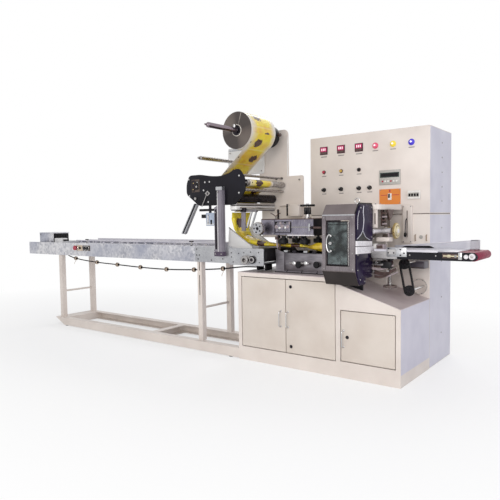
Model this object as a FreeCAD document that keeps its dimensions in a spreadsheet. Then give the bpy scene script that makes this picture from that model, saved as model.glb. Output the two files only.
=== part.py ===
import FreeCAD, Part
import math
import os
import re
import Sketcher

# Horizontal pouch packing machine. X runs along the machine in the direction the packs travel,
# Y runs from the operator's side to the back, Z is up, and all lengths are millimetres.
# The origin lies on the floor, in the middle of the front cabinet's length.

SIZES = {
    "Whole machine": [
        ("machine_length", 4489, "overall length, from the infeed's left end to the discharge belt's nose"),
        ("machine_height", 1786, "overall height, to the top of a full reel"),
        ("machine_depth", 1231, "overall depth, from the unwind shaft's tip to the back of the tall cabinet"),
    ],
    "Base frame": [
        ("base_front", -250, "front face of the rails and of the cabinet, Y"),
        ("body_line", 251, "back of the front cabinet and face of the tall cabinet, Y"),
        ("rail_height", 76, "height of the channel rails and of the plinth"),
        ("rail_flange", 60, "flange width of the channel rails"),
        ("rail_wall", 6, "wall of the channel rails"),
        ("rail_left", "infeed_left + 0.141 * machine_length", "left end of the rails, X"),
        ("frame_rear", 190, "rear face of the rear rail, Y"),
        (
            "middle_member_place", "rail_left + 0.562 * (cabinet_left - rail_left)",
            "centre of the middle cross member, X"
        ),
        ("foot_radius", 22, "radius of a levelling foot"),
        ("foot_height", 6, "height of a levelling foot's pad"),
        ("nose_reach", 140, "how far the end plate reaches past the rails"),
        ("plate_wall", 6, "plates of the frame's left end"),
    ],
    "Front cabinet": [
        ("cabinet_left", -605, "left side, X"),
        ("cabinet_right", 605, "right side, X"),
        ("deck_height", 633, "top of the level deck, Z"),
        ("step_place", 186, "where the deck steps down, X"),
        ("slope_top", 597, "upper end of the sloping deck, Z"),
        ("slope_end", 468, "lower end of the sloping deck, Z"),
        ("sheet_wall", 4, "wall of the folded sheet"),
        ("face_depth", 20, "depth of the door frame and of the doors"),
        ("door_gap", 5, "gap round a door"),
        ("pair_left", -575, "left edge of the double door opening, X"),
        ("pair_right", 180, "right edge of the double door opening, X"),
        ("pair_bottom", 98, "lower edge of the double door opening, Z"),
        ("pair_top", 604, "upper edge of the double door opening, Z"),
        ("single_left", 212, "left edge of the single door opening, X"),
        ("single_right", 575, "right edge of the single door opening, X"),
        ("single_bottom", 104, "lower edge of the single door opening, Z"),
        ("single_top", 432, "upper edge of the single door opening, Z"),
        ("hinge_radius", 4, "radius of a hinge pin"),
        ("hinge_play", 0.3, "clearance round a hinge pin"),
        ("partition_place", 196, "middle of the partition between the two cupboards, X"),
    ],
    "Door fittings": [
        ("pull_length", 112, "length of a pull handle"),
        ("pull_radius", 4, "radius of a pull handle's bar"),
        ("pull_reach", 30, "distance from the door to the outside of a pull handle"),
        ("pair_pull_height", 329, "middle of the double doors' handles, Z"),
        ("left_pull_place", -235, "left handle of the pair, X"),
        ("right_pull_place", -178, "right handle of the pair, X"),
        ("single_pull_place", 235, "single door's handle, X"),
        ("single_pull_height", 251, "middle of the single door's handle, Z"),
        ("lock_radius", 11, "radius of a key lock's rim"),
        ("lock_reach", 6, "how far a key lock stands out"),
        ("pair_lock_place", -155, "locks of the right door, X"),
        ("pair_lock_high", 553, "upper lock, Z"),
        ("pair_lock_low", 148, "lower lock, Z"),
        ("single_lock_place", 261, "lock of the single door, X"),
        ("single_lock_height", 263, "lock of the single door, Z"),
    ],
    "Tall cabinet": [
        ("tall_left", -289, "left side, X"),
        ("tall_back", "shaft_tip + machine_depth", "back, Y"),
        ("tall_height", "0.896 * machine_height", "top, Z"),
        ("tall_split", "0.643 * tall_height", "joint between the lower and the upper case, Z"),
        ("split_gap", 4, "shadow gap between the two cases"),
        ("housing_front", 300, "face of the drive housing, Y"),
        ("housing_top", 1110, "top of the drive housing, Z"),
    ],
    "Controls": [
        ("controller_width", 62, "width of a temperature controller"),
        ("controller_height", 58, "height of a temperature controller"),
        ("controller_reach", 9, "how far a controller stands out"),
        ("control_row_one", "0.938 * tall_height", "controllers and lamps, Z"),
        ("control_row_two", "0.8405 * tall_height", "push buttons, Z"),
        ("control_row_three", "0.7595 * tall_height", "selector knobs, Z"),
        ("first_column", -174, "first column of controls, X"),
        ("column_pitch", 140, "distance between the columns"),
        ("lamp_radius", 15, "radius of a signal lamp"),
        ("lamp_place", 229, "first signal lamp, X"),
        ("lamp_pitch", 127, "distance between the signal lamps"),
        ("lamp_reach", 16, "how far a signal lamp stands out"),
        ("button_radius", 11, "radius of a push button"),
        ("button_reach", 14, "how far a push button stands out"),
        ("knob_radius", 13, "radius of a selector knob"),
        ("knob_reach", 26, "how far a selector knob stands out"),
        ("fourth_knob_place", 187, "fourth selector knob, X"),
        ("display_left", 258, "left edge of the display, X"),
        ("display_right", 409, "right edge of the display, X"),
        ("display_bottom", "0.7675 * tall_height", "lower edge of the display, Z"),
        ("display_top", "display_bottom + display_height", "upper edge of the display, Z"),
        ("display_reach", 8, "how far the display stands out"),
        ("display_height", 100, "height of the display"),
        ("plate_bottom", "0.6845 * tall_height", "lower edge of the switch plate, Z"),
        ("plate_top", "plate_bottom + plate_height", "upper edge of the switch plate, Z"),
        ("plate_thickness", 3, "thickness of the switch plate"),
        ("plate_height", 104, "height of the switch plate"),
        ("breaker_left", 460, "left edge of the breaker, X"),
        ("breaker_right", 544, "right edge of the breaker, X"),
        ("breaker_bottom", "0.7045 * tall_height", "lower edge of the breaker, Z"),
        ("breaker_top", "breaker_bottom + breaker_height", "upper edge of the breaker, Z"),
        ("breaker_reach", 20, "how far the breaker stands out"),
        ("breaker_height", 55, "height of the breaker"),
    ],
    "Infeed conveyor": [
        ("infeed_left", "nose_place + belt_radius - machine_length", "left end of the side panels, X"),
        ("infeed_right", -690, "right end of the side panels, X"),
        ("infeed_front", -220, "front face of the near side panel, Y"),
        ("infeed_rear", 180, "rear face of the far side panel, Y"),
        ("infeed_bottom", 687, "lower edge of the side panels, Z"),
        ("infeed_top", 808, "upper edge of the side panels, Z"),
        ("infeed_wall", 5, "thickness of the side panels"),
        ("bed_height", 790, "top of the bed between the side panels, Z"),
        ("bed_thickness", 5, "thickness of the bed"),
        ("leg_size", 44, "outside of a square leg tube"),
        ("leg_wall", 4, "wall of a leg tube"),
        ("left_leg_place", "rail_left - 2 * leg_size", "middle of the left legs, X"),
        ("right_leg_place", -1012, "middle of the right legs, X"),
        ("rung_height", 327, "middle of the rungs, Z"),
        ("rung_radius", 9, "radius of a rung"),
        ("guide_height", 30, "height of the far guide strip above the panels"),
        ("guide_left", "rail_left", "left end of the far guide strip, X"),
        ("guide_right", -1180, "right end of the far guide strip, X"),
        ("infeed_box_left", "infeed_left + 0.008 * machine_length", "left end of the feed motor's box, X"),
        ("infeed_box_right", "infeed_box_left + box_length", "joint between box and black fan cap, X"),
        ("infeed_cap_right", "infeed_box_right + cap_length", "right end of the fan cap, X"),
        ("box_length", 278, "length of the feed motor's box"),
        ("cap_length", 228, "length of the fan cap"),
        ("infeed_box_front", -120, "front of the feed motor's box, Y"),
        ("infeed_box_rear", 60, "rear of the feed motor's box, Y"),
        ("infeed_box_top", 903, "top of the feed motor's box, Z"),
        ("stop_place", "infeed_left + 0.184 * machine_length", "emergency stop, X"),
        ("stop_height", 760, "infeed switches, Z"),
        ("stop_radius", 17, "radius of the emergency stop's mushroom head"),
        ("twin_place", "stop_place + switch_pitch", "twin push button, X"),
        ("switch_pitch", 157, "distance between the infeed switches"),
        ("head_left", -702, "left end of the drive head, X"),
        ("head_right", -388, "right end of the drive head, X"),
        ("head_front", -232, "front face of the drive head, Y"),
        ("head_bottom", 679, "lower edge of the drive head, Z"),
        ("head_top", 802, "upper edge of the drive head, Z"),
        ("boss_place", -533, "drive shaft's boss, X"),
        ("boss_height", 720, "drive shaft's boss, Z"),
        ("boss_radius", 24, "radius of the drive shaft's boss"),
        ("chain_radius", 52, "radius of the belt's turn at the drive head"),
        ("lug_place", -535, "first of the two lugs under the drive head, X"),
        ("lug_width", 18, "width of a lug"),
        ("cable_depth", -80, "where the hanging cable starts and ends, Y"),
        ("cable_start", "infeed_left + 0.091 * machine_length", "where the hanging cable leaves the bed, X"),
        ("cable_end_height", 655, "where the hanging cable enters the lug, Z"),
        ("cable_radius", 5, "radius of the hanging cable"),
        ("cable_drop", 45, "length of the cable below its gland before it bends"),
        ("cable_sag", 63, "how far the cable hangs below the lug it enters"),
        ("gland_radius", 9, "radius of the cable's gland"),
        ("gland_length", 12, "length of the cable's gland"),
    ],
    "Film unwind": [
        ("plate_front", 288, "front face of the rear frame plate, Y"),
        ("frame_plate_left", -772, "left edge of the rear frame plate, X"),
        ("frame_plate_right", -378, "right edge of the rear frame plate, X"),
        ("frame_plate_top", 1340, "top of the rear frame plate, Z"),
        ("frame_plate_notch", 860, "lower edge of the plate where it overhangs, Z"),
        ("upright_left", -800, "left edge of the unwind plate, X"),
        ("upright_right", -520, "right edge of the unwind plate, X"),
        ("upright_top", "reel_height + upright_rise", "top of the unwind plate, Z"),
        ("upright_round", 46, "corner radius of the unwind plate"),
        ("upright_rise", 55, "how far the unwind plate reaches above the reel axis"),
        ("bracket_left", -1119, "left end of the shaft bracket, X"),
        ("bracket_right", -746, "right end of the shaft bracket, X"),
        ("bracket_bottom", "bracket_top - bracket_height", "lower edge of the shaft bracket, Z"),
        ("bracket_top", "reel_height - upright_round", "upper edge of the shaft bracket, Z"),
        ("bracket_height", 230, "height of the shaft bracket"),
        ("reel_place", -647, "reel axis, X"),
        ("reel_height", "machine_height - reel_radius", "reel axis, Z"),
        ("reel_radius", 134, "outside of the wound film"),
        ("reel_front", -180, "front face of the wound film, Y"),
        ("reel_rear", 120, "rear face of the wound film, Y"),
        ("core_radius", 42, "outside of the reel's core"),
        ("core_wall", 4, "wall of the reel's core"),
        ("shaft_radius", 18, "radius of the unwind shaft"),
        ("shaft_tip", -524, "front end of the unwind shaft, Y"),
        ("hub_radius", 82, "radius of the brake hub"),
        ("hub_rear", 255, "rear face of the brake hub, Y"),
        ("bearing_radius", 45, "radius of the unwind shaft's bearing"),
        ("bearing_front", 262, "front face of the bearing, Y"),
        ("running_play", 0.1, "clearance of a shaft in its bearing"),
        ("spare_place", -900, "spare shaft, X"),
        ("spare_height", "reel_height - spare_drop", "spare shaft, Z"),
        ("spare_radius", 15, "radius of the spare shaft"),
        ("spare_drop", 187, "how far the spare shaft lies below the reel axis"),
        ("spare_tip", -325, "front end of the spare shaft, Y"),
        ("film_margin", 10, "how much narrower the web is than the reel, each side"),
        ("film_thickness", 1.2, "modelled thickness of the film"),
        ("film_gap", 5, "gap between the reel and the web that leaves it"),
        ("dancer_place", -890, "roller that the web runs round, X"),
        ("dancer_height", 1239, "roller that the web runs round, Z"),
    ],
    "Roller unit": [
        ("side_plate_front", -220, "front face of the black side plate, Y"),
        ("side_plate_thickness", 10, "thickness of the black side plate"),
        ("roller_radius", 23, "radius of a guide roller"),
        ("lead_place", -559, "film-wrapped roller, X"),
        ("lead_height", 1272, "film-wrapped roller, Z"),
        ("idler_height", 1221, "slim roller below it, Z"),
        ("idler_radius", 10, "radius of the slim roller"),
        ("tie_height", 1326, "tie rods above the rollers, Z"),
        ("tie_radius", 6, "radius of a tie rod"),
        ("tie_pitch", 50, "distance between the tie rods"),
        ("drum_place", -655, "dark drum, X"),
        ("drum_height", 1166, "dark drum, Z"),
        ("drum_radius", 32, "radius of the dark drum"),
        ("beam_left", -700, "left edge of the crossbeam, X"),
        ("beam_right", -640, "right edge of the crossbeam, X"),
        ("beam_bottom", 1072, "lower face of the crossbeam, Z"),
        ("beam_top", 1128, "upper face of the crossbeam, Z"),
        ("post_left", -815, "left side of the post, X"),
        ("post_right", -737, "right side of the post, X"),
        ("post_step", 1113, "where the post narrows, Z"),
        ("post_top", 1250, "top of the post, Z"),
        ("post_foot_bottom", 739, "lower edge of the post's foot, Z"),
        ("post_depth", 40, "depth of the post"),
        ("sensor_left", -930, "left side of the print sensor, X"),
        ("sensor_right", -846, "right side of the print sensor, X"),
        ("sensor_bottom", 964, "lower face of the print sensor, Z"),
        ("sensor_top", 1062, "upper face of the print sensor, Z"),
        ("sensor_depth", 80, "depth of the print sensor"),
        ("side_plate_low", 1115, "lower edge of the side plate, Z"),
        ("side_plate_left", -1126, "left end of the side plate, X"),
        ("side_plate_right", -551, "right end of the side plate, X"),
        ("side_plate_waist", 1328, "side plate's upper edge at its waist, Z"),
        ("side_plate_high", 1370, "highest point of the side plate, Z"),
        ("side_plate_corner", 92, "measure of the side plate's slanted corners"),
        ("side_plate_round", 24, "corner radius of the side plate"),
        ("arm_place", -1062, "inclined arm at the side plate's lower edge, X"),
        ("arm_run", 142, "how far the inclined arm reaches to the left"),
        ("arm_drop", 212, "how far the inclined arm reaches down"),
        ("arm_width", 34, "width of the inclined arm"),
    ],
    "Forming and fin seal": [
        ("former_left", -775, "left end of the forming box, X"),
        ("former_right", -548, "right end of the forming box, X"),
        ("former_top", 952, "top of the forming box, Z"),
        ("former_front", -150, "front of the forming box, Y"),
        ("former_rear", 110, "rear of the forming box, Y"),
        ("former_wall", 3, "sheet of the forming box"),
        ("line_middle", -20, "middle of the film line, Y"),
        ("line_height", 817, "middle of the film line, Z"),
        ("tube_width", 110, "width of the film tube"),
        ("tube_height", 30, "height of the film tube"),
        ("bench_left", -325, "left end of the fin seal bench, X"),
        ("bench_right", 120, "right end of the fin seal bench, X"),
        ("bench_front", -140, "front of the fin seal bench, Y"),
        ("bench_rear", 110, "rear of the fin seal bench, Y"),
        ("bench_top", 775, "top of the fin seal bench, Z"),
        ("head_box_left", -465, "left end of the sealing head, X"),
        ("head_box_right", -33, "right end of the sealing head, X"),
        ("head_box_front", -150, "front of the sealing head, Y"),
        ("head_box_rear", 90, "rear of the sealing head, Y"),
        ("head_box_bottom", 890, "lower face of the sealing head, Z"),
        ("head_box_top", 1009, "upper face of the sealing head, Z"),
        ("arm_left", -455, "left side of the sealing head's arm, X"),
        ("arm_right", -390, "right side of the sealing head's arm, X"),
        ("wheel_place", -439, "knurled wheel, X"),
        ("wheel_height", 942, "knurled wheel, Z"),
        ("wheel_radius", 46, "radius of the knurled wheel"),
        ("wheel_front", -232, "front face of the knurled wheel, Y"),
        ("wheel_width", 34, "width of the knurled wheel"),
        ("pull_wheel_radius", 34, "radius of a pulling wheel"),
        ("pull_wheel_first", -303, "first pair of pulling wheels, X"),
        ("pull_wheel_second", -122, "second pair of pulling wheels, X"),
        ("top_wheel_place", -138, "upper handwheel, X"),
        ("top_wheel_depth", -50, "upper handwheel, Y"),
        ("top_wheel_height", 1097, "middle of the upper handwheel's rim, Z"),
        ("top_wheel_radius", 52, "radius of the upper handwheel"),
        ("wheel_half", 7, "half the height of a handwheel's rim"),
        ("stem_radius", 8, "radius of a handwheel's stem"),
        ("stem_bore", 8.3, "radius of a handwheel's bore"),
        ("gauge_left", -493, "left side of the small control box, X"),
        ("gauge_right", -380, "right side of the small control box, X"),
        ("gauge_bottom", 1025, "lower face of the small control box, Z"),
        ("gauge_top", 1118, "upper face of the small control box, Z"),
        ("gauge_depth", 58, "depth of the small control box"),
    ],
    "End sealer": [
        ("guard_left", 167, "left side of the guard, X"),
        ("guard_right", 385, "right side of the guard, X"),
        ("guard_front", -390, "front face of the guard, Y"),
        ("guard_rear", -155, "rear edge of the guard, Y"),
        ("guard_low", 605, "bottom of the guard, Z"),
        ("guard_face_low", 688, "lower edge of the guard's upright face, Z"),
        ("guard_face_high", 1025, "upper edge of the guard's upright face, Z"),
        ("guard_high", 1090, "top of the guard, Z"),
        ("guard_deck_level", 640, "bottom of the guard over the deck, Z"),
        ("guard_low_setback", 45, "setback of the guard's lower slope"),
        ("guard_high_setback", 50, "setback of the guard's upper slope"),
        ("guard_wall", 3, "wall of the guard"),
        ("window_left", 195, "left edge of the guard's window, X"),
        ("window_right", 349, "right edge of the guard's window, X"),
        ("window_bottom", 721, "lower edge of the guard's window, Z"),
        ("window_top", 994, "upper edge of the guard's window, Z"),
        ("window_thickness", 8, "thickness of the window door"),
        ("window_pin_radius", 2, "radius of the window's hinge pin"),
        ("slab_top", 1088, "top of the end sealer's cover slab, Z"),
        ("slab_thickness", 32, "thickness of the cover slab"),
        ("slab_right", 430, "right edge of the cover slab, X"),
        ("jaw_place", 276, "axes of the sealing jaws, X"),
        ("jaw_offset", 85.5, "distance of a jaw's axis from the film line"),
        ("jaw_radius", 42, "radius of a jaw's carrier"),
        ("blade_reach", 79, "distance from a jaw's axis to the edge of its sealing bar"),
        ("blade_half", 16, "half the width of a sealing bar"),
        ("jaw_front", -300, "front end of a jaw's body, Y"),
        ("jaw_rear", 60, "rear end of a jaw's body, Y"),
        ("jaw_shaft_radius", 16, "radius of a jaw's shaft"),
        ("gear_radius", 85, "pitch radius of a jaw gear"),
        ("gear_front", 205, "front face of the jaw gear, Y"),
        ("gear_width", 20, "width of the jaw gear"),
        ("pinion_place", 388, "drive shaft behind the guard, X"),
        ("pinion_height", 922, "drive shaft behind the guard, Z"),
        ("pinion_radius", 28.5, "pitch radius of the drive pinion"),
        ("pinion_front", -150, "front end of the drive shaft, Y"),
        ("hanger_reach", 32, "how far the bearing hanger reaches below the drive shaft"),
        ("bearing_plate_left", 190, "left edge of the jaws' bearing plate, X"),
        ("bearing_plate_right", 362, "right edge of the jaws' bearing plate, X"),
        ("bearing_plate_front", 120, "front face of the jaws' bearing plate, Y"),
        ("bearing_plate_depth", 20, "depth of the jaws' bearing plate"),
        ("guard_base_left", 235, "left end of the guard's base, X"),
        ("guard_base_right", 380, "right end of the guard's base, X"),
        ("motor_left", 493, "left side of the belt's drive box, X"),
        ("motor_bottom", 672, "lower face of the belt's drive box, Z"),
        ("motor_top", 719, "upper face of the belt's drive box, Z"),
        ("motor_depth", 90, "depth of the belt's drive box"),
        ("cover_place", 542, "round cover on the tall cabinet's face, X"),
        ("cover_height", 545, "round cover on the tall cabinet's face, Z"),
        ("cover_radius", 52, "radius of the round cover"),
        ("cover_depth", 10, "how far the round cover stands out"),
        ("lever_plate_left", 426, "left edge of the lever plate, X"),
        ("lever_plate_right", 493, "right edge of the lever plate, X"),
        ("lever_plate_bottom", 832, "lower edge of the lever plate, Z"),
        ("lever_plate_top", 1087, "upper edge of the lever plate, Z"),
        ("lever_plate_depth", 12, "depth of the lever plate"),
    ],
    "Discharge": [
        ("discharge_left", 400, "left end of the discharge side plates, X"),
        ("discharge_right", 1035, "right end of the discharge side plates, X"),
        ("discharge_front", -200, "front face of the near side plate, Y"),
        ("discharge_rear", 100, "rear face of the far side plate, Y"),
        ("discharge_bottom", 755, "lower edge of the side plates, Z"),
        ("discharge_top", 808, "upper edge of the side plates, Z"),
        ("discharge_wall", 6, "thickness of the side plates"),
        ("block_left", 501, "left end of the tail block, X"),
        ("block_right", 624, "right end of the tail block, X"),
        ("block_bottom", 774, "lower edge of the tail block, Z"),
        ("block_top", 830, "upper edge of the tail block, Z"),
        ("block_reach", 10, "how far the tail block stands out"),
        ("belt_radius", 24, "outside radius of the belt on its rollers"),
        ("belt_wall", 3, "thickness of the belt"),
        ("nose_place", 1046, "nose roller, X"),
        ("tail_place", 440, "tail roller, X"),
        ("belt_height", 784, "rollers of the discharge belt, Z"),
        ("drive_depth", -20, "middle of the drive belt, Y"),
        ("spreader_radius", 10, "radius of the rods between the side plates"),
        ("drive_top_place", 539, "upper pulley, X"),
        ("drive_top_height", 716, "upper pulley, Z"),
        ("drive_wall", 8, "thickness of the drive belt"),
        ("drive_low_place", 570, "lower pulley, X"),
        ("drive_low_height", 551, "lower pulley, Z"),
        ("drive_radius", 32, "outside radius of the drive belt on its pulleys"),
        ("drive_width", 14, "width of the drive belt"),
        ("low_wheel_place", 462, "lower handwheel, X"),
        ("low_wheel_depth", -60, "lower handwheel, Y"),
        ("low_wheel_height", 576, "middle of the lower handwheel's rim, Z"),
        ("low_wheel_radius", 42, "radius of the lower handwheel"),
    ],
}

doc = FreeCAD.newDocument("pouch_packing_machine")
sheet = doc.addObject("Spreadsheet::Sheet", "Sizes")
aliases = set()
row = 1
formulas = {}
for section, entries in SIZES.items():
    sheet.set("A%d" % row, section)
    row += 1
    for alias, size, meaning in entries:
        sheet.set("A%d" % row, meaning)
        sheet.set("B%d" % row, "0" if isinstance(size, str) else str(size))
        sheet.setAlias("B%d" % row, alias)
        if isinstance(size, str):
            formulas["B%d" % row] = "=" + size
        aliases.add(alias)
        row += 1
for cell, formula in formulas.items():
    sheet.set(cell, formula)
doc.recompute()

nodes = []


def cells(text):
    """The expression with each size's name turned into a reference to its cell."""
    return re.sub(r"[a-z_]+", lambda m: "Sizes." + m.group() if m.group() in aliases else m.group(), text)


def bind(item, name, text):
    item.setExpression(name, cells(text))


def value(text):
    """The number that an expression over the sheet gives now."""
    return float(sheet.evalExpression(cells(text)))


def place(item, x="0", y="0", z="0"):
    for axis, text in (("x", x), ("y", y), ("z", z)):
        bind(item, "Placement.Base." + axis, text)
    return item


def node(item, label):
    """Marks an object as one kept sub-part."""
    item.Label = label
    nodes.append(item)
    return item


def block(name, x, y, z):
    """A box between two expressions on each axis."""
    item = doc.addObject("Part::Box", name)
    for side, span in (("Length", x), ("Width", y), ("Height", z)):
        bind(item, side, "(%s) - (%s)" % (span[1], span[0]))
    return place(item, x[0], y[0], z[0])


TURN = {
    "X": FreeCAD.Rotation(FreeCAD.Vector(0, 1, 0), 90),
    "Y": FreeCAD.Rotation(FreeCAD.Vector(1, 0, 0), -90),
    "Z": FreeCAD.Rotation(),
}


def rod(name, axis, across, along, radius):
    """A cylinder along one axis. across holds the other two coordinates in X, Y, Z order."""
    item = doc.addObject("Part::Cylinder", name)
    item.Placement.Rotation = TURN[axis]
    bind(item, "Radius", radius)
    bind(item, "Height", "(%s) - (%s)" % (along[1], along[0]))
    at = list(across)
    at.insert("XYZ".index(axis), along[0])
    return place(item, *at)


def cut(name, base, *tools):
    item = doc.addObject("Part::Cut", name)
    item.Base = base
    item.Tool = tools[0] if len(tools) == 1 else fuse(name + "_tools", *tools)
    return item


def fuse(name, *parts):
    item = doc.addObject("Part::MultiFuse", name)
    item.Shapes = list(parts)
    item.Refine = True
    return item


def group(name, *parts):
    """Solids that do not touch and share one sub-part."""
    item = doc.addObject("Part::Compound", name)
    item.Links = list(parts)
    return item


def new_body(name, role):
    """An empty body with a sketch on one of its own origin planes."""
    body = doc.addObject("PartDesign::Body", name)
    plane = [feature for feature in body.Origin.OriginFeatures if feature.Role == role][0]
    sketch = body.newObject("Sketcher::SketchObject", name + "_outline")
    sketch.AttachmentSupport = [(plane, "")]
    sketch.MapMode = "FlatFace"
    return body, sketch


def closed_outline(sketch, points):
    """Straight lines round a list of corners, each corner bound to the sheet."""
    first = sketch.GeometryCount
    spots = [FreeCAD.Vector(value(u), value(v), 0) for u, v in points]
    count = len(spots)
    for i in range(count):
        sketch.addGeometry(Part.LineSegment(spots[i], spots[(i + 1) % count]), False)
    for i in range(count):
        follower = first + (i + 1) % count
        sketch.addConstraint(Sketcher.Constraint("Coincident", first + i, 2, follower, 1))
    for i in range(count):
        for kind, text, number in (
            ("DistanceX", points[i][0], spots[i].x), ("DistanceY", points[i][1], spots[i].y)
        ):
            index = sketch.addConstraint(Sketcher.Constraint(kind, -1, 1, first + i, 1, number))
            sketch.setExpression("Constraints[%d]" % index, cells(text))


def prism(name, axis, points, along):
    """An outline padded along an axis. Its corners are (X, Z) for Y, (Y, Z) for X and (X, Y) for Z."""
    body, sketch = new_body(name, {"X": "YZ_Plane", "Y": "XZ_Plane", "Z": "XY_Plane"}[axis])
    closed_outline(sketch, points)
    pad = body.newObject("PartDesign::Pad", name + "_pad")
    pad.Profile = sketch
    bind(pad, "Length", "(%s) - (%s)" % (along[1], along[0]))
    body.Tip = pad
    spot = along[1] if axis == "Y" else along[0]
    return place(body, **{axis.lower(): spot})


def rounded_corners(body, axis, radius):
    """Rounds the edges of a padded outline that run along its axis."""
    doc.recompute()
    along = FreeCAD.Vector(*[float(axis == letter) for letter in "XYZ"])
    base = body.Tip
    names = []
    for i, edge in enumerate(base.Shape.Edges):
        if abs((edge.Vertexes[-1].Point - edge.Vertexes[0].Point).normalize().dot(along)) > 0.99:
            names.append("Edge%d" % (i + 1))
    fillet = body.newObject("PartDesign::Fillet", body.Name + "_corners")
    fillet.Base = (base, names)
    bind(fillet, "Radius", radius)
    body.Tip = fillet
    return body


# Base frame: two channel rails from the left legs to the cabinet, open towards each other.
def channel_rail(name, outer, inner, side):
    """side is +1 where the web is at the low Y and -1 where it is at the high Y."""
    whole = block(
        name + "_whole", ("rail_left", "cabinet_left"), (outer, inner), ("foot_height", "rail_height")
    )
    web = ("(%s) + rail_wall" % outer, inner) if side > 0 else (outer, "(%s) - rail_wall" % inner)
    room = ("foot_height + rail_wall", "rail_height - rail_wall")
    hollow = block(name + "_hollow", ("rail_left", "cabinet_left"), web, room)
    return cut(name, whole, hollow)


front_rail = channel_rail("front_rail", "base_front", "base_front + rail_flange", 1)
rear_rail = channel_rail("rear_rail", "frame_rear - rail_flange", "frame_rear", -1)


# Middle cross member: a channel between the rails, its mouth to the right.
between = ("base_front + rail_flange", "frame_rear - rail_flange")
member = ("middle_member_place - rail_flange / 2", "middle_member_place + rail_flange / 2")
middle_member = cut(
    "middle_member",
    block("member_whole", member, between, ("foot_height", "rail_height")),
    block(
        "member_hollow", (member[0] + " + rail_wall", member[1]), between,
        ("foot_height + rail_wall", "rail_height - rail_wall"),
    ),
)

# Left end: a top plate that carries the legs, an end web and a gusset at each side.
full_depth = ("base_front", "frame_rear")
end_parts = [
    block(
        "end_plate", ("rail_left - nose_reach", "rail_left"), full_depth,
        ("rail_height - plate_wall", "rail_height"),
    ),
    block("end_web", ("rail_left - plate_wall", "rail_left"), full_depth, ("foot_height", "rail_height")),
]
gusset_outline = [
    ("rail_left - nose_reach", "rail_height - plate_wall"),
    ("rail_left - plate_wall", "foot_height"),
    ("rail_left - plate_wall", "rail_height - plate_wall"),
]
for name, span in (
    ("near", ("base_front", "base_front + plate_wall")),
    ("far", ("frame_rear - plate_wall", "frame_rear")),
):
    end_parts.append(prism("gusset_" + name, "Y", gusset_outline, span))
node(fuse("welded_frame", front_rail, rear_rail, middle_member, *end_parts), "base_frame")

feet = []
for name, depth in (("front", "base_front + foot_radius"), ("rear", "frame_rear - foot_radius")):
    for end, x in (("left", "rail_left + foot_radius"), ("right", "cabinet_left - 4 * foot_radius")):
        foot = doc.addObject("Part::Prism", "foot_%s_%s" % (name, end))
        foot.Polygon = 6
        bind(foot, "Circumradius", "foot_radius")
        bind(foot, "Height", "foot_height")
        feet.append(place(foot, x, depth, "0"))
node(group("feet", *feet), "levelling_feet")

# Front cabinet: a plinth, a folded deck, sides, a back and a front frame round two door openings.
def deck_level(x):
    """Height of the sloping deck at a place along X."""
    return "(slope_top - ((%s) - step_place) * (slope_top - slope_end) / (cabinet_right - step_place))" % x


node(
    block(
        "plinth_block", ("cabinet_left", "cabinet_right"), ("base_front", "body_line"), ("0", "rail_height")
    ),
    "plinth",
)

frame_outline = [
    ("cabinet_left", "rail_height"),
    ("cabinet_right", "rail_height"),
    ("cabinet_right", "slope_end - sheet_wall"),
    ("step_place", "slope_top - sheet_wall"),
    ("step_place", "deck_height - sheet_wall"),
    ("cabinet_left", "deck_height - sheet_wall"),
]
face = prism("face_sheet", "Y", frame_outline, ("base_front", "base_front + face_depth"))
pair_hole = block(
    "pair_hole", ("pair_left", "pair_right"), ("base_front - face_depth", "base_front + 2 * face_depth"),
    ("pair_bottom", "pair_top"),
)
single_hole = block(
    "single_hole", ("single_left", "single_right"),
    ("base_front - face_depth", "base_front + 2 * face_depth"),
    ("single_bottom", "single_top"),
)
node(cut("front_frame", face, pair_hole, single_hole), "cabinet_front")

deck_outline = [
    ("cabinet_left", "deck_height - sheet_wall"),
    ("step_place", "deck_height - sheet_wall"),
    ("step_place", "slope_top - sheet_wall"),
    ("cabinet_right", "slope_end - sheet_wall"),
    ("cabinet_right", "slope_end"),
    ("step_place + sheet_wall", deck_level("step_place + sheet_wall")),
    ("step_place + sheet_wall", "deck_height"),
    ("cabinet_left", "deck_height"),
]
node(prism("deck", "Y", deck_outline, ("base_front", "body_line")), "cabinet_deck")

inside = ("base_front + face_depth", "body_line - sheet_wall")
left_side = block(
    "left_side", ("cabinet_left", "cabinet_left + sheet_wall"), inside,
    ("rail_height", "deck_height - sheet_wall")
)
right_side = block(
    "right_side", ("cabinet_right - sheet_wall", "cabinet_right"), inside,
    ("rail_height", "slope_end - sheet_wall"),
)
partition_right = "partition_place + sheet_wall / 2"
partition = block(
    "partition", ("partition_place - sheet_wall / 2", partition_right), inside,
    ("rail_height", deck_level(partition_right) + " - sheet_wall"),
)
node(group("sides", left_side, right_side, partition), "cabinet_sides")
node(prism("back", "Y", frame_outline, ("body_line - sheet_wall", "body_line")), "cabinet_back")


# Doors: pans with a round hinge edge that turns on a pin in the opening.
def door(name, hinge_x, free_x, bottom, top):
    """hinge_x is the pin's place and free_x the door's free edge, as expressions."""
    half = "face_depth / 2"
    low, high = "(%s) + door_gap" % bottom, "(%s) - door_gap" % top
    to_right = value(free_x) > value(hinge_x)
    span = (hinge_x, free_x) if to_right else (free_x, hinge_x)
    leaf = block(name + "_leaf", span, ("base_front", "base_front + face_depth"), (low, high))
    edge = rod(name + "_edge", "Z", (hinge_x, "base_front + " + half), (low, high), half)
    bore = rod(
        name + "_bore", "Z", (hinge_x, "base_front + " + half), ("(%s)" % bottom, "(%s)" % top),
        "hinge_radius + hinge_play",
    )
    pin = rod(name + "_pin", "Z", (hinge_x, "base_front + " + half), (bottom, top), "hinge_radius")
    return cut(name, fuse(name + "_pan", leaf, edge), bore), pin


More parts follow.
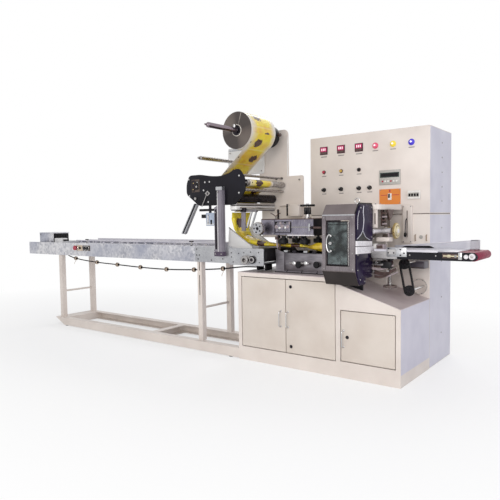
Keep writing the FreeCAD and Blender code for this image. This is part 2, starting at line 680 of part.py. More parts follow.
edge_inset = "(face_depth / 2 + door_gap)"
pair_middle = "(pair_left + pair_right) / 2"
left_door, left_pin = door(
    "left_pan", "pair_left + " + edge_inset, pair_middle + " - door_gap / 2", "pair_bottom", "pair_top"
)
right_door, right_pin = door(
    "right_pan", "pair_right - " + edge_inset, pair_middle + " + door_gap / 2", "pair_bottom", "pair_top"
)
small_door, small_pin = door(
    "small_pan", "single_right - " + edge_inset, "single_left + door_gap", "single_bottom", "single_top"
)
node(left_door, "left_door")
node(right_door, "right_door")
node(small_door, "small_door")


def pull(name, x, z):
    """A bow handle: two stubs on the door and a bar between their ends."""
    low, high = "(%s) - pull_length / 2" % z, "(%s) + pull_length / 2" % z
    reach = "base_front - pull_reach"
    bar = rod(name + "_bar", "Z", (x, reach + " + pull_radius"), (low, high), "pull_radius")
    stubs = []
    for end, height in (("low", low + " + pull_radius"), ("high", high + " - pull_radius")):
        stubs.append(
            rod(name + "_" + end, "Y", (x, height), (reach + " + pull_radius", "base_front"), "pull_radius")
        )
    return fuse(name, bar, *stubs)


def lock(name, x, z):
    return rod(name, "Y", (x, z), ("base_front - lock_reach", "base_front"), "lock_radius")


node(pull("left_pull", "left_pull_place", "pair_pull_height"), "left_door_handle")
right_fittings = group(
    "right_fittings",
    pull("right_pull", "right_pull_place", "pair_pull_height"),
    lock("high_lock", "pair_lock_place", "pair_lock_high"),
    lock("low_lock", "pair_lock_place", "pair_lock_low"),
)
node(right_fittings, "right_door_fittings")
small_fittings = group(
    "small_fittings",
    pull("small_pull", "single_pull_place", "single_pull_height"),
    lock("small_lock", "single_lock_place", "single_lock_height"),
)
node(small_fittings, "small_door_fittings")

# Tall cabinet with the controls, and the drive housing beside it.
node(
    block(
        "lower_case", ("tall_left", "cabinet_right"), ("body_line", "tall_back"),
        ("0", "tall_split - split_gap"),
    ),
    "tall_cabinet_lower",
)
seam = block(
    "seam", ("tall_left + sheet_wall", "cabinet_right - sheet_wall"),
    ("body_line + sheet_wall", "tall_back - sheet_wall"), ("tall_split - split_gap", "tall_split"),
)
upper = block(
    "upper_block", ("tall_left", "cabinet_right"), ("body_line", "tall_back"), ("tall_split", "tall_height")
)
node(fuse("upper_case", upper, seam), "tall_cabinet_upper")

housing_outline = [
    ("body_line", "0"),
    ("tall_back", "0"),
    ("tall_back", "housing_top"),
    ("housing_front", "housing_top"),
    ("housing_front", "deck_height"),
    ("body_line", "deck_height"),
]
node(prism("housing", "X", housing_outline, ("cabinet_left", "tall_left")), "drive_housing")

controllers = []
lamps = []
knobs = []
for i in range(3):
    column = "first_column + %d * column_pitch" % i
    controllers.append(
        block(
            "controller_%d" % (i + 1),
            (column + " - controller_width / 2", column + " + controller_width / 2"),
            ("body_line - controller_reach", "body_line"),
            ("control_row_one - controller_height / 2", "control_row_one + controller_height / 2"),
        )
    )
    lamp_x = "lamp_place + %d * lamp_pitch" % i
    lamps.append(
        rod(
            "lamp_%d" % (i + 1), "Y", (lamp_x, "control_row_one"), ("body_line - lamp_reach", "body_line"),
            "lamp_radius",
        )
    )
    lamps.append(
        rod(
            "button_%d" % (i + 1), "Y", (column, "control_row_two"),
            ("body_line - button_reach", "body_line"),
            "button_radius",
        )
    )
for i, column in enumerate(
    ["first_column + %d * column_pitch" % k for k in range(3)] + ["fourth_knob_place"]
):
    knobs.append(
        rod(
            "knob_%d" % (i + 1), "Y", (column, "control_row_three"), ("body_line - knob_reach", "body_line"),
            "knob_radius",
        )
    )
node(group("controller_row", *controllers), "temperature_controllers")
node(group("lamps_buttons_and_knobs", *lamps, *knobs), "control_buttons")
display = block(
    "display", ("display_left", "display_right"), ("body_line - display_reach", "body_line"),
    ("display_bottom", "display_top"),
)
switch_plate = block(
    "switch_plate", ("display_left", "display_right"), ("body_line - plate_thickness", "body_line"),
    ("plate_bottom", "plate_top"),
)
breaker = block(
    "breaker", ("breaker_left", "breaker_right"), ("body_line - breaker_reach", "body_line"),
    ("breaker_bottom", "breaker_top"),
)
node(group("face_unit_set", display, switch_plate, breaker), "face_units")

# Infeed conveyor on four square legs.
near_panel = block(
    "near_panel", ("infeed_left", "infeed_right"), ("infeed_front", "infeed_front + infeed_wall"),
    ("infeed_bottom", "infeed_top"),
)
far_panel = block(
    "far_panel", ("infeed_left", "infeed_right"), ("infeed_rear - infeed_wall", "infeed_rear"),
    ("infeed_bottom", "infeed_top"),
)
guide = block(
    "guide", ("guide_left", "guide_right"), ("infeed_rear - infeed_wall", "infeed_rear"),
    ("infeed_top - infeed_wall", "infeed_top + guide_height"),
)
node(group("side_panels", near_panel, fuse("far_side", far_panel, guide)), "infeed_sides")
bed = block(
    "bed", ("infeed_left", "infeed_right"), ("infeed_front + infeed_wall", "infeed_rear - infeed_wall"),
    ("bed_height - bed_thickness", "bed_height"),
)
gland = rod(
    "gland", "Z", ("cable_start", "cable_depth"),
    ("bed_height - bed_thickness - gland_length", "bed_height - bed_thickness"), "gland_radius",
)
node(fuse("bed_and_gland", bed, gland), "infeed_bed")

legs = []
rungs = []
for side, x in (("left", "left_leg_place"), ("right", "right_leg_place")):
    for row_name, y in (
        ("front", "infeed_front + infeed_wall + leg_size / 2"),
        ("rear", "infeed_rear - infeed_wall - leg_size / 2"),
    ):
        name = "%s_%s_leg" % (side, row_name)
        high = "bed_height - bed_thickness"
        outside = block(
            name + "_outside", (x + " - leg_size / 2", x + " + leg_size / 2"),
            (y + " - leg_size / 2", y + " + leg_size / 2"), ("rail_height", high),
        )
        bore = "leg_size / 2 - leg_wall"
        inside_leg = block(
            name + "_inside", ("%s - (%s)" % (x, bore), "%s + (%s)" % (x, bore)),
            ("%s - (%s)" % (y, bore), "%s + (%s)" % (y, bore)), ("rail_height", high),
        )
        legs.append(cut(name, outside, inside_leg))
    rungs.append(
        rod(
            side + "_rung", "Y", (x, "rung_height"),
            ("infeed_front + infeed_wall + leg_size", "infeed_rear - infeed_wall - leg_size"), "rung_radius",
        )
    )
left_legs = fuse("left_legs", *legs[:2], rungs[0])
right_legs = fuse("right_legs", *legs[2:], rungs[1])
node(group("leg_set", left_legs, right_legs), "conveyor_legs")

motor_box = block(
    "motor_box", ("infeed_box_left", "infeed_box_right"), ("infeed_box_front", "infeed_box_rear"),
    ("bed_height", "infeed_box_top"),
)
fan_cap = block(
    "fan_cap", ("infeed_box_right", "infeed_cap_right"),
    ("infeed_box_front + infeed_wall", "infeed_box_rear - infeed_wall"),
    ("bed_height", "infeed_box_top - infeed_wall"),
)
motor = fuse("motor_and_cap", motor_box, fan_cap)

stop_reach = ("infeed_front - 1.6 * stop_radius", "infeed_front")
stop = rod("stop_head", "Y", ("stop_place", "stop_height"), stop_reach, "stop_radius")
twin = block(
    "twin_block", ("twin_place - 1.5 * stop_radius", "twin_place + 1.5 * stop_radius"),
    ("infeed_front - stop_radius", "infeed_front"),
    ("stop_height - stop_radius", "stop_height + stop_radius"),
)
node(group("motor_and_switches", motor, stop, twin), "infeed_fittings")

head_plate = block(
    "head_plate", ("head_left", "head_right"), ("head_front", "infeed_front"), ("head_bottom", "head_top")
)
far_head = block(
    "far_head", ("infeed_right", "head_right"), ("infeed_rear - infeed_wall", "infeed_rear"),
    ("head_bottom", "head_top"),
)
boss = rod(
    "boss", "Y", ("boss_place", "boss_height"),
    ("head_front - 1.2 * boss_radius", "infeed_rear - infeed_wall"),
    "boss_radius",
)
lug_span = ("cable_depth - 2 * lug_width", "cable_depth + 2 * lug_width")
lugs = [
    block(
        "lug_bar", ("lug_place", "lug_place + 5 * lug_width"), ("infeed_front", "infeed_rear - infeed_wall"),
        ("head_bottom", "head_bottom + infeed_wall")
    )
]
for i in range(2):
    x = "lug_place + %d * 4 * lug_width" % i
    lugs.append(
        block(
            "lug_%d" % (i + 1), (x, x + " + lug_width"), lug_span,
            ("cable_end_height - lug_width", "head_bottom")
        )
    )
node(fuse("head", head_plate, far_head, boss, *lugs), "drive_head")

belt_turn = "head_right"
turn_height = "head_top - chain_radius"
between_heads = ("infeed_front", "infeed_rear - infeed_wall")
node(
    fuse(
        "feed_belt_loop",
        rod("belt_turn", "Y", (belt_turn, turn_height), between_heads, "chain_radius"),
        block(
            "belt_run", ("boss_place + 2 * boss_radius", belt_turn), between_heads, (turn_height, "head_top")
        ),
    ),
    "feed_belt",
)

# Cable that hangs under the conveyor: straight runs joined by tangent arcs.
start_z = value("bed_height - bed_thickness - gland_length")
depth = value("cable_depth")
start_x = value("cable_start")
end_x, end_z = value("lug_place"), value("cable_end_height")
sag = value("cable_sag")
# Each stop is a share of the way from the gland to the lug, and a height above the lug in shares of the sag.
stops = [
    (0.019, 0.30), (0.089, -0.25), (0.214, -0.60), (0.343, -0.75), (0.473, -0.94), (0.602, -1.0),
    (0.731, -0.81), (0.857, -0.46), (0.937, -0.05), (0.971, 0.0),
]
route = [(start_x, depth, start_z), (start_x, depth, start_z - value("cable_drop"))]
route += [(start_x + share * (end_x - start_x), depth, end_z + rise * sag) for share, rise in stops]
route.append((end_x, depth, end_z))
route = [FreeCAD.Vector(*point) for point in route]
edges = []
radii = []
last = route[0]
for before, corner, after in zip(route, route[1:], route[2:]):
    come, leave = corner - before, after - corner
    turn = come.getAngle(leave)
    radius = 0.45 * min(come.Length, leave.Length) / math.tan(turn / 2)
    reach = radius * math.tan(turn / 2)
    arc_start = corner - come.normalize() * reach
    arc_end = corner + leave.normalize() * reach
    bulge = (arc_start + arc_end) / 2 - corner
    middle = corner + bulge.normalize() * (radius / math.cos(turn / 2) - radius)
    edges.append(Part.LineSegment(last, arc_start).toShape())
    edges.append(Part.Arc(arc_start, middle, arc_end).toShape())
    radii.append(round(radius))
    last = arc_end
edges.append(Part.LineSegment(last, route[-1]).toShape())
path = Part.Wire(edges)
cable_section = Part.Wire(Part.Circle(route[0], route[1] - route[0], value("cable_radius")).toShape())
cable = doc.addObject("Part::Feature", "cable")
cable.Shape = path.makePipeShell([cable_section], True, False)
expected = math.pi * value("cable_radius") ** 2 * path.Length
print("cable arcs", min(radii), "length", round(path.Length), "fill", round(cable.Shape.Volume / expected, 4))
node(cable, "hanging_cable")

# Rear frame plate, unwind plate and bracket.
plate_outline = [
    ("cabinet_left", "deck_height"),
    ("frame_plate_right", "deck_height"),
    ("frame_plate_right", "frame_plate_top"),
    ("frame_plate_left", "frame_plate_top"),
    ("frame_plate_left", "frame_plate_notch"),
    ("cabinet_left", "frame_plate_notch"),
]
frame_plate = prism("frame_plate", "Y", plate_outline, ("plate_front", "housing_front"))
beam_span = ("side_plate_front + side_plate_thickness", "plate_front")
crossbeam = block("crossbeam", ("beam_left", "beam_right"), beam_span, ("beam_bottom", "beam_top"))
node(fuse("plate_and_beam", frame_plate, crossbeam), "rear_frame_plate")

upright_depth = ("housing_front", "2 * housing_front - plate_front")
upright = block(
    "upright", ("upright_left", "upright_right"), upright_depth,
    ("housing_top", "upright_top - upright_round")
)
upright_cap = block(
    "upright_cap", ("upright_left + upright_round", "upright_right - upright_round"), upright_depth,
    ("upright_top - upright_round", "upright_top"),
)
corners = []
for name, x in (("left", "upright_left + upright_round"), ("right", "upright_right - upright_round")):
    corners.append(
        rod("upright_corner_" + name, "Y", (x, "upright_top - upright_round"), upright_depth, "upright_round")
    )
bracket = block(
    "bracket", ("bracket_left", "bracket_right"), ("plate_front", "housing_front"),
    ("bracket_bottom", "bracket_top")
)
spare_bar = rod(
    "spare_bar", "Y", ("spare_place", "spare_height"), ("spare_tip", "plate_front"), "spare_radius"
)
node(fuse("bracket_and_shaft", bracket, spare_bar), "spare_shaft_bracket")

# Film reel on its shaft, with the brake hub behind it, in a bearing on the unwind plate.
reel_axis = ("reel_place", "reel_height")
bearing_body = rod("bearing_body", "Y", reel_axis, ("bearing_front", "housing_front"), "bearing_radius")
bearing_bore = rod(
    "bearing_bore", "Y", reel_axis, ("bearing_front - 1", "housing_front"), "shaft_radius + running_play"
)
upright_plate = fuse("upright_plate", upright, upright_cap, *corners, bearing_body)
node(cut("plate_and_bearing", upright_plate, bearing_bore), "unwind_plate")
shaft_bar = rod("shaft_bar", "Y", reel_axis, ("shaft_tip", "housing_front - running_play"), "shaft_radius")
chuck_reach = "(core_radius - core_wall)"
chucks = []
for name, span in (
    ("front", ("reel_front - 12", "reel_front + 14")), ("rear", ("reel_rear - 14", "reel_rear"))
):
    chucks.append(rod("chuck_" + name, "Y", reel_axis, span, chuck_reach))
node(fuse("shaft_with_chucks", shaft_bar, *chucks), "unwind_shaft")
winding = rod("winding", "Y", reel_axis, ("reel_front", "reel_rear"), "reel_radius")
winding_bore = rod("winding_bore", "Y", reel_axis, ("reel_front - 1", "reel_rear + 1"), "core_radius")
node(cut("wound_film", winding, winding_bore), "film_reel")
core_outside = rod("core_outside", "Y", reel_axis, ("reel_front", "reel_rear"), "core_radius")
core_bore = rod("core_bore", "Y", reel_axis, ("reel_front - 1", "reel_rear + 1"), chuck_reach)
node(cut("core", core_outside, core_bore), "reel_core")
hub_body = rod("hub_body", "Y", reel_axis, ("reel_rear", "hub_rear"), "hub_radius")
hub_bore = rod("hub_bore", "Y", reel_axis, ("reel_rear - 1", "hub_rear + 1"), "shaft_radius")
node(cut("hub", hub_body, hub_bore), "brake_hub")


# Web from the reel to the first roller: a straight run tangent to both.
reel_x, reel_z = value("reel_place"), value("reel_height")
roll_x, roll_z = value("dancer_place"), value("dancer_height")
outer, inner = value("reel_radius"), value("roller_radius")
distance = math.hypot(reel_x - roll_x, reel_z - roll_z)
toward = math.atan2(roll_z - reel_z, roll_x - reel_x)
film = value("film_thickness")
reel_r = outer + value("film_gap") + film / 2
roll_r = inner + film / 2
# The web leaves the reel on its right and meets the roller on its left, so the two radii cross.
lean = math.asin((reel_r + roll_r) / distance)
normal = toward + math.pi / 2 - lean
out = FreeCAD.Vector(math.cos(normal), 0, math.sin(normal))
reel_axis_low = FreeCAD.Vector(reel_x, 0, reel_z)
roll_axis_low = FreeCAD.Vector(roll_x, 0, roll_z)
web_start = reel_axis_low + out * reel_r
web_end = roll_axis_low - out * roll_r
web_low, web_high = value("reel_front + film_margin"), value("reel_rear - film_margin")
half_film = out * (film / 2)
corners = [web_start - half_film, web_start + half_film, web_end + half_film, web_end - half_film]
wire = Part.makePolygon(corners + corners[:1])
web = doc.addObject("Part::Feature", "web")
web.Shape = Part.Face(wire).extrude(FreeCAD.Vector(0, web_high - web_low, 0))
web.Placement.Base.y = web_low
node(web, "film_web")


# Black side plate of the roller unit, its rollers, tie rods, crossbeam and post.
side_outline = [
    ("side_plate_left", "side_plate_waist - side_plate_corner / 2"),
    ("side_plate_left", "side_plate_low + side_plate_corner"),
    ("side_plate_left + 1.4 * side_plate_corner", "side_plate_low"),
    ("side_plate_right - side_plate_corner", "side_plate_low"),
    ("side_plate_right", "side_plate_low + side_plate_corner"),
    ("side_plate_right", "side_plate_high - 0.7 * side_plate_corner"),
    ("side_plate_right - side_plate_corner / 2", "side_plate_high"),
    ("side_plate_right - side_plate_corner", "side_plate_high"),
    ("side_plate_right - 2.4 * side_plate_corner", "side_plate_waist"),
    ("side_plate_left + 1.6 * side_plate_corner", "side_plate_waist + side_plate_round"),
    ("side_plate_left + side_plate_corner / 3", "side_plate_waist + side_plate_round"),
]
side_sheet = prism(
    "side_sheet", "Y", side_outline, ("side_plate_front", "side_plate_front + side_plate_thickness")
)
rounded_corners(side_sheet, "Y", "side_plate_round")
arm_outline = [
    ("arm_place", "side_plate_low + side_plate_round"),
    ("arm_place - arm_run", "side_plate_low - arm_drop"),
    ("arm_place - arm_run + arm_width", "side_plate_low - arm_drop - arm_width / 2"),
    ("arm_place + arm_width", "side_plate_low + side_plate_round"),
]
arm_span = ("side_plate_front + side_plate_thickness", "side_plate_front + side_plate_thickness + arm_width")
node(fuse("plate_and_arm", side_sheet, prism("guide_arm", "Y", arm_outline, arm_span)), "roller_side_plate")
roller_span = ("side_plate_front + side_plate_thickness", "plate_front")
rollers = [
    rod("lead_roller", "Y", ("lead_place", "lead_height"), roller_span, "roller_radius"),
    rod("idler_roller", "Y", ("lead_place", "idler_height"), roller_span, "idler_radius"),
]
for i in range(2):
    tie_place = ("lead_place - 2 * tie_radius - %d * tie_pitch" % i, "tie_height")
    rollers.append(rod("tie_%d" % (i + 1), "Y", tie_place, roller_span, "tie_radius"))
rollers.append(rod("drum", "Y", ("drum_place", "drum_height"), roller_span, "drum_radius"))
dancer_span = (roller_span[0], "reel_rear")
rollers.append(rod("dancer_roller", "Y", ("dancer_place", "dancer_height"), dancer_span, "roller_radius"))
node(group("roller_set", *rollers), "guide_rollers")
post_span = ("infeed_front - post_depth", "infeed_front")
post = fuse(
    "post",
    block("post_low", ("post_left", "post_right"), post_span, ("post_foot_bottom", "post_step")),
    block("post_high", ("post_left + 30", "post_right"), post_span, ("post_step", "post_top")),
)
node(post, "front_post")
sensor_middle = "(sensor_left + sensor_right) / 2"
sensor_span = ("side_plate_front", "side_plate_front + sensor_depth")
sensor = fuse(
    "sensor_and_bracket",
    block("sensor", ("sensor_left", "sensor_right"), sensor_span, ("sensor_bottom", "sensor_top")),
    block(
        "sensor_bracket", (sensor_middle + " - idler_radius", sensor_middle + " + idler_radius"),
        ("side_plate_front", "side_plate_front + side_plate_thickness"), ("sensor_top", "side_plate_low"),
    ),
)
node(sensor, "print_sensor")

# Forming box, film tube, fin seal bench and sealing head.
former_outline = [
    ("former_left", "bed_height"),
    ("former_right", "bed_height"),
    ("former_left", "former_top"),
]
node(
    group(
        "former",
        prism("former_near", "Y", former_outline, ("former_front", "former_front + former_wall")),
        prism("former_far", "Y", former_outline, ("former_rear - former_wall", "former_rear")),
    ),
    "forming_box",
)


# The film drops from the rollers in a fold, closes to a tube in the former, is drawn narrow between the
# pulling wheels and lies flat between the jaws. Each section is X, Z, lean, half width and half height.
fold_place = "former_left + 0.4 * side_plate_corner"
film_sections = [
    (fold_place, "beam_bottom - film_margin", 90, "1.1 * tube_width", "2 * film_thickness"),
    (fold_place, "former_top", 76, "0.9 * tube_width", "tube_height / 2"),
    (
        "former_left + side_plate_corner", "former_top - 3 * tube_height", 42, "0.7 * tube_width",
        "tube_height / 2"
    ),
    ("former_right", "line_height + tube_height / 6", 0, "tube_width / 2", "2 * tube_height / 3"),
    ("head_right", "line_height", 0, "0.36 * tube_width", "tube_height / 2"),
    ("pull_wheel_second", "line_height", 0, "0.2 * tube_width", "tube_height / 2"),
    ("guard_left", "line_height", 0, "tube_width / 2", "tube_height / 2"),
    ("jaw_place", "line_height", 0, "tube_width / 2", "3 * film_thickness"),
]
film_body, outline = new_body("film_loft", "YZ_Plane")
sheets = [outline]
while len(sheets) < len(film_sections):
    follower = film_body.newObject("Sketcher::SketchObject", "film_section_%d" % (len(sheets) + 1))
    follower.AttachmentSupport = outline.AttachmentSupport
    follower.MapMode = "FlatFace"
    sheets.append(follower)
for outline, (x, z, lean, half_width, half_height) in zip(sheets, film_sections):
    outline.AttachmentOffset.Rotation = FreeCAD.Rotation(FreeCAD.Vector(1, 0, 0), lean)
    bind(outline, "AttachmentOffset.Base.x", "line_middle")
    bind(outline, "AttachmentOffset.Base.y", z)
    bind(outline, "AttachmentOffset.Base.z", x)
    low_side, high_side = "-(%s)" % half_width, half_width
    low_edge, high_edge = "-(%s)" % half_height, half_height
    closed_outline(
        outline,
        [(low_side, low_edge), (high_side, low_edge), (high_side, high_edge), (low_side, high_edge)],
    )
loft = film_body.newObject("PartDesign::AdditiveLoft", "film_loft_body")
loft.Profile = sheets[0]
loft.Sections = sheets[1:]
loft.Ruled = True
film_body.Tip = loft
node(film_body, "film_tube")
node(
    block(
        "bench", ("bench_left", "bench_right"), ("bench_front", "bench_rear"), ("deck_height", "bench_top")
    ),
    "seal_bench",
)
head_block = block(
    "head_block", ("head_box_left", "head_box_right"), ("head_box_front", "head_box_rear"),
    ("head_box_bottom", "head_box_top"),
)
arm = block(
    "arm", ("arm_left", "arm_right"), ("head_box_rear", "plate_front"),
    ("head_box_bottom + 30", "head_box_top - 30")
)
node(fuse("sealing_head", head_block, arm), "seal_head")

pulls = []
for i, x in enumerate(("pull_wheel_first", "pull_wheel_second")):
    for side, sign in (("near", "-"), ("far", "+")):
        y = "line_middle %s (tube_width / 2 + pull_wheel_radius + hinge_play)" % sign
        wheel = rod(
            "pull_disc_%d_%s" % (i + 1, side), "Z", (x, y), ("line_height - 12", "line_height + 40"),
            "pull_wheel_radius",
        )
        stem = rod(
            "pull_stem_%d_%s" % (i + 1, side), "Z", (x, y),
            ("line_height + 40", "head_box_bottom"), "stem_radius"
        )
        pulls.append(fuse("pull_%d_%s" % (i + 1, side), wheel, stem))

wheel_axis = ("wheel_place", "wheel_height")
knurled = rod("knurled_disc", "Y", wheel_axis, ("wheel_front", "wheel_front + wheel_width"), "wheel_radius")
knurled_shaft = rod(
    "knurled_shaft", "Y", wheel_axis, ("wheel_front + wheel_width", "head_box_front"), "1.5 * stem_radius"
)
node(group("wheel_set", fuse("knurled", knurled, knurled_shaft), *pulls), "pulling_wheels")

# Handwheels turn on fixed threaded stems, one that stands and one that hangs.
def handwheel(name, x, y, z, radius, span):
    rim = rod(name + "_rim", "Z", (x, y), ("%s - wheel_half" % z, "%s + wheel_half" % z), radius)
    bore = rod(
        name + "_bore", "Z", (x, y), ("%s - 2 * wheel_half" % z, "%s + 2 * wheel_half" % z), "stem_bore"
    )
    return cut(name, rim, bore), rod(name + "_stem", "Z", (x, y), span, "stem_radius")


top_wheel, top_stem = handwheel(
    "top_wheel", "top_wheel_place", "top_wheel_depth", "top_wheel_height", "top_wheel_radius",
    ("head_box_top", "top_wheel_height + 2 * wheel_half"),
)
node(top_wheel, "upper_handwheel")
low_wheel, low_stem = handwheel(
    "low_wheel", "low_wheel_place", "low_wheel_depth", "low_wheel_height", "low_wheel_radius",
    ("low_wheel_height - 2 * wheel_half", "discharge_bottom - discharge_wall"),
)
node(low_wheel, "lower_handwheel")
node(group("stems", top_stem, low_stem), "handwheel_stems")
node(
    block(
        "gauge", ("gauge_left", "gauge_right"), ("plate_front - gauge_depth", "plate_front"),
        ("gauge_bottom", "gauge_top"),
    ),
    "seal_control_box",
)

# End sealer guard: a folded hood with a smoked window door, open at the back.
def hood_outline(wall):
    return [
        ("guard_rear", "guard_deck_level + %s" % wall),
        ("base_front - 2 * guard_wall - %s" % wall, "guard_deck_level + %s" % wall),
        ("base_front - 2 * guard_wall - %s" % wall, "guard_low + %s" % wall),
        ("guard_front + guard_low_setback", "guard_low + %s" % wall),
        ("guard_front + %s" % wall, "guard_face_low"),
        ("guard_front + %s" % wall, "guard_face_high"),
        ("guard_front + guard_high_setback", "guard_high - %s" % wall),
        ("guard_rear", "guard_high - %s" % wall),
    ]


hood_whole = prism("hood_whole", "X", hood_outline("0"), ("guard_left", "guard_right"))
hood_room = prism(
    "hood_room", "X", hood_outline("guard_wall"), ("guard_left + guard_wall", "guard_right - guard_wall")
)
window_hole = block(
    "window_hole", ("window_left", "window_right"), ("guard_front - 20", "guard_front + 20"),
    ("window_bottom", "window_top"),
)
inlet = block(
    "inlet", ("guard_left - 20", "guard_right + 20"), ("line_middle - 2 * tube_width", "guard_rear + 20"),
    ("line_height - 2 * tube_height", "line_height + 2 * tube_height"),
)
node(cut("hood", hood_whole, hood_room, window_hole, inlet), "guard_hood")

window_x = "window_right - door_gap - window_thickness / 2"
window_y = "guard_front + window_thickness / 2"
leaf = block(
    "window_leaf", ("window_left + door_gap", window_x), ("guard_front", "guard_front + window_thickness"),
    ("window_bottom + door_gap", "window_top - door_gap"),
)
window_edge = rod(
    "window_edge", "Z", (window_x, window_y), ("window_bottom + door_gap", "window_top - door_gap"),
    "window_thickness / 2",
)
window_bore = rod(
    "window_bore", "Z", (window_x, window_y),
    ("window_bottom", "window_top"), "window_pin_radius + hinge_play"
)
node(cut("window_pan", fuse("window_body", leaf, window_edge), window_bore), "guard_window")
grip_x = "window_left + door_gap + 4 * pull_radius"
grip_middle = "(window_bottom + window_top) / 2"
grip_depth = "guard_front - pull_reach + pull_radius"
grip_low, grip_high = grip_middle + " - pull_length / 3", grip_middle + " + pull_length / 3"
grip = [rod("grip_bar", "Z", (grip_x, grip_depth), (grip_low, grip_high), "pull_radius")]
for end, height in (("low", grip_low + " + pull_radius"), ("high", grip_high + " - pull_radius")):
    grip.append(rod("grip_" + end, "Y", (grip_x, height), (grip_depth, "guard_front"), "pull_radius"))
node(fuse("window_grip", *grip), "window_handle")
window_pin = rod(
    "window_pin", "Z", (window_x, window_y), ("window_bottom", "window_top"), "window_pin_radius"
)
node(group("pins", left_pin, right_pin, small_pin, window_pin), "hinge_pins")

# End sealer frame, jaws and gear.
slab = block(
    "slab", ("guard_left", "slab_right"), ("guard_rear", "body_line"),
    ("slab_top - slab_thickness", "slab_top")
)
jaws = []
gears = []
blade_span = ("jaw_place - blade_half", "jaw_place + blade_half")
gear_span = ("gear_front", "gear_front + gear_width")
wider_span = ("gear_front - 1", "gear_front + gear_width + 1")
for name, sign in (("upper", "+"), ("lower", "-")):
    z = "line_height %s jaw_offset" % sign
    carrier = rod("jaw_body_" + name, "Y", ("jaw_place", z), ("jaw_front", "jaw_rear"), "jaw_radius")
    blades = block(
        "jaw_bars_" + name, blade_span, ("jaw_front", "jaw_rear"),
        (z + " - blade_reach", z + " + blade_reach")
    )
    shaft = rod("jaw_shaft_" + name, "Y", ("jaw_place", z), ("jaw_rear", "body_line"), "jaw_shaft_radius")
    jaws.append(fuse("jaw_" + name, carrier, blades, shaft))
    disc = rod("gear_disc_" + name, "Y", ("jaw_place", z), gear_span, "gear_radius")
    eye = rod("gear_eye_" + name, "Y", ("jaw_place", z), wider_span, "jaw_shaft_radius")
    gears.append(cut("gear_" + name, disc, eye))
pinion_axis = ("pinion_place", "pinion_height")
jaws.append(rod("drive_shaft", "Y", pinion_axis, ("pinion_front", "body_line"), "jaw_shaft_radius"))
pinion_disc = rod("pinion_disc", "Y", pinion_axis, gear_span, "pinion_radius")
gears.append(cut("pinion", pinion_disc, rod("pinion_eye", "Y", pinion_axis, wider_span, "jaw_shaft_radius")))
node(group("jaw_pair", *jaws), "sealing_jaws")
node(group("gear_set", *gears), "jaw_gears")
bearing_plate = block(
    "bearing_blank", ("bearing_plate_left", "bearing_plate_right"),
    ("bearing_plate_front", "bearing_plate_front + bearing_plate_depth"),
    (deck_level("bearing_plate_left"), "slab_top - slab_thickness"),
)
holes = []
for name, sign in (("upper", "+"), ("lower", "-")):
    spot = ("jaw_place", "line_height %s jaw_offset" % sign)
    span = ("bearing_plate_front - 1", "bearing_plate_front + bearing_plate_depth + 1")
    holes.append(rod("hole_" + name, "Y", spot, span, "jaw_shaft_radius + running_play"))
bearing_base = prism(
    "bearing_base", "Y",
    [
        ("bearing_plate_left", deck_level("bearing_plate_left")),
        ("bearing_plate_right", deck_level("bearing_plate_right")),
        ("bearing_plate_right", deck_level("bearing_plate_left")),
    ],
    ("bearing_plate_front", "bearing_plate_front + bearing_plate_depth"),
)
hanger_span = ("pinion_front + door_gap", "pinion_front + door_gap + bearing_plate_depth")
hanger = cut(
    "hanger",
    block(
        "hanger_blank", ("pinion_place - 1.5 * jaw_shaft_radius", "pinion_place + 1.5 * jaw_shaft_radius"),
        hanger_span, ("pinion_height - hanger_reach", "slab_top - slab_thickness"),
    ),
    rod(
        "hanger_hole", "Y", pinion_axis, (hanger_span[0] + " - 1", hanger_span[1] + " + 1"),
        "jaw_shaft_radius + running_play",
    ),
)
frame = fuse("sealer_frame", slab, bearing_base, hanger, cut("bearing_plate", bearing_plate, *holes))
guard_base = prism(
    "guard_base", "Y",
    [
        ("guard_base_left", deck_level("guard_base_left")),
        ("guard_base_right", deck_level("guard_base_right")),
        ("guard_base_right", "guard_deck_level"),
        ("guard_base_left", "guard_deck_level"),
    ],
    ("base_front + guard_wall", "guard_rear"),
)
drive_box = block(
    "drive_box", ("motor_left", "cabinet_right - door_gap"), ("body_line - motor_depth", "body_line"),
    ("motor_bottom", "motor_top"),
)
lever_plate = block(
    "lever_plate", ("lever_plate_left", "lever_plate_right"), ("body_line - lever_plate_depth", "body_line"),
    ("lever_plate_bottom", "lever_plate_top"),
)
cover = rod(
    "round_cover", "Y", ("cover_place", "cover_height"), ("body_line - cover_depth", "body_line"),
    "cover_radius"
)
node(group("sealer_plate_set", frame, lever_plate, drive_box, cover, guard_base), "sealer_plates")

# Discharge conveyor with its belt, rollers and drive belt.
plates = []
for name, y in (
    ("near", ("discharge_front", "discharge_front + discharge_wall")),
    ("far", ("discharge_rear - discharge_wall", "discharge_rear")),
):
    plates.append(
        block(
            "discharge_" + name, ("discharge_left", "discharge_right"), y,
            ("discharge_bottom", "discharge_top")
        )
    )
plates.append(
    block(
        "tail_block", ("block_left", "block_right"), ("discharge_front - block_reach", "discharge_front"),
        ("block_bottom", "block_top"),
    )
)
for i, x in enumerate(("discharge_right - 170", "discharge_right - 390")):
    plates.append(
        rod(
            "spreader_%d" % (i + 1), "Y", (x, "belt_height"),
            ("discharge_front + discharge_wall", "discharge_rear - discharge_wall"), "spreader_radius",
        )
    )
plates.append(
    block(
        "stem_bridge", ("discharge_left + 10", "discharge_left + 70"), ("discharge_front", "discharge_rear"),
        ("discharge_bottom - discharge_wall", "discharge_bottom"),
    )
)
plates.append(
    block(
        "discharge_arm", ("discharge_left + 20", "discharge_left + 80"), ("discharge_rear", "body_line"),
        ("discharge_bottom", "discharge_top - belt_radius"),
    )
)
node(fuse("discharge_frame", *plates), "discharge_sides")


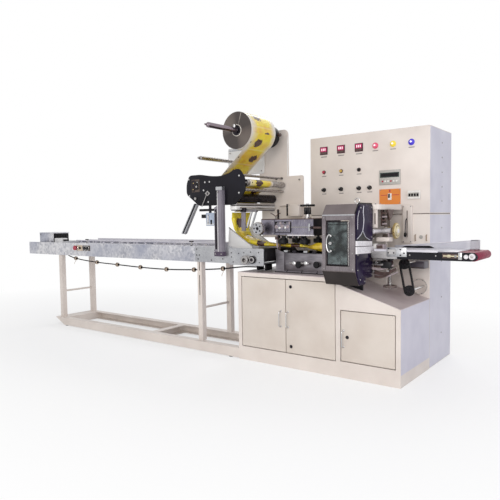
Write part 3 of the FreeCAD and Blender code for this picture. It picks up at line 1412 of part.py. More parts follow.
def stadium(name, first, second, span, radius):
    """A solid round two parallel axes along Y, given as (X, Z) expressions."""
    run, rise = "((%s) - (%s))" % (second[0], first[0]), "((%s) - (%s))" % (second[1], first[1])
    length = "sqrt(%s * %s + %s * %s)" % (run, run, rise, rise)
    ends = [
        rod(name + "_first", "Y", first, span, radius),
        rod(name + "_second", "Y", second, span, radius),
    ]
    middle = doc.addObject("Part::Box", name + "_middle")
    bind(middle, "Length", length)
    bind(middle, "Width", "(%s) - (%s)" % (span[1], span[0]))
    bind(middle, "Height", "2 * (%s)" % radius)
    middle.Placement.Rotation = FreeCAD.Rotation(FreeCAD.Vector(0, -1, 0), 90)
    bind(middle, "Placement.Rotation.Angle", "atan2(%s; %s)" % (rise, run))
    back = "(%s) * %s / %s" % (radius, rise, length)
    down = "(%s) * %s / %s" % (radius, run, length)
    place(middle, "(%s) + %s" % (first[0], back), span[0], "(%s) - %s" % (first[1], down))
    return fuse(name, middle, *ends)


def belt(name, first, second, span, radius, wall):
    outside = stadium(name + "_outside", first, second, span, radius)
    wider = ("(%s) - 1" % span[0], "(%s) + 1" % span[1])
    inside_loop = stadium(name + "_inside", first, second, wider, "(%s) - (%s)" % (radius, wall))
    return cut(name, outside, inside_loop)


tail, nose = ("tail_place", "belt_height"), ("nose_place", "belt_height")
belt_span = ("discharge_front + discharge_wall + 1", "discharge_rear - discharge_wall - 1")
node(belt("flat_belt", tail, nose, belt_span, "belt_radius", "belt_wall"), "discharge_belt")
high_pulley, low_pulley = ("drive_top_place", "drive_top_height"), ("drive_low_place", "drive_low_height")
drive_span = ("drive_depth - drive_width / 2", "drive_depth + drive_width / 2")
node(belt("drive_loop", high_pulley, low_pulley, drive_span, "drive_radius", "drive_wall"), "drive_belt")

between_plates = ("discharge_front + discharge_wall", "discharge_rear - discharge_wall")
turning = []
for name, at in (("tail", tail), ("nose", nose)):
    turning.append(rod(name + "_roller", "Y", at, between_plates, "belt_radius - belt_wall"))
for name, at, end in (("high", high_pulley, "motor_depth"), ("low", low_pulley, "cover_depth")):
    disc = rod(name + "_pulley", "Y", at, drive_span, "drive_radius - drive_wall")
    axle = rod(name + "_axle", "Y", at, (drive_span[1], "body_line - " + end), "stem_radius")
    turning.append(fuse(name + "_drive", disc, axle))
node(group("rollers_and_pulleys", *turning), "discharge_rollers")

for item in nodes:
    item.touch()
doc.recompute()

faults = [item.Name for item in doc.Objects if "Invalid" in item.State or "Error" in item.State]
for item in nodes:
    if item.Shape.isNull() or not item.Shape.isValid():
        faults.append(item.Label)
if faults:
    raise RuntimeError("failed objects: " + ", ".join(faults))

os.makedirs("parts", exist_ok=True)
for item in nodes:
    item.Shape.exportStep("parts/%s.step" % item.Label)
    print(item.Label, len(item.Shape.Solids), round(item.Shape.Volume / 1e6, 3))
print(len(nodes), "nodes")
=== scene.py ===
# %% [markdown]
# A pouch packing machine brings goods along a long conveyor, folds a printed film round them, seals the film
# and cuts it into pouches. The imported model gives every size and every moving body, so this lesson only adds
# what the eye wants: rounded sheet metal, rollers, printed film, lamps, screws and real finishes.

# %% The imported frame
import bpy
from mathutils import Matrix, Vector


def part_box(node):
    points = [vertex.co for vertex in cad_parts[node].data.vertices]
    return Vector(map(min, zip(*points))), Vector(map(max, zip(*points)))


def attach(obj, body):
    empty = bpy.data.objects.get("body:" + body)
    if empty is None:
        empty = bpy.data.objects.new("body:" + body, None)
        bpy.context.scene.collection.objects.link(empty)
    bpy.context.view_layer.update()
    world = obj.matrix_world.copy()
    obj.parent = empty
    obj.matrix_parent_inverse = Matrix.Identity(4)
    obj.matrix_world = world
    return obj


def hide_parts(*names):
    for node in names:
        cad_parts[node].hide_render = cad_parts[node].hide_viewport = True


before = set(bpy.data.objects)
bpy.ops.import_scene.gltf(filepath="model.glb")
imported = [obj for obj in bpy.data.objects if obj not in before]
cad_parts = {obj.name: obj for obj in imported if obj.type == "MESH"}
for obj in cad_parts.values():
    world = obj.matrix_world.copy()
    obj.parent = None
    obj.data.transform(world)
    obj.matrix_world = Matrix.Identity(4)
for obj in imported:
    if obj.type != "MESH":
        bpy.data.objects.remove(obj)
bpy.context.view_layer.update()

from itertools import product

import bmesh
import bpy
import numpy as np
from mathutils import Matrix, Vector

# %% [markdown]
# The camera stands a little right of the machine's end and looks back along it, so the long conveyor runs
# away to the left. Its turn is given as yaw, pitch and tilt, and the three axes follow from sines and
# cosines.

# %% Camera
EYE = (1.7459, -3.1831, 1.0122)
YAW, PITCH, TILT = np.radians([37.3314, -3.4141, -0.9227])
FOCAL_PIXELS, PICTURE_PIXELS, SENSOR = 524.23, 500.0, 36.0
ahead = np.array([-np.sin(YAW) * np.cos(PITCH), np.cos(YAW) * np.cos(PITCH), np.sin(PITCH)])
level = np.array([np.cos(YAW), np.sin(YAW), 0.0])
above = np.cross(level, ahead)
to_right = np.cos(TILT) * level + np.sin(TILT) * above
to_top = -np.sin(TILT) * level + np.cos(TILT) * above
camera = bpy.data.objects.new("photo_camera", bpy.data.cameras.new("photo_camera"))
bpy.context.scene.collection.objects.link(camera)
turn = Matrix([to_right, to_top, -ahead]).transposed().to_4x4()
camera.matrix_world = Matrix.Translation(EYE) @ turn
camera.data.sensor_width = SENSOR
camera.data.lens = FOCAL_PIXELS * SENSOR / PICTURE_PIXELS
camera.data.clip_end = 60.0
bpy.context.scene.camera = camera
bpy.context.scene.view_settings.view_transform = "Standard"
print("lens", round(camera.data.lens, 2), "mm")

# %% [markdown]
# A cable hangs in one long bow under the conveyor. A smooth NURBS spline through a few points is what a
# hanging cable looks like. Each point is where the cable passes, in metres, and has the cable's radius, so
# the bevel's own is 1.

# %% Hanging cable
CABLE_RADIUS = 0.005
ROUTE = np.array([
    (-3.0105, -0.080, 0.773), (-3.0105, -0.080, 0.728), (-2.9635, -0.080, 0.6739), (-2.7902, -0.080, 0.63925),
    (-2.4807, -0.080, 0.6172), (-2.1614, -0.080, 0.60775), (-1.8396, -0.080, 0.5958),
    (-1.5202, -0.080, 0.592), (-1.2009, -0.080, 0.604), (-0.889, -0.080, 0.626), (-0.691, -0.080, 0.65185),
    (-0.6068, -0.080, 0.655), (-0.535, -0.080, 0.655),
])
line = bpy.data.curves.new("hanging_cable_line", "CURVE")
line.dimensions = "3D"
spline = line.splines.new("NURBS")
spline.points.add(len(ROUTE) - 1)
spline.points.foreach_set("co", np.hstack([ROUTE, np.ones((len(ROUTE), 1))]).ravel())
spline.points.foreach_set("radius", np.full(len(ROUTE), CABLE_RADIUS))
spline.order_u = 3
spline.use_endpoint_u = True
spline.resolution_u = 6
line.bevel_depth = 1.0
line.bevel_resolution = 3
cable = bpy.data.objects.new("conveyor_cable", line)
bpy.context.scene.collection.objects.link(cable)
print("cable runs add up to", round(float(np.linalg.norm(np.diff(ROUTE, axis=0), axis=1).sum()), 3), "m")

# %% [markdown]
# Nearly every part here is one of four shapes, each a grid of points worked out at once: a plate or block is
# an outline carried along an axis, with its ends drawn in a little so that the edges are round; a turned part
# is a profile swept round an axis; a bar or wire is a circle carried along a path; and a film is a single
# sheet over a grid. Lengths are millimetres up to the last step, because that is how a workshop drawing gives
# them.

# %% Grids and outlines
def skin(grid, closed=True, ends=True):
    """Joins a grid of points (rows, columns, 3) with quads. A closed row is a ring; ends caps the first and
    last."""
    rows, columns = grid.shape[:2]
    index = np.arange(rows * columns).reshape(rows, columns)
    following = np.roll(index, -1, axis=1)
    last = columns if closed else columns - 1
    quads = np.stack([index[:-1], following[:-1], following[1:], index[1:]], axis=-1)[:, :last].reshape(-1, 4)
    faces = quads.tolist()
    if ends:
        faces += [index[0][::-1].tolist(), index[-1].tolist()]
    return grid.reshape(-1, 3), faces


def corner_curves(before, corner, after, radius, steps):
    """Each corner P becomes (1-t)^2 A + 2t(1-t) P + t^2 B, where A and B lie a radius away on its two sides,
    or less than half a side where that is short."""
    back, on = before - corner, after - corner
    back_length, on_length = [np.linalg.norm(v, axis=1, keepdims=True) for v in (back, on)]
    reach = np.minimum(np.asarray(radius, float).reshape(-1, 1), 0.48 * np.minimum(back_length, on_length))
    a, b = corner + back / back_length * reach, corner + on / on_length * reach
    t = np.linspace(0, 1, steps + 1)[None, :, None]
    curve = (1 - t) ** 2 * a[:, None] + 2 * t * (1 - t) * corner[:, None] + t ** 2 * b[:, None]
    return curve.reshape(-1, corner.shape[1])


def rounded(corners, radius, steps=4):
    """A closed outline with every corner turned into a curve; the radius is one number or one for each
    corner."""
    p = np.asarray(corners, float)
    return corner_curves(np.roll(p, 1, axis=0), p, np.roll(p, -1, axis=0), radius, steps)


def bow(points, radius):
    """An open path, for bent bars: its inner corners are curves and its two ends stay."""
    p = np.asarray(points, float)
    return np.vstack([p[:1], corner_curves(p[:-2], p[1:-1], p[2:], radius, steps=5), p[-1:]])


def drawn_in(outline, amount):
    """Moves each point of an outline inwards by the amount, along the sum of its two sides' normals. A side
    gets shorter by the amount times the difference of those sums along it, and the amount stops before one is
    used up."""
    side = np.roll(outline, -1, axis=0) - outline
    length = np.maximum(np.linalg.norm(side, axis=1), 1e-9)
    side = side / length[:, None]
    normal = np.stack([-side[:, 1], side[:, 0]], axis=1)
    before = np.roll(normal, 1, axis=0)
    joined = (normal + before) / np.maximum(1 + (normal * before).sum(axis=1, keepdims=True), 0.3)
    x, y = outline.T
    area = 0.5 * (x * np.roll(y, -1) - np.roll(x, -1) * y).sum()
    joined = joined * np.sign(area)
    shorter = -((np.roll(joined, -1, axis=0) - joined) * side).sum(axis=1)
    room = np.where((shorter > 1e-6) & (length > 1e-6), length / np.maximum(shorter, 1e-6), np.inf)
    return outline + joined * min(amount, 0.9 * room.min())


def polar(centre, radius, a):
    """Points round a centre: centre + radius (cos a, sin a). The radius may change with the angle."""
    return np.stack([centre[0] + radius * np.cos(a), centre[1] + radius * np.sin(a)], axis=-1)


def on_axis(axis, first, second, along):
    """Puts two outline coordinates and a distance along an axis in X, Y, Z order."""
    first, second, along = np.broadcast_arrays(first, second, along)
    order = {"X": (along, first, second), "Y": (first, along, second), "Z": (first, second, along)}[axis]
    return np.stack(order, axis=-1)


print("a rounded square has", len(rounded([(0, 0), (9, 0), (9, 9), (0, 9)], 2)), "points")

# %% [markdown]
# With a grid and an outline each kind of part takes a few lines. An edge radius above 2 mm gets three steps,
# a smaller one a single chamfer, because nobody sees more of it.

# %% Plates, turned parts and wires
def plate(axis, outline, low, high, edge=1.0):
    """An outline carried along an axis from low to high. Near each end it is drawn in by edge (1 - sin a)
    while it moves edge (1 - cos a), so the edge is a quarter round."""
    outline = np.asarray(outline, float)
    a = np.radians([0, 30, 60, 90]) if edge > 2 else np.radians([0, 90])
    pulled, along = edge * (1 - np.sin(a)), edge * (1 - np.cos(a))
    rings = np.array([drawn_in(outline, d) for d in (*pulled, *pulled[::-1])])
    along = np.concatenate([low + along, high - along[::-1]])
    return skin(on_axis(axis, rings[..., 0], rings[..., 1], along[:, None]))


def rectangle(u, v, radius, steps=3):
    """The outline of a rectangle between two pairs of limits, its corners rounded."""
    corners = [(u[0], v[0]), (u[1], v[0]), (u[1], v[1]), (u[0], v[1])]
    return rounded(corners, radius, steps)


def block(x, y, z, edge=1.5):
    """A block between three pairs of limits, all its edges round."""
    return plate("Y", rectangle(x, z, edge), y[0], y[1], edge)


def turned(axis, at, profile, count):
    """A profile of (radius, distance along) pairs swept round an axis through at: radius cos a, radius sin
    a."""
    profile = np.asarray(profile, float)
    rings = polar(at, profile[:, :1], np.linspace(0, 2 * np.pi, count, endpoint=False))
    return skin(on_axis(axis, rings[..., 0], rings[..., 1], profile[:, 1:]))


def hollow(axis, at, profile, count):
    """A closed profile swept round an axis: its first point comes again at the end, and nothing is capped."""
    points, faces = turned(axis, at, [*profile, profile[0]], count)
    return points, faces[:-2]


def bar(axis, at, low, high, radius, edge, count):
    """A round bar with its two ends chamfered. With a count of 6 it is a bolt's head or a nut."""
    profile = [(radius - edge, low), (radius, low + edge), (radius, high - edge), (radius - edge, high)]
    return turned(axis, at, profile, count)


def pipe(axis, at, low, high, outer, inner, count=40):
    """A tube: the profile runs along the outside, round the end and back along the bore."""
    e = min(1.0, 0.3 * (outer - inner))
    profile = [(outer - e, low), (outer, low + e), (outer, high - e), (outer - e, high), (inner, high),
               (inner, low)]
    return hollow(axis, at, profile, count)


def wire(path, radius, across, count):
    """A circle carried along a path that lies in a plane: across is the plane's normal, and the other
    direction of the circle is across x tangent."""
    path = np.asarray(path, float)
    tangent = np.gradient(path, axis=0)
    tangent /= np.linalg.norm(tangent, axis=1, keepdims=True)
    across = np.asarray(across, float) / np.linalg.norm(across)
    other = np.cross(across, tangent)
    a = np.linspace(0, 2 * np.pi, count, endpoint=False)[None, :, None]
    return skin(path[:, None] + radius * (np.cos(a) * other[:, None] + np.sin(a) * across))


def ringed(axis, inside, edge, outside, low, high):
    """A hollow body between two outlines. The third, a little inside the outer one, is where its 1 mm edges
    start."""
    rings = np.array([inside, edge, outside, outside, edge, inside, inside])
    along = np.array([low, low, low + 1, high - 1, high, high, low])[:, None]
    return skin(on_axis(axis, rings[..., 0], rings[..., 1], along), ends=False)


print("a 10 mm block has", len(block((0, 10), (0, 10), (0, 10))[1]), "faces")

# %% [markdown]
# A finished piece is one object. Its shapes are joined, each keeps its own finish, the faces are turned
# outwards, and edges sharper than 35 degrees stay crisp while the rest is smooth. A cap with many corners is
# flat, so it isn't smoothed either.

# %% From shapes to a piece
SMOOTH_BELOW = np.radians(35)


def piece(name, shapes, stands_for=None, body="machine", uv=None):
    """Joins (shape, finish) pairs into one object in metres: each shape's face numbers start after the points
    of the shapes before it."""
    points, faces, finishes, chosen, start = [], [], [], [], 0
    for (shape_points, shape_faces), finish in shapes:
        points.append(np.asarray(shape_points, float))
        faces += [[k + start for k in face] for face in shape_faces]
        if finish not in finishes:
            finishes.append(finish)
        chosen += [finishes.index(finish)] * len(shape_faces)
        start += len(shape_points)
    mesh = bpy.data.meshes.new(name)
    mesh.from_pydata((np.vstack(points) * 0.001).tolist(), [], faces)
    mesh.polygons.foreach_set("material_index", chosen)
    for finish in finishes:
        mesh.materials.append(finish)
    if uv is None:
        whole = bmesh.new()
        whole.from_mesh(mesh)
        bmesh.ops.recalc_face_normals(whole, faces=whole.faces)
        whole.to_mesh(mesh)
        whole.free()
    else:
        layer = mesh.uv_layers.new(name="film")
        loops = np.zeros(len(mesh.loops), np.int32)
        mesh.loops.foreach_get("vertex_index", loops)
        layer.data.foreach_set("uv", (uv.reshape(-1, 2)[loops]).ravel())
    corners = np.zeros(len(mesh.polygons), np.int32)
    mesh.polygons.foreach_get("loop_total", corners)
    mesh.polygons.foreach_set("use_smooth", corners <= 4)
    mesh.set_sharp_from_angle(angle=SMOOTH_BELOW)
    item = bpy.data.objects.new(name, mesh)
    bpy.context.scene.collection.objects.link(item)
    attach(item, body)
    if stands_for:
        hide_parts(stands_for)
    print(name, "on", body, "has", len(faces), "faces in", len(finishes), "finishes")
    return item


# %% [markdown]
# Most parts come in rows: screws of one kind, blocks of one finish, panels with a shadow line. These helpers
# hand back lists of (shape, finish) pairs, and the rows themselves stay readable as tables.

# %% Rows of parts
def inset(span, amount):
    """Moves both limits of a span inwards by the amount."""
    return span[0] + amount, span[1] - amount


def blocks(finish, *rows):
    """Blocks of one finish. A row is low and high in X, in Y and in Z, and then the edge radius."""
    return [(block(row[:2], row[2:4], row[4:6], row[6]), finish) for row in rows]


def bars(finish, axis, low, high, radius, edge, count, *spots):
    """The same round bar at several spots."""
    return [(bar(axis, spot, low, high, radius, edge, count), finish) for spot in spots]


def knobs(finish, face, profile, count, *spots):
    """The same turned part at several spots of a face, standing out towards the operator: its profile is
    pairs of radius and distance in front of the face."""
    turned_profile = [(radius, face - out) for radius, out in profile]
    return [(turned("Y", spot, turned_profile, count), finish) for spot in spots]


def panel(finish, axis, u, v, radius, low, high, edge):
    """A rectangular plate with rounded corners."""
    return plate(axis, rectangle(u, v, radius), low, high, edge), finish


def shadowed(finish, axis, u, v, radius, sheet, shadow, edge, wider=2):
    """A panel, and the painted shadow line round it: a thin dark plate 3 mm larger on each side."""
    return [panel(shade_coat, axis, inset(u, -3), inset(v, -3), radius + wider, *shadow, 0.3),
            panel(finish, axis, u, v, radius, *sheet, edge)]


def on_circle(at, radius, count, start=0.0):
    """Spots round a centre, in equal steps from the angle start."""
    return [tuple(spot) for spot in polar(at, radius, start + np.arange(count) * 2 * np.pi / count)]


def limits(name):
    """A part's low and high in X, Y and Z, in millimetres: metres x 1000."""
    low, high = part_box(name)
    return [(low[k] * 1000, high[k] * 1000) for k in range(3)]


print("the machine's base runs from", [round(v) for v in limits("base_frame")[0]], "mm")

# %% [markdown]
# A finish starts from what the surface really is. Colours are written as the hex codes that a colour card
# gives and turned to linear light by one function, and one small function adds a node with its settings and
# links.

# %% Colour and nodes
def linear(code):
    """sRGB hex code to linear RGBA: below 0.04045 divide by 12.92, above it ((c + 0.055) / 1.055) ^ 2.4."""
    c = np.array([int(code[i:i + 2], 16) for i in (1, 3, 5)]) / 255
    return tuple(np.where(c <= 0.04045, c / 12.92, ((c + 0.055) / 1.055) ** 2.4)) + (1.0,)


def add(tree, kind, given=(), out=0, **settings):
    """Adds one node with its settings, links or fills the inputs it is given, and hands back one of its
    outputs."""
    item = tree.nodes.new("ShaderNode" + kind)
    for key, setting in settings.items():
        setattr(item, key, setting)
    for key, value in dict(given).items():
        if isinstance(value, bpy.types.NodeSocket):
            tree.links.new(value, item.inputs[key])
        else:
            item.inputs[key].default_value = value
    return item.outputs[out] if item.outputs else item


def new_finish(name):
    """An empty finish, its node tree, and the place on the object in metres, which every pattern is drawn
    from."""
    finish = bpy.data.materials.new(name)
    finish.use_nodes = True
    finish.node_tree.nodes.clear()
    return finish, finish.node_tree, add(finish.node_tree, "TexCoord", out="Object")


print("cream in linear light", [round(float(c), 3) for c in linear("#DDD5CC")])

# %% [markdown]
# Powder coat is sprayed dry and baked, so it has a soft gloss and a fine orange-peel. The ripple is really
# about 2 mm wide; it is drawn at 6 mm, because a finer one wouldn't show from across a room. Handling leaves
# faint darker clouds, a hand's width across. A dark coat gets a lower specular level, because it would look
# grey in a white room.

# %% Powder coats
PEEL = 0.006


def powder_coat(name, code, cloud, roughness=0.42, gloss=0.5):
    """The colour goes over to the cloud's as a soft noise goes from 0.35 to 0.75, and the roughness rises
    with it. A finer noise, one ripple per peel width, lifts the surface."""
    finish, tree, where = new_finish(name)
    clouds = add(tree, "TexNoise", {"Vector": where, "Scale": 5.0, "Detail": 4.0})
    handled = add(tree, "MapRange", {0: clouds, 1: 0.35, 2: 0.75})
    tone = add(tree, "Mix", {0: handled, 6: linear(code), 7: linear(cloud)}, 2, data_type="RGBA")
    rough = add(tree, "MapRange", {0: clouds, 1: 0.3, 2: 0.8, 3: roughness - 0.05, 4: roughness + 0.1})
    peel = add(tree, "TexNoise", {"Vector": where, "Scale": 1 / PEEL, "Detail": 1.0})
    bump = add(tree, "Bump", {"Height": peel, "Strength": 0.08, "Distance": 0.0006})
    shader = add(tree, "BsdfPrincipled", {"Base Color": tone, "Roughness": rough, "Normal": bump,
                                          "Specular IOR Level": gloss})
    add(tree, "OutputMaterial", {"Surface": shader})
    return finish


cream_coat = powder_coat("cream_powder_coat", "#DCD3CB", "#D0C6BE")
door_coat = powder_coat("cream_door_powder_coat", "#D3CAC0", "#C8BDB2")
# Painted shade: the lilac-grey side coat is the cream coat as it looks on a side turned from the warm light.
shaded_side_coat = powder_coat("cream_coat_painted_lilac_as_side_shade", "#C9C7D2", "#BEBCC9")
deck_coat = powder_coat("cream_deck_powder_coat", "#CFC4C2", "#B7A8AA", 0.35)
white_coat = powder_coat("white_instrument_powder_coat", "#E3E2DF", "#D3D3D4", 0.3)
orange_coat = powder_coat("orange_switch_plate_powder_coat", "#D9822F", "#CC7526", 0.4)
hood_coat = powder_coat("bronze_grey_guard_powder_coat", "#766C6C", "#5B5252", 0.32, 0.35)
# Painted shade: the guard's lower slope faces down, so its bronze-grey coat is painted darker.
shaded_slope_coat = powder_coat("bronze_guard_coat_darkened_as_shade", "#332D2C", "#262120", 0.4, 0.18)
black_coat = powder_coat("black_gloss_powder_coat", "#131217", "#1D1C24", 0.3, 0.16)
violet_gloss = powder_coat("dark_violet_gloss_coat", "#1A1228", "#2C2142", 0.2, 0.13)
# The drive box's dark violet-grey is painted shade under the deck; the same coat also makes two thin dark
# strips.
violet_grey_and_shade = powder_coat("violet_grey_coat_and_painted_shade", "#57525C", "#47424C", 0.35)
lilac_coat = powder_coat("lilac_grey_post_powder_coat", "#837E87", "#6C6770", 0.35)
rail_coat = powder_coat("light_zinc_rail_coat", "#D6D4D9", "#B6B5C0", 0.35)
# shade_coat is painted shade: thin dark sheets in gaps, slots, holes and under lips, where there is only
# shade. It also colours the conveyor's dark switch plate.
shade_coat = powder_coat("painted_shade_dark_paint", "#574A42", "#483C36", 0.6)

# %% [markdown]
# Sheet steel shows how it was made. Brushed steel has long scratches in one direction, 6 mm apart here so
# that they show; galvanised sheet has zinc flowers about 20 mm across and larger grey stains from weather and
# handling; turned and chromed parts are nearly clean, and only their roughness varies.

# %% Metals
FLOWER = 0.02


def brushed_steel(name, code, dark, stretch=(6.0, 160.0, 160.0), roughness=0.32):
    """Scratches are noise stretched along one axis: the stretch is how many fit in a metre each way. The sum
    of scratches and clouds is how far the colour goes over to the dark one."""
    finish, tree, where = new_finish(name)
    lines = add(tree, "Mapping", {"Vector": where, "Scale": stretch})
    scratches = add(tree, "TexNoise", {"Vector": lines, "Scale": 3.0, "Detail": 3.0})
    clouds = add(tree, "TexNoise", {"Vector": where, "Scale": 9.0, "Detail": 3.0})
    both = add(tree, "Math", {0: scratches, 1: clouds}, operation="ADD")
    worn = add(tree, "MapRange", {0: both, 1: 0.7, 2: 1.3})
    tone = add(tree, "Mix", {0: worn, 6: linear(code), 7: linear(dark)}, 2, data_type="RGBA")
    rough = add(tree, "MapRange", {0: scratches, 1: 0.3, 2: 0.7, 3: roughness - 0.08, 4: roughness + 0.1})
    bump = add(tree, "Bump", {"Height": scratches, "Strength": 0.06, "Distance": 0.0004})
    shader = add(tree, "BsdfPrincipled", {"Base Color": tone, "Roughness": rough, "Normal": bump,
                                          "Metallic": 0.9})
    add(tree, "OutputMaterial", {"Surface": shader})
    return finish


def galvanised_sheet(name, code, dark, stain):
    """Each cell of a Voronoi pattern, a flower wide, has its own grey; grey plus clouds mixes the two zinc
    tones, and where a coarse noise passes 0.47 the stain comes through, up to 0.7 of it."""
    finish, tree, where = new_finish(name)
    cells = add(tree, "TexVoronoi", {"Vector": where, "Scale": 1 / FLOWER}, "Color")
    grey = add(tree, "RGBToBW", {"Color": cells})
    clouds = add(tree, "TexNoise", {"Vector": where, "Scale": 6.0, "Detail": 4.0})
    both = add(tree, "Math", {0: grey, 1: clouds}, operation="ADD")
    flowers = add(tree, "MapRange", {0: both, 1: 0.45, 2: 1.3})
    tone = add(tree, "Mix", {0: flowers, 6: linear(dark), 7: linear(code)}, 2, data_type="RGBA")
    patches = add(tree, "TexNoise", {"Vector": where, "Scale": 2.6, "Detail": 5.0})
    stained = add(tree, "MapRange", {0: patches, 1: 0.47, 2: 0.66, 4: 0.7})
    tone = add(tree, "Mix", {0: stained, 6: tone, 7: linear(stain)}, 2, data_type="RGBA")
    rough = add(tree, "MapRange", {0: grey, 1: 0.2, 2: 0.8, 3: 0.28, 4: 0.5})
    shader = add(tree, "BsdfPrincipled", {"Base Color": tone, "Roughness": rough, "Metallic": 0.7})
    add(tree, "OutputMaterial", {"Surface": shader})
    return finish


def plated(name, code, roughness):
    """One clean metal colour whose roughness wanders between 0.7 and 1.4 times the given one."""
    finish, tree, where = new_finish(name)
    wear = add(tree, "TexNoise", {"Vector": where, "Scale": 60.0, "Detail": 2.0})
    rough = add(tree, "MapRange", {0: wear, 1: 0.3, 2: 0.7, 3: roughness * 0.7, 4: roughness * 1.4})
    shader = add(tree, "BsdfPrincipled", {"Base Color": linear(code), "Roughness": rough, "Metallic": 1.0})
    add(tree, "OutputMaterial", {"Surface": shader})
    return finish


cast_grey = brushed_steel("grey_cast_iron", "#8C8A8B", "#6C6A6C", (30.0, 30.0, 30.0), 0.5)
zinc_sheet = galvanised_sheet("galvanised_steel_sheet", "#DCDBDD", "#A3A4AC", "#8D92A6")
stainless = brushed_steel("brushed_stainless_steel", "#C6C4C3", "#9A989B")
bench_steel = brushed_steel("ground_bench_steel", "#979398", "#6A666B", (6.0, 120.0, 120.0), 0.38)
head_steel = brushed_steel("lilac_grey_ground_steel", "#9B97A3", "#726E7B", (40.0, 40.0, 8.0), 0.3)
guard_steel = brushed_steel("brushed_guard_steel", "#979093", "#675F63", (160.0, 160.0, 6.0), 0.3)
alloy = brushed_steel("cast_aluminium", "#BFC0C2", "#A1A2A7", (30.0, 30.0, 30.0), 0.4)
chrome = plated("chrome_plate", "#C9C8C8", 0.09)
worn_chrome = plated("worn_chrome_shaft", "#8B8087", 0.14)
turned_steel = plated("turned_steel", "#A7A4A3", 0.24)
# Besides dark steel parts, this finish paints the shadow in the crossbeam's gap.
dark_steel_and_shade = plated("oiled_dark_steel_and_painted_shade", "#343136", 0.3)
brass = plated("machined_brass", "#BBA778", 0.3)
cream_brass = plated("pale_lacquered_brass", "#DAD1B4", 0.35)

# %% [markdown]
# Moulded plastics and rubber are dull where they are gripped. A clean gloss moulding has an IOR near 1.5;
# rubber scatters light and keeps a dusty look. All get a faint unevenness so that they don't look like one
# flat colour. Lamps and digits glow a little, and black ones get a low specular level, as the dark coats do.

# %% Plastics, rubber and paper
def moulded(name, code, roughness, tint, light=0.0, gloss=0.5):
    """A fine grain mixes the colour with its tint and moves the roughness by 15% either way; light is its own
    glow."""
    finish, tree, where = new_finish(name)
    grain = add(tree, "TexNoise", {"Vector": where, "Scale": 90.0, "Detail": 2.0})
    uneven = add(tree, "MapRange", {0: grain, 1: 0.35, 2: 0.7})
    tone = add(tree, "Mix", {0: uneven, 6: linear(code), 7: linear(tint)}, 2, data_type="RGBA")
    rough = add(tree, "MapRange", {0: grain, 1: 0.3, 2: 0.7, 3: roughness * 0.85, 4: roughness * 1.15})
    shader = add(tree, "BsdfPrincipled", {"Base Color": tone, "Roughness": rough,
                                          "Emission Color": linear(code), "Emission Strength": light,
                                          "Specular IOR Level": gloss})
    add(tree, "OutputMaterial", {"Surface": shader})
    return finish


black_plastic = moulded("black_abs", "#171618", 0.4, "#212023", gloss=0.18)
black_gloss = moulded("black_bakelite", "#0D0C0F", 0.2, "#19181C", gloss=0.22)
belt_rubber = moulded("black_rubber", "#141315", 0.6, "#201E21", gloss=0.15)
grey_plastic = moulded("grey_abs", "#B3B1AB", 0.4, "#A3A19B")
label_grey = moulded("grey_engraving_laminate", "#8F8A86", 0.5, "#7E7975")
white_plastic = moulded("white_abs", "#E6E4DF", 0.35, "#D8D6D1")
red_plastic = moulded("red_polycarbonate", "#B22C44", 0.2, "#942237")
yellow_plastic = moulded("yellow_polycarbonate", "#C7A34A", 0.2, "#B28E3A")
led_red = moulded("red_led_window", "#B4305C", 0.15, "#8C2049", 0.25)
led_digit = moulded("pink_white_led_digit", "#F8DDE6", 0.2, "#F2CCD8", 0.3)
maroon_frame = moulded("maroon_controller_frame", "#45142A", 0.25, "#330F20", gloss=0.3)
lens_red = moulded("pink_red_lamp_lens", "#D8607A", 0.15, "#CC4A66", 0.1)
lens_yellow = moulded("yellow_lamp_lens", "#E6D046", 0.15, "#DCC238", 0.12)
lens_blue = moulded("blue_violet_lamp_lens", "#4334BC", 0.15, "#3428A6", 0.3)
lens_core = moulded("white_lamp_core", "#EFE6F2", 0.15, "#FBF8FF", 0.25)
lcd_green = moulded("grey_green_lcd", "#3E4C47", 0.15, "#303C38", gloss=0.3)
maroon_belt = moulded("crimson_pvc_belt", "#8A1A3E", 0.5, "#701531", gloss=0.2)
core_paper = moulded("pressed_paper_core", "#E6E1D8", 0.8, "#D6CFC2")
beige_tie = moulded("beige_nylon", "#CBBBA6", 0.45, "#B5A38C")
amber_plastic = moulded("amber_handle_plastic", "#94795A", 0.3, "#7D6448")
brown_plastic = moulded("brown_bakelite", "#5E4C48", 0.3, "#4A3A37", gloss=0.3)
worn_bakelite = moulded("worn_brown_bakelite", "#6C605B", 0.35, "#564B47", gloss=0.3)
plum_plastic = moulded("plum_clamp_plastic", "#54485A", 0.4, "#463C4C", gloss=0.3)
sensor_blue = moulded("grey_blue_sensor_plastic", "#AAB5C6", 0.3, "#98A4B7")
umber_casting = moulded("umber_casting", "#54423F", 0.4, "#382B2A", gloss=0.25)
rose_casting = moulded("rose_grey_casting", "#A4979A", 0.35, "#8B7F82")
# Painted reflection: ground steel drawn as a near-white plastic, so that its bright reflection is in the
# colour.
steel_painted_bright = moulded("ground_steel_painted_white_as_reflection", "#E4E1E3", 0.2, "#CFCBCE")

# %% [markdown]
# Acrylic lets part of the light through and tints it. The guard's window is smoked and dirty, so its tint is
# uneven; the cover strip over the belt is frosted.

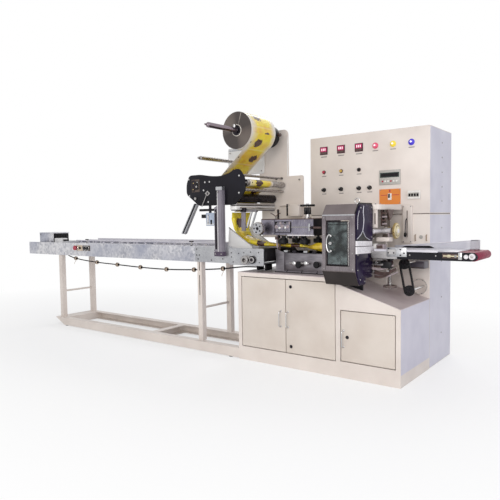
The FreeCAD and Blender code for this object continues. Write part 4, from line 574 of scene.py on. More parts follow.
# %% Acrylic sheets
def clear_sheet(name, code, dirt, roughness, through):
    """The tint goes over to the dirt's colour where smears pass 0.42, and through is the share of light let
    in."""
    finish, tree, where = new_finish(name)
    smears = add(tree, "TexNoise", {"Vector": where, "Scale": 11.0, "Detail": 4.0, "Distortion": 0.6})
    dirty = add(tree, "MapRange", {0: smears, 1: 0.42, 2: 0.62})
    tone = add(tree, "Mix", {0: dirty, 6: linear(code), 7: linear(dirt)}, 2, data_type="RGBA")
    rough = add(tree, "MapRange", {0: smears, 1: 0.3, 2: 0.8, 3: roughness, 4: roughness + 0.08})
    shader = add(tree, "BsdfPrincipled", {"Base Color": tone, "Roughness": rough,
                                          "Transmission Weight": through, "IOR": 1.49})
    add(tree, "OutputMaterial", {"Surface": shader})
    return finish


smoked_acrylic = clear_sheet("smoked_acrylic", "#1F2729", "#7B8888", 0.06, 0.5)
frosted_acrylic = clear_sheet("frosted_acrylic", "#DCDCE2", "#CFCFD8", 0.35, 0.45)

# %% [markdown]
# The film is printed polypropylene: yellow with orange clouds, dark brown patches in a staggered row, a
# whitish margin on each side that fades in, and a small black mark once a repeat for the photocell. A UV map
# in metres, along and across the web, carries the design from the reel to the pouch, so a mark of 6 mm is
# really 6 mm.

# %% Printed film
WEB = 0.300
REPEAT = 0.150


def printed_film(name, width, margin, cloud=2.2):
    """Each row of the table is one step of the sum. With s the place along, t the place across and n the
    number of whole repeats in s: inside = s - (n + 1/2) repeat; a patch is where |(inside / 44 mm, (t -
    centre) / (0.17 width))| plus noise stays under 1.45, and its centre jumps sideways on every other
    repeat."""
    finish, tree, _ = new_finish(name)
    uv = add(tree, "UVMap", uv_map="film")
    place = add(tree, "SeparateXYZ", {0: uv}).node.outputs
    value = {"along": place[0], "across": place[1]}
    for noise, scale in (("clouds", 16.0), ("ragged", 60.0), ("smears", 11.0)):
        value[noise] = add(tree, "TexNoise", {"Vector": uv, "Scale": scale, "Detail": 3.0})
    for result, operation, first, second in (
            ("repeats", "DIVIDE", "along", REPEAT), ("whole", "FLOOR", "repeats", 0.0),
            ("odd", "PINGPONG", "whole", 1.0), ("part", "SUBTRACT", "repeats", "whole"),
            ("from_middle", "SUBTRACT", "part", 0.5), ("inside", "MULTIPLY", "from_middle", REPEAT),
            ("jump", "MULTIPLY", "odd", width * 0.28), ("centre", "ADD", "jump", width * 0.36),
            ("sideways", "SUBTRACT", "across", "centre"), ("patch_v", "DIVIDE", "sideways", width * 0.17),
            ("patch_u", "DIVIDE", "inside", 0.044), ("square_u", "MULTIPLY", "patch_u", "patch_u"),
            ("square_v", "MULTIPLY", "patch_v", "patch_v"), ("squares", "ADD", "square_u", "square_v"),
            ("far", "SQRT", "squares", 0.0), ("noisy", "MULTIPLY", "ragged", 1.3),
            ("reach", "ADD", "far", "noisy"), ("patch", "LESS_THAN", "reach", 1.45),
            ("gold_step", "MULTIPLY", "odd", 0.18 * cloud), ("gold_cloud", "SUBTRACT", "clouds", 0.42),
            ("gold_share", "MULTIPLY", "gold_cloud", cloud), ("gold_sum", "ADD", "gold_step", "gold_share"),
            ("gold_low", "MAXIMUM", "gold_sum", 0.0), ("gold", "MINIMUM", "gold_low", 1.0),
            ("band_off", "SUBTRACT", "inside", REPEAT * 0.42), ("band_far", "ABSOLUTE", "band_off", 0.0),
            ("band", "LESS_THAN", "band_far", 0.006), ("band_share", "MULTIPLY", "band", 0.3),
            ("off_line", "SUBTRACT", "across", width / 2), ("from_line", "ABSOLUTE", "off_line", 0.0),
            ("smear_reach", "MULTIPLY", "smears", width * 0.42), ("edge", "ADD", "from_line", "smear_reach"),
            ("mark_far", "ABSOLUTE", "inside", 0.0), ("mark_u", "LESS_THAN", "mark_far", 0.005),
            ("mark_off", "SUBTRACT", "across", margin * 0.5), ("mark_side", "ABSOLUTE", "mark_off", 0.0),
            ("mark_v", "LESS_THAN", "mark_side", 0.005), ("mark", "MULTIPLY", "mark_u", "mark_v")):
        value[result] = add(tree, "Math", {0: value.get(first, first), 1: value.get(second, second)},
                            operation=operation)
    value["bare"] = add(tree, "MapRange", {0: value["edge"], 1: width * 0.71 - margin * 1.7,
                                           2: width * 0.74 - margin * 0.5, 4: 0.93})
    tone = linear("#E9D636")
    for share, code in (("gold", "#DBA636"), ("patch", "#45261B"), ("band_share", "#F0E4B4"),
                        ("bare", "#D9D5D1"), ("mark", "#171310")):
        tone = add(tree, "Mix", {0: value[share], 6: tone, 7: linear(code)}, 2, data_type="RGBA")
    shader = add(tree, "BsdfPrincipled", {"Base Color": tone, "Roughness": 0.25, "Coat Weight": 0.3})
    add(tree, "OutputMaterial", {"Surface": shader})
    return finish


film_print = printed_film("printed_polypropylene_film", WEB, 0.042)
tube_print = printed_film("printed_film_tube", WEB, 0.006, 1.4)
print("a repeat is", REPEAT * 1000, "mm long on a web of", WEB * 1000, "mm")

# %% [markdown]
# The side of a wound reel is thousands of film edges, so it looks like a dark disc with fine rings, and a
# thin light line where the layers have slipped. The rings are drawn 2 mm apart: one-dimensional noise read at
# the distance from the reel's axis gives them, and the angle about the axis places the slip line and two
# paler sectors, which are a painted sheen.

# %% Reel face
def wound_edges(name, x, z):
    """The reel's axis passes through x, z. far = sqrt(dx^2 + dz^2), angle = arctan2(dz, dx), the slip line is
    where |angle - 1.25| stays under 0.012, and the paler sectors, a painted sheen, follow sheen = |sin(angle +
    2.2)|."""
    finish, tree, where = new_finish(name)
    place = add(tree, "SeparateXYZ", {0: where}).node.outputs
    value = {"x": place[0], "z": place[2]}
    for result, operation, first, second in (
            ("dx", "SUBTRACT", "x", x), ("dz", "SUBTRACT", "z", z), ("xx", "MULTIPLY", "dx", "dx"),
            ("zz", "MULTIPLY", "dz", "dz"), ("sum", "ADD", "xx", "zz"), ("far", "SQRT", "sum", 0.0),
            ("ring_place", "MULTIPLY", "far", 500.0), ("angle", "ARCTAN2", "dz", "dx"),
            ("turned_on", "ADD", "angle", 2.2), ("wave", "SINE", "turned_on", 0.0),
            ("sheen", "ABSOLUTE", "wave", 0.0), ("off_slip", "SUBTRACT", "angle", 1.25),
            ("slip_far", "ABSOLUTE", "off_slip", 0.0), ("slip", "LESS_THAN", "slip_far", 0.012)):
        value[result] = add(tree, "Math", {0: value.get(first, first), 1: value.get(second, second)},
                            operation=operation)
    rings = add(tree, "TexNoise", {"W": value["ring_place"], "Scale": 1.0}, noise_dimensions="1D")
    ring_share = add(tree, "MapRange", {0: rings, 1: 0.3, 2: 0.7})
    # Painted sheen: two paler sectors on the reel's face.
    pale = add(tree, "MapRange", {0: value["sheen"], 1: 0.6, 2: 1.0, 4: 0.6})
    tone = linear("#3A3431")
    for share, code in ((ring_share, "#4A423F"), (pale, "#7A7068"), (value["slip"], "#C9C1B6")):
        tone = add(tree, "Mix", {0: share, 6: tone, 7: linear(code)}, 2, data_type="RGBA")
    shader = add(tree, "BsdfPrincipled", {"Base Color": tone, "Roughness": 0.4, "Metallic": 0.25})
    add(tree, "OutputMaterial", {"Surface": shader})
    return finish


reel_x, _, reel_z = limits("film_reel")
reel_edges = wound_edges("wound_film_edges", sum(reel_x) / 2000, sum(reel_z) / 2000)
print("finishes", len(bpy.data.materials))

# %% [markdown]
# Some of the model's own parts need no other shape than they have, so they only get a finish.

# %% Finishes of the model's own parts
def dress(finish, *names):
    """Gives the finish to parts of the model: to the mesh, and to the object's slots."""
    for name in names:
        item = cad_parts[name]
        if not item.data.materials:
            item.data.materials.append(finish)
        for place in item.material_slots:
            place.material = finish


dress(cream_coat, "base_frame", "plinth", "cabinet_front", "cabinet_sides", "cabinet_back", "drive_housing",
      "conveyor_legs")
dress(deck_coat, "cabinet_deck")
dress(rail_coat, "infeed_bed")
dress(turned_steel, "hinge_pins")
dress(hood_coat, "guard_hood")
dressed = [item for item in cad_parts.values() if item.data.materials]
print("dressed", sorted({item.data.materials[0].name for item in dressed}))

# %% [markdown]
# The cupboard doors are pressed pans with soft edges, hung 5 mm clear of their frame, so a thin dark line
# runs round each. The pull handles are bent from 8 mm chromed bar, and the key locks are small turned
# cylinders.

# %% Doors, handles and locks
FACE = limits("left_door")[1][0]
LOCK, HANDLE = 11, 4


def pull_handle(x, low, high, reach=30):
    """A bar bent to a bow that stands reach in front of the face, with a small collar at each foot."""
    out = FACE - reach + HANDLE
    feet = (low + HANDLE, high - HANDLE)
    ends = [(x, FACE, feet[0]), (x, out, feet[0]), (x, out, feet[1]), (x, FACE, feet[1])]
    collars = bars(chrome, "Y", FACE - 4, FACE, 7.5, 1.5, 24, *[(x, z) for z in feet])
    return [(wire(bow(ends, 12), HANDLE, (1, 0, 0), 12), chrome)] + collars


def key_lock(x, z):
    """A turned cylinder, stepped towards the operator, with a thin upright slot in its face."""
    return knobs(dark_steel_and_shade, FACE, [(11, 0), (11, 3), (9.5, 4.5), (8, 6), (1, 6)], 28, (x, z)) + blocks(
        black_gloss, (x - 0.8, x + 0.8, FACE - 6.3, FACE - 5.5, z - 4, z + 4, 0.2))


for name in ("left_door", "right_door", "small_door"):
    x, y, z = limits(name)
    piece(name + "_pan", [panel(door_coat, "Y", x, z, 4, *y, 3)], name, name)
left_x, _, left_z = limits("left_door_handle")
piece("left_door_pull", pull_handle(sum(left_x) / 2, *left_z), "left_door_handle", "left_door")
right_x, _, right_z = limits("right_door_fittings")
right_parts = pull_handle(right_x[0] + HANDLE, *left_z)
for z in inset(right_z, LOCK):
    right_parts += key_lock(right_x[1] - LOCK, z)
piece("right_door_pull_and_locks", right_parts, "right_door_fittings", "right_door")
small_x, _, small_z = limits("small_door_fittings")
small_parts = pull_handle(small_x[0] + HANDLE, *small_z) + key_lock(small_x[1] - LOCK, sum(small_z) / 2 + 12)
piece("small_door_pull_and_lock", small_parts, "small_door_fittings", "small_door")

# %% [markdown]
# The tall cabinet is two folded sheet cases with a shadow gap between them. Its right-hand side and that of
# the low cabinet are separate panels, each held by a column of small screws. Their lilac-grey is painted
# shade:
# the cream coat as it looks on a side turned from the warm light.

# %% Tall cabinet and side panels
lower, upper = limits("tall_cabinet_lower"), limits("tall_cabinet_upper")
deck, sides = limits("cabinet_deck"), limits("cabinet_sides")
SKIN, SEAM = 1.2, lower[2][1]
WALL, REAR_WALL = lower[1]
RIGHT = lower[0][1]
upper_z = (SEAM + 4, upper[2][1])
piece("lower_case", [(block(*lower, 3.5), cream_coat)], "tall_cabinet_lower")
piece("upper_case", [
    (block(*upper[:2], upper_z, 3.5), cream_coat),
    (block(inset(upper[0], 4), inset(upper[1], 4), (SEAM - 2, SEAM + 6), 0.5), shade_coat),
], "tall_cabinet_upper")

low_side = rectangle((FACE + 3, deck[1][1] - 3), (sides[2][0], deck[2][0] + 1), 3, 4)
side_parts = [(plate("X", low_side, RIGHT - 1, RIGHT + SKIN, 0.6), shaded_side_coat)]
for z in (lower[2], upper_z):
    side_parts.append(panel(shaded_side_coat, "X", inset(lower[1], 5), inset(z, 5), 3, RIGHT - 1, RIGHT + SKIN, 0.6))
screw_heights = (1509, 1409, 1308, 1209, 1113, 930, 700, 450, 200)
side_parts += bars(turned_steel, "X", RIGHT, RIGHT + 4, 5.5, 1.2, 18, *[(493, z) for z in screw_heights])
piece("side_panels", side_parts)

# %% [markdown]
# Such a case is closed at the back with service doors: pressed pans with louvres for the air, each louvre a
# sheet lip that stands out at its lower edge, a pair of hinges and two quarter-turn locks. The drive housing
# has one panel with screws, and a cable gland sits low down.

# %% Service doors at the back
LOUVRE_PITCH, LOUVRE_OUT = 24, 7


def louvre(x, z, half):
    """A lip: in side view a slope from the sheet at the top to out at the bottom, then back to the sheet."""
    out = REAR_WALL + LOUVRE_OUT
    side_view = [(REAR_WALL - 0.5, z + 9), (out, z - 5), (out - 1.5, z - 7), (REAR_WALL - 0.5, z + 5)]
    # Under the lip a dark block is painted shade.
    return [(plate("X", side_view, x - half, x + half, 0.8), door_coat),
            (block((x - half + 2, x + half - 2), (REAR_WALL, REAR_WALL + 3), (z - 7, z + 4), 0.4),
             shade_coat)]


def service_door(x, z, hinge_at):
    """A pan with its shadow line, hinges 70 mm from its ends, and two locks 30 mm in from the other side, at
    0.3 and 0.7 of its height."""
    sheet, shadow = (REAR_WALL - 1, REAR_WALL + 2.5), (REAR_WALL - 1, REAR_WALL + 0.6)
    found = shadowed(door_coat, "Y", x, z, 6, sheet, shadow, 1.2)
    for height in inset(z, 70):
        found += bars(turned_steel, "Z", height - 30, height + 30, 5, 1, 16, (hinge_at, REAR_WALL + 5))
    other_side = sum(x) - hinge_at
    lock = other_side + (30 if other_side < hinge_at else -30)
    for height in inset(z, 0.3 * (z[1] - z[0])):
        found += knobs(chrome, REAR_WALL, [(12, -2), (12, -5), (9, -7), (1, -7)], 24, (lock, height))
        key_slot = (lock - 1, lock + 1, REAR_WALL + 6.5, REAR_WALL + 7.6, height - 5, height + 5, 0.3)
        found += blocks(black_gloss, key_slot)
    return found


housing = limits("drive_housing")
rear_parts = []
for door_z, first_louvre, louvres in (((90, 985), 250, 9), ((1066, 1560), 1380, 6)):
    rear_parts += service_door((-250, 565), door_z, 571)
    for x, k in product((0, 315), range(louvres)):
        rear_parts += louvre(x, first_louvre + k * LOUVRE_PITCH, 90)
rear_parts += shadowed(door_coat, "Y", (housing[0][0] + 33, housing[0][1] - 27), (93, 1067), 5,
                       (REAR_WALL - 1, REAR_WALL + 2), (REAR_WALL - 1, REAR_WALL + 0.6), 1, 1)
rear_parts += bars(turned_steel, "Y", REAR_WALL + 1, REAR_WALL + 5, 6, 1.2, 18,
                   *product((housing[0][0] + 46, housing[0][1] - 40), np.linspace(106, 1054, 6)))
for k in range(7):
    rear_parts += louvre(sum(housing[0]) / 2, 860 + k * LOUVRE_PITCH, 80)
gland = [(26, -1), (26, -7), (20, -9), (20, -17), (11, -19), (10, -14), (1, -14)]
rear_parts += knobs(black_plastic, REAR_WALL, gland, 6, (-447, 170))
rear_parts += blocks(grey_plastic, (-500, -394, REAR_WALL + 1, REAR_WALL + 12, 240, 300, 3))
rear_parts += blocks(black_gloss, (-451, -443, REAR_WALL + 20, REAR_WALL + 30, 252, 288, 2))
rear_parts += bars(black_gloss, "Y", REAR_WALL + 11, REAR_WALL + 24, 16, 2, 24, (-447, 270))
piece("service_doors_and_louvres", rear_parts)

# %% [markdown]
# The left end of the low cabinet and of the drive housing are bolted panels, and both cases have a lid. A
# thin shadow line and a row of screws show each panel; the tall case has a screwed cap where its lifting eyes
# were.

# %% Left-hand panels and lids
LEFT = -606
left_parts = []
# The left-hand panels take the same lilac-grey, the cream coat painted as it looks in shade.
for y, z in ((inset(sides[1], 8), (96, 612)), (inset(housing[1], 14), (40, 1080))):
    left_parts += shadowed(shaded_side_coat, "X", y, z, 5, (LEFT - 0.2, LEFT + 2), (LEFT + 0.5, LEFT + 2), 0.6)
    left_parts += bars(turned_steel, "X", LEFT - 3.5, LEFT, 5.5, 1.2, 18,
                       *product(inset(y, 16), np.linspace(*inset(z, 18), 4)))
lid, roof = housing[2][1], upper[2][1]
left_parts.append(panel(cream_coat, "Z", *[inset(span, 12) for span in housing[:2]], 5, lid - 1, lid + 1.6,
                        0.6))
left_parts += bars(turned_steel, "Z", lid + 1, lid + 5, 6, 1.2, 18,
                   *product(inset(housing[0], 28), (housing[1][0] + 60, housing[1][1] - 28)))
left_parts.append(panel(cream_coat, "Z", *[inset(span, 14) for span in upper[:2]], 6, roof - 1, roof + 1.4,
                        0.6))
for spot in product(inset(upper[0], 60), inset(upper[1], 60)):
    left_parts.append((turned("Z", spot, [(15, roof), (15, roof + 3), (9, roof + 6), (1, roof + 6)], 6),
                       turned_steel))
piece("bolted_panels_and_lids", left_parts)

# %% [markdown]
# Each levelling foot is a rubber pad with a lock nut, turned down against the rail.

# %% Levelling feet
FOOT = 22
feet_x, feet_y, _ = limits("levelling_feet")
pad = [(1, 0), (20, 0), (FOOT, 1.5), (FOOT, 3.5), (18, 6), (8, 6), (8, 8), (1, 8)]
feet_at = product(inset(feet_x, FOOT), inset(feet_y, FOOT - 3))
feet = [(turned("Z", spot, pad, 32), belt_rubber) for spot in feet_at]
piece("levelling_foot_pads", feet, "levelling_feet")

# %% [markdown]
# The control face has a row of three temperature controllers and three lamps, a row of push buttons, a row of
# selector knobs, a small display, an orange switch plate and a breaker. Each has a narrow bare plate under it
# where its use would be written.

# %% Temperature controllers
def in_front(x, z, half_x, half_z, depth, finish, edge=1.2, start=0):
    """A small block on the control face, from start to start + depth in front of it."""
    return block((x - half_x, x + half_x), (WALL - start - depth, WALL - start), (z - half_z, z + half_z),
                 edge), finish


def name_plate(x, z, half_x=18, half_z=3):
    """The bare plate under a control."""
    return in_front(x, z, half_x, half_z, 0.8, label_grey, 0.3)


row = limits("temperature_controllers")
first, pitch = row[0][0] + 31, (row[0][1] - row[0][0] - 62) / 2
columns = [first + k * pitch for k in range(3)]
row_one = sum(row[2]) / 2
controllers = []
for x in columns:
    controllers += [in_front(x, row_one, 31, 29, 6, maroon_frame, 2), name_plate(x, row_one - 44, 24, 3.5),
                    in_front(x, row_one + 8, 25, 16, 3, led_red, 1, 5),
                    in_front(x, row_one - 17, 25, 7, 2, brown_plastic, 0.4, 5.6)]
    digits = (x - 13, x, x + 13)
    controllers += [in_front(digit, row_one + 8, 3.8, 8.5, 0.8, led_digit, 0.3, 7.8) for digit in digits]
piece("temperature_controller_row", controllers, "temperature_controllers")

# %% Lamps, buttons and knobs
LAMP_X = (229, 356, 483)
FOURTH_KNOB = 187
row_two, row_three = 1345, limits("control_buttons")[2][0] + 13
small = []
for x, finish in zip(LAMP_X, (lens_red, lens_yellow, lens_blue)):
    small += knobs(finish, WALL, [(21, 0), (21, 4), (19, 6), (2, 6)], 32, (x, row_one))
    small += knobs(finish, WALL, [(17, 5), (16.5, 11), (12, 14), (1, 15)], 32, (x, row_one))
    small += knobs(lens_core, WALL, [(7, 12), (6.5, 16), (4, 17), (1, 17)], 24, (x - 1, row_one + 2))
    small.append(name_plate(x, row_one - 34, 20))
for x, finish in zip(columns, (red_plastic, yellow_plastic, black_plastic)):
    small += knobs(brown_plastic, WALL, [(14, 0), (14, 4), (12, 6), (2, 6)], 30, (x, row_two))
    small += knobs(finish, WALL, [(10.5, 5), (10.5, 13), (9.5, 14), (1, 14)], 30, (x, row_two))
    small.append(name_plate(x, row_two - 30))
for x in (*columns, FOURTH_KNOB):
    small += knobs(black_gloss, WALL, [(15, 0), (15, 4), (12.5, 6), (11, 24), (1, 26)], 30, (x, row_three))
    small += [in_front(x, row_three, 2.2, 13, 4, black_gloss, 0.6, 24), name_plate(x, row_three - 30),
              in_front(x, row_three + 8, 1, 4, 0.8, white_plastic, 0.2, 27.6)]
piece("lamps_buttons_and_knobs", small, "control_buttons")

# %% Display, switch plate and breaker
PANEL_X, DISPLAY_Z, SWITCH_Z = 333.5, 1294, 1147
BREAKER = (502, 1154)
units = [
    in_front(PANEL_X, DISPLAY_Z - 16, 75.5, 50, 8, grey_plastic, 2.5),
    in_front(PANEL_X, DISPLAY_Z, 68, 17, 1.2, lcd_green, 0.5, 7.6),
    in_front(PANEL_X, DISPLAY_Z, 60, 11, 0.8, black_gloss, 0.3, 8.4),
    in_front(PANEL_X, SWITCH_Z, 75.5, 52, 3, orange_coat, 1),
    in_front(PANEL_X, SWITCH_Z, 13, 22, 3, white_plastic, 0.8, 3),
    in_front(PANEL_X - 3, SWITCH_Z + 5, 5, 13, 9, black_gloss, 1.5, 5),
    in_front(PANEL_X, SWITCH_Z + 39, 5, 8, 0.8, red_plastic, 0.3, 3),
    in_front(*BREAKER, 42, 27.5, 12, white_plastic, 2), in_front(*BREAKER, 37, 14, 3, grey_plastic, 0.8, 11),
]
units += [in_front(PANEL_X + shift, SWITCH_Z + 11, 24, 2, 0.6, red_plastic, 0.2, 3) for shift in (-40, 40)]
for k in range(6):
    units.append(in_front(PANEL_X - 50 + k * 20, DISPLAY_Z - 42, 5.5, 5.5, 1.5,
                          (red_plastic, white_plastic, white_plastic)[k % 3], 0.5, 8))
units += [in_front(BREAKER[0] - 27 + k * 18, BREAKER[1] - 2, 5.5, 9, 8, black_gloss, 1, 12) for k in range(4)]
units += bars(turned_steel, "Y", WALL - 4.5, WALL - 2.5, 3, 0.6, 16,
              *product((PANEL_X - 68, PANEL_X + 68), (SWITCH_Z - 44, SWITCH_Z + 44)))
piece("display_switch_plate_and_breaker", units, "face_units")

# %% [markdown]
# The conveyor is a long trough of galvanised sheet. Its side panels are folded over at the top; near the
# machine a smoother plate is bolted on. Two thin rails run along it on pins, and a chain in the middle
# carries the pushers.

# %% Infeed conveyor
sides_x, (NEAR, FAR), sides_z = limits("infeed_sides")
PANEL_TOP, SHEET, LIP = 808, 5, 16
RAILS_Y, RAIL_Z = (-90, 50), 826


def side_sheet(outer, inner):
    """One side in cross-section: an upright sheet whose top is folded a lip's width towards the middle."""
    lip = inner + LIP * np.sign(inner - outer)
    outline = [(outer, sides_z[0]), (inner, sides_z[0]), (inner, PANEL_TOP - 4), (lip, PANEL_TOP - 4),
               (lip, PANEL_TOP), (outer, PANEL_TOP)]
    return plate("X", rounded(outline, [1, 1, 1, 1, 1, 3]), *sides_x, 0.5), zinc_sheet


trough = [side_sheet(NEAR, NEAR + SHEET), side_sheet(FAR, FAR - SHEET)]
trough += blocks(rail_coat, (-2790, -1180, FAR - SHEET - 1, FAR - 1, PANEL_TOP - 2, sides_z[1], 1))
trough += blocks(alloy, (-1049, sides_x[1] - 2, NEAR - 1.5, NEAR + 0.5, sides_z[0] + 1, PANEL_TOP - 1, 0.7))
trough += bars(dark_steel_and_shade, "Y", NEAR - 4.5, NEAR - 1, 5, 1, 16, (-1031, 739), (-1003, 740), (-1017, 709),
               (-843, 780), (-767, 718), (-880, 705), (-1031, 785))
trough += bars(rail_coat, "X", -2780, -760, 5, 1, 14, *[(y, RAIL_Z) for y in RAILS_Y])
trough += bars(rail_coat, "Z", 789, RAIL_Z, 4, 0.6, 12, *product(np.arange(-2700, -800, 310), RAILS_Y))
rod_y = NEAR + SHEET + 8
for x in (-2440, -1098):
    trough += bars(turned_steel, "Z", 800, 842, 4, 0.8, 14, (x, rod_y))
    trough += bars(dark_steel_and_shade, "Z", 806, 813, 9, 1, 6, (x, rod_y))
    trough += bars(dark_steel_and_shade, "X", x - 22, x + 22, 5, 1.2, 16, (rod_y, 842))
piece("conveyor_trough", trough, "infeed_sides")
chain = blocks(alloy, (-2750, -760, -26, -14, 789.5, 793, 0.5))
chain += blocks(rail_coat, *[(x - 6, x + 6, -30, -10, 790, 812, 1.5) for x in np.arange(-2680, -760, 120)])
piece("pusher_chain", chain)

# %% [markdown]
# A motor box and a finned black cover stand on the conveyor's far end. On its near side, a beige plate
# carries the emergency stop and a dark one two switches.

# %% Motor box, switches and leg slots
END = limits("infeed_fittings")[0][0]
STOP, SWITCHES = (-2593, 762), [(-2455, 762), (-2413, 762)]
motor = blocks(zinc_sheet, (END, END + 250, -120, 60, 790, 894, 4), (END, END + 262, -122, 62, 892, 903, 3))
motor += blocks(black_plastic, (END + 248, END + 258, -116, 56, 794, 890, 3),
                (END + 440, END + 466, -114, -80, 816, 834, 3),
                *[(END + 256, END + 264, y, y + 12, 804, 880, 1.5) for y in range(-100, 50, 30)])
motor += blocks(white_coat, (END + 290, END + 410, -132, -60, 795, 846, 3))
motor += blocks(alloy, (END + 310, END + 470, -110, 40, 790, 818, 4))
motor += blocks(brown_plastic, (END + 380, END + 410, -114, -80, 816, 836, 3))
motor += bars(turned_steel, "Y", -124, -119, 4, 0.8, 12, *product((END + 12, END + 238), (804, 880)))
motor += blocks(beige_tie, (STOP[0] - 30, STOP[0] + 96, NEAR - 3, NEAR, STOP[1] - 26, STOP[1] + 26, 1))
motor += blocks(shade_coat, (-2488, -2380, NEAR - 3, NEAR, STOP[1] - 25, STOP[1] + 25, 1))
motor += bars(belt_rubber, "Y", NEAR - 8, NEAR - 2, 12, 1, 20, (STOP[0] + 62, STOP[1]))
motor += bars(chrome, "Y", NEAR - 8, NEAR - 2, 27, 1.5, 40, STOP)
motor += knobs(red_plastic, NEAR, [(14, 6), (14, 12), (22, 15), (23, 21), (18, 26), (1, 27)], 40, STOP)
motor += bars(chrome, "Y", NEAR - 8, NEAR - 2, 22, 1, 36, *SWITCHES)
motor += bars(black_gloss, "Y", NEAR - 14, NEAR - 6, 17, 3, 36, *SWITCHES)
piece("motor_box_and_switches", motor, "infeed_fittings")
# Painted shade: the leg slots are two thin dark strips where the slots are.
LEG = NEAR + 5
slots = blocks(shade_coat, *[(-1016, -1008, LEG - 0.6, LEG + 0.4, z, z + 155, 0.3) for z in (429, 620)])
piece("leg_slots", slots)

# %% [markdown]
# The drive head is a light metal plate with drilled holes. A stepped hub with a dark bore carries the shaft,
# and a black belt turns round the nose behind it. Under it two black lugs hold the end of the cable.

# %% Drive head
head_x, _, (lug_low, _) = limits("drive_head")
HEAD_Z, HEAD_FACE, HUB, CAP = (679, 802), -232, (-540, 719), (-482, 722)
head = [panel(alloy, "Y", head_x, HEAD_Z, 8, NEAR - 12, NEAR, 1.5),
        panel(alloy, "Y", (sides_x[1], head_x[1]), HEAD_Z, 8, FAR - SHEET, FAR, 1.5)]
head += knobs(turned_steel, HEAD_FACE, [(33, 0), (33, 6), (27, 8), (27, 16), (31, 18), (31, 26), (28, 29),
                                        (15, 29), (15, 4), (1, 4)], 36, HUB)
head += bars(black_gloss, "Y", HEAD_FACE - 6, 175, 10, 1, 32, HUB)
head += bars(black_gloss, "Y", HEAD_FACE - 12, HEAD_FACE, 28, 2, 32, CAP)
head += bars(turned_steel, "Y", HEAD_FACE - 17, HEAD_FACE - 11, 22, 2, 32, CAP)
head += bars(dark_steel_and_shade, "Y", HEAD_FACE - 20, HEAD_FACE - 16, 12, 1, 32, CAP)
head += bars(black_gloss, "Y", HEAD_FACE - 1.2, HEAD_FACE + 0.4, 4.5, 0.3, 16, (-676, 766), (-676, 736),
             (-429, 774), (-425, 704), (-609, 764), (-560, 770), (-500, 776), (-660, 700))
head += blocks(black_plastic, *[(x, x + 18, -116, -44, lug_low, 682, 2) for x in (-535, -463)])
head += blocks(dark_steel_and_shade, (-540, -440, NEAR + 1, FAR - SHEET, 679, 684, 0.8))
piece("drive_head_plates", head, "drive_head")

# %% [markdown]
# Plastic saddles hold the hanging cable. Each is a beige ring with a dark middle, and two have a tie with its
# tail left long. They sit on the spline itself: its points are read from the curve's own mesh, and a ring
# takes the height and slope that the cable has there.

# %% Cable saddles
line.bevel_depth = 0
bare = bpy.data.meshes.new_from_object(cable)
line.bevel_depth = 1
course = np.zeros(len(bare.vertices) * 3)
bare.vertices.foreach_get("co", course)
bpy.data.meshes.remove(bare)
course = course.reshape(-1, 3) * 1000
course = course[course[:, 0] > -2960]
course = course[np.argsort(course[:, 0])]
SADDLE_RING = [(6, -13), (15, -13), (18, -9), (18, 9), (15, 13), (6, 13), (5.4, 11), (5.4, -11)]
TAIL = bow([(0, 0, -10), (3, -2, -24), (-12, -4, -44), (-16, -4, -58)], 12)


def on_cable(shape, x):
    """Moves a shape made round the X axis at 0 to the cable at x and turns it by the slope there: along cos a
    - up sin a and along sin a + up cos a."""
    points, faces = shape
    before, there, after = np.interp([x - 12, x, x + 12], course[:, 0], course[:, 2])
    angle = np.arctan2(after - before, 24)
    along, up = points[:, 0], points[:, 2]
    leaning = np.stack([along * np.cos(angle) - up * np.sin(angle), points[:, 1],
                        along * np.sin(angle) + up * np.cos(angle)], axis=1)
    return leaning + np.array([x, -80, there]), faces


saddles = []
for x in (-2811, -2473, -2167, -1849, -1518, -1197, -888):
    parts = [(hollow("X", (0, 0), SADDLE_RING, 24), beige_tie)]
    parts += bars(brown_plastic, "X", -6, 6, 19, 1.5, 24, (0, 0))
    for end in (-16, 11):
        parts += bars(belt_rubber, "X", end, end + 5, 10, 0.8, 20, (0, 0))
    if x in (-2811, -888):
        parts.append((wire(TAIL, 2, (0, 1, 0), 8), beige_tie))
    saddles += [(on_cable(shape, x), finish) for shape, finish in parts]
ties_piece = piece("cable_saddles", saddles)

# %% [markdown]
# The reel: printed film wound on a paper core, held by a steel shaft that sticks out towards the operator.
# The printed surface is a cylinder with its own UV map, along the film and across it, and the two sides are
# rings of film edges.

# %% Film reel
reel_x, reel_y, reel_z = limits("film_reel")
core_x = limits("reel_core")[0]
reel_at = (sum(reel_x) / 2, sum(reel_z) / 2)
REEL, CORE = (reel_x[1] - reel_x[0]) / 2, (core_x[1] - core_x[0]) / 2


def film_on_roll(at, radius, low, high, start):
    """A cylinder of film: u is angle x radius and v the distance across the web, both in metres."""
    angle = np.linspace(start, start + 2 * np.pi, 97)
    y = np.linspace(high, low, 5)[:, None]
    uv = np.stack(np.broadcast_arrays((angle - start) * radius * 0.001, (y - low) * 0.001), axis=-1)
    grid = on_axis("Y", at[0] + radius * np.cos(angle), at[1] + radius * np.sin(angle), y)
    return skin(grid, False, False), uv


shape, uv = film_on_roll(reel_at, REEL, *reel_y, -2)
piece("wound_film_surface", [(shape, film_print)], body="reel", uv=uv)
rings = [hollow("Y", reel_at, [(CORE, y), (REEL, y), (REEL - 0.6, y + inward), (CORE, y + inward)], 96)
         for y, inward in zip(reel_y, (0.8, -0.8))]
piece("wound_film_sides", [(ring, reel_edges) for ring in rings], "film_reel", "reel")
piece("paper_core", [(pipe("Y", reel_at, reel_y[0] - 3, reel_y[1] + 2, CORE, CORE - 4, 64), core_paper)],
      "reel_core", "reel")

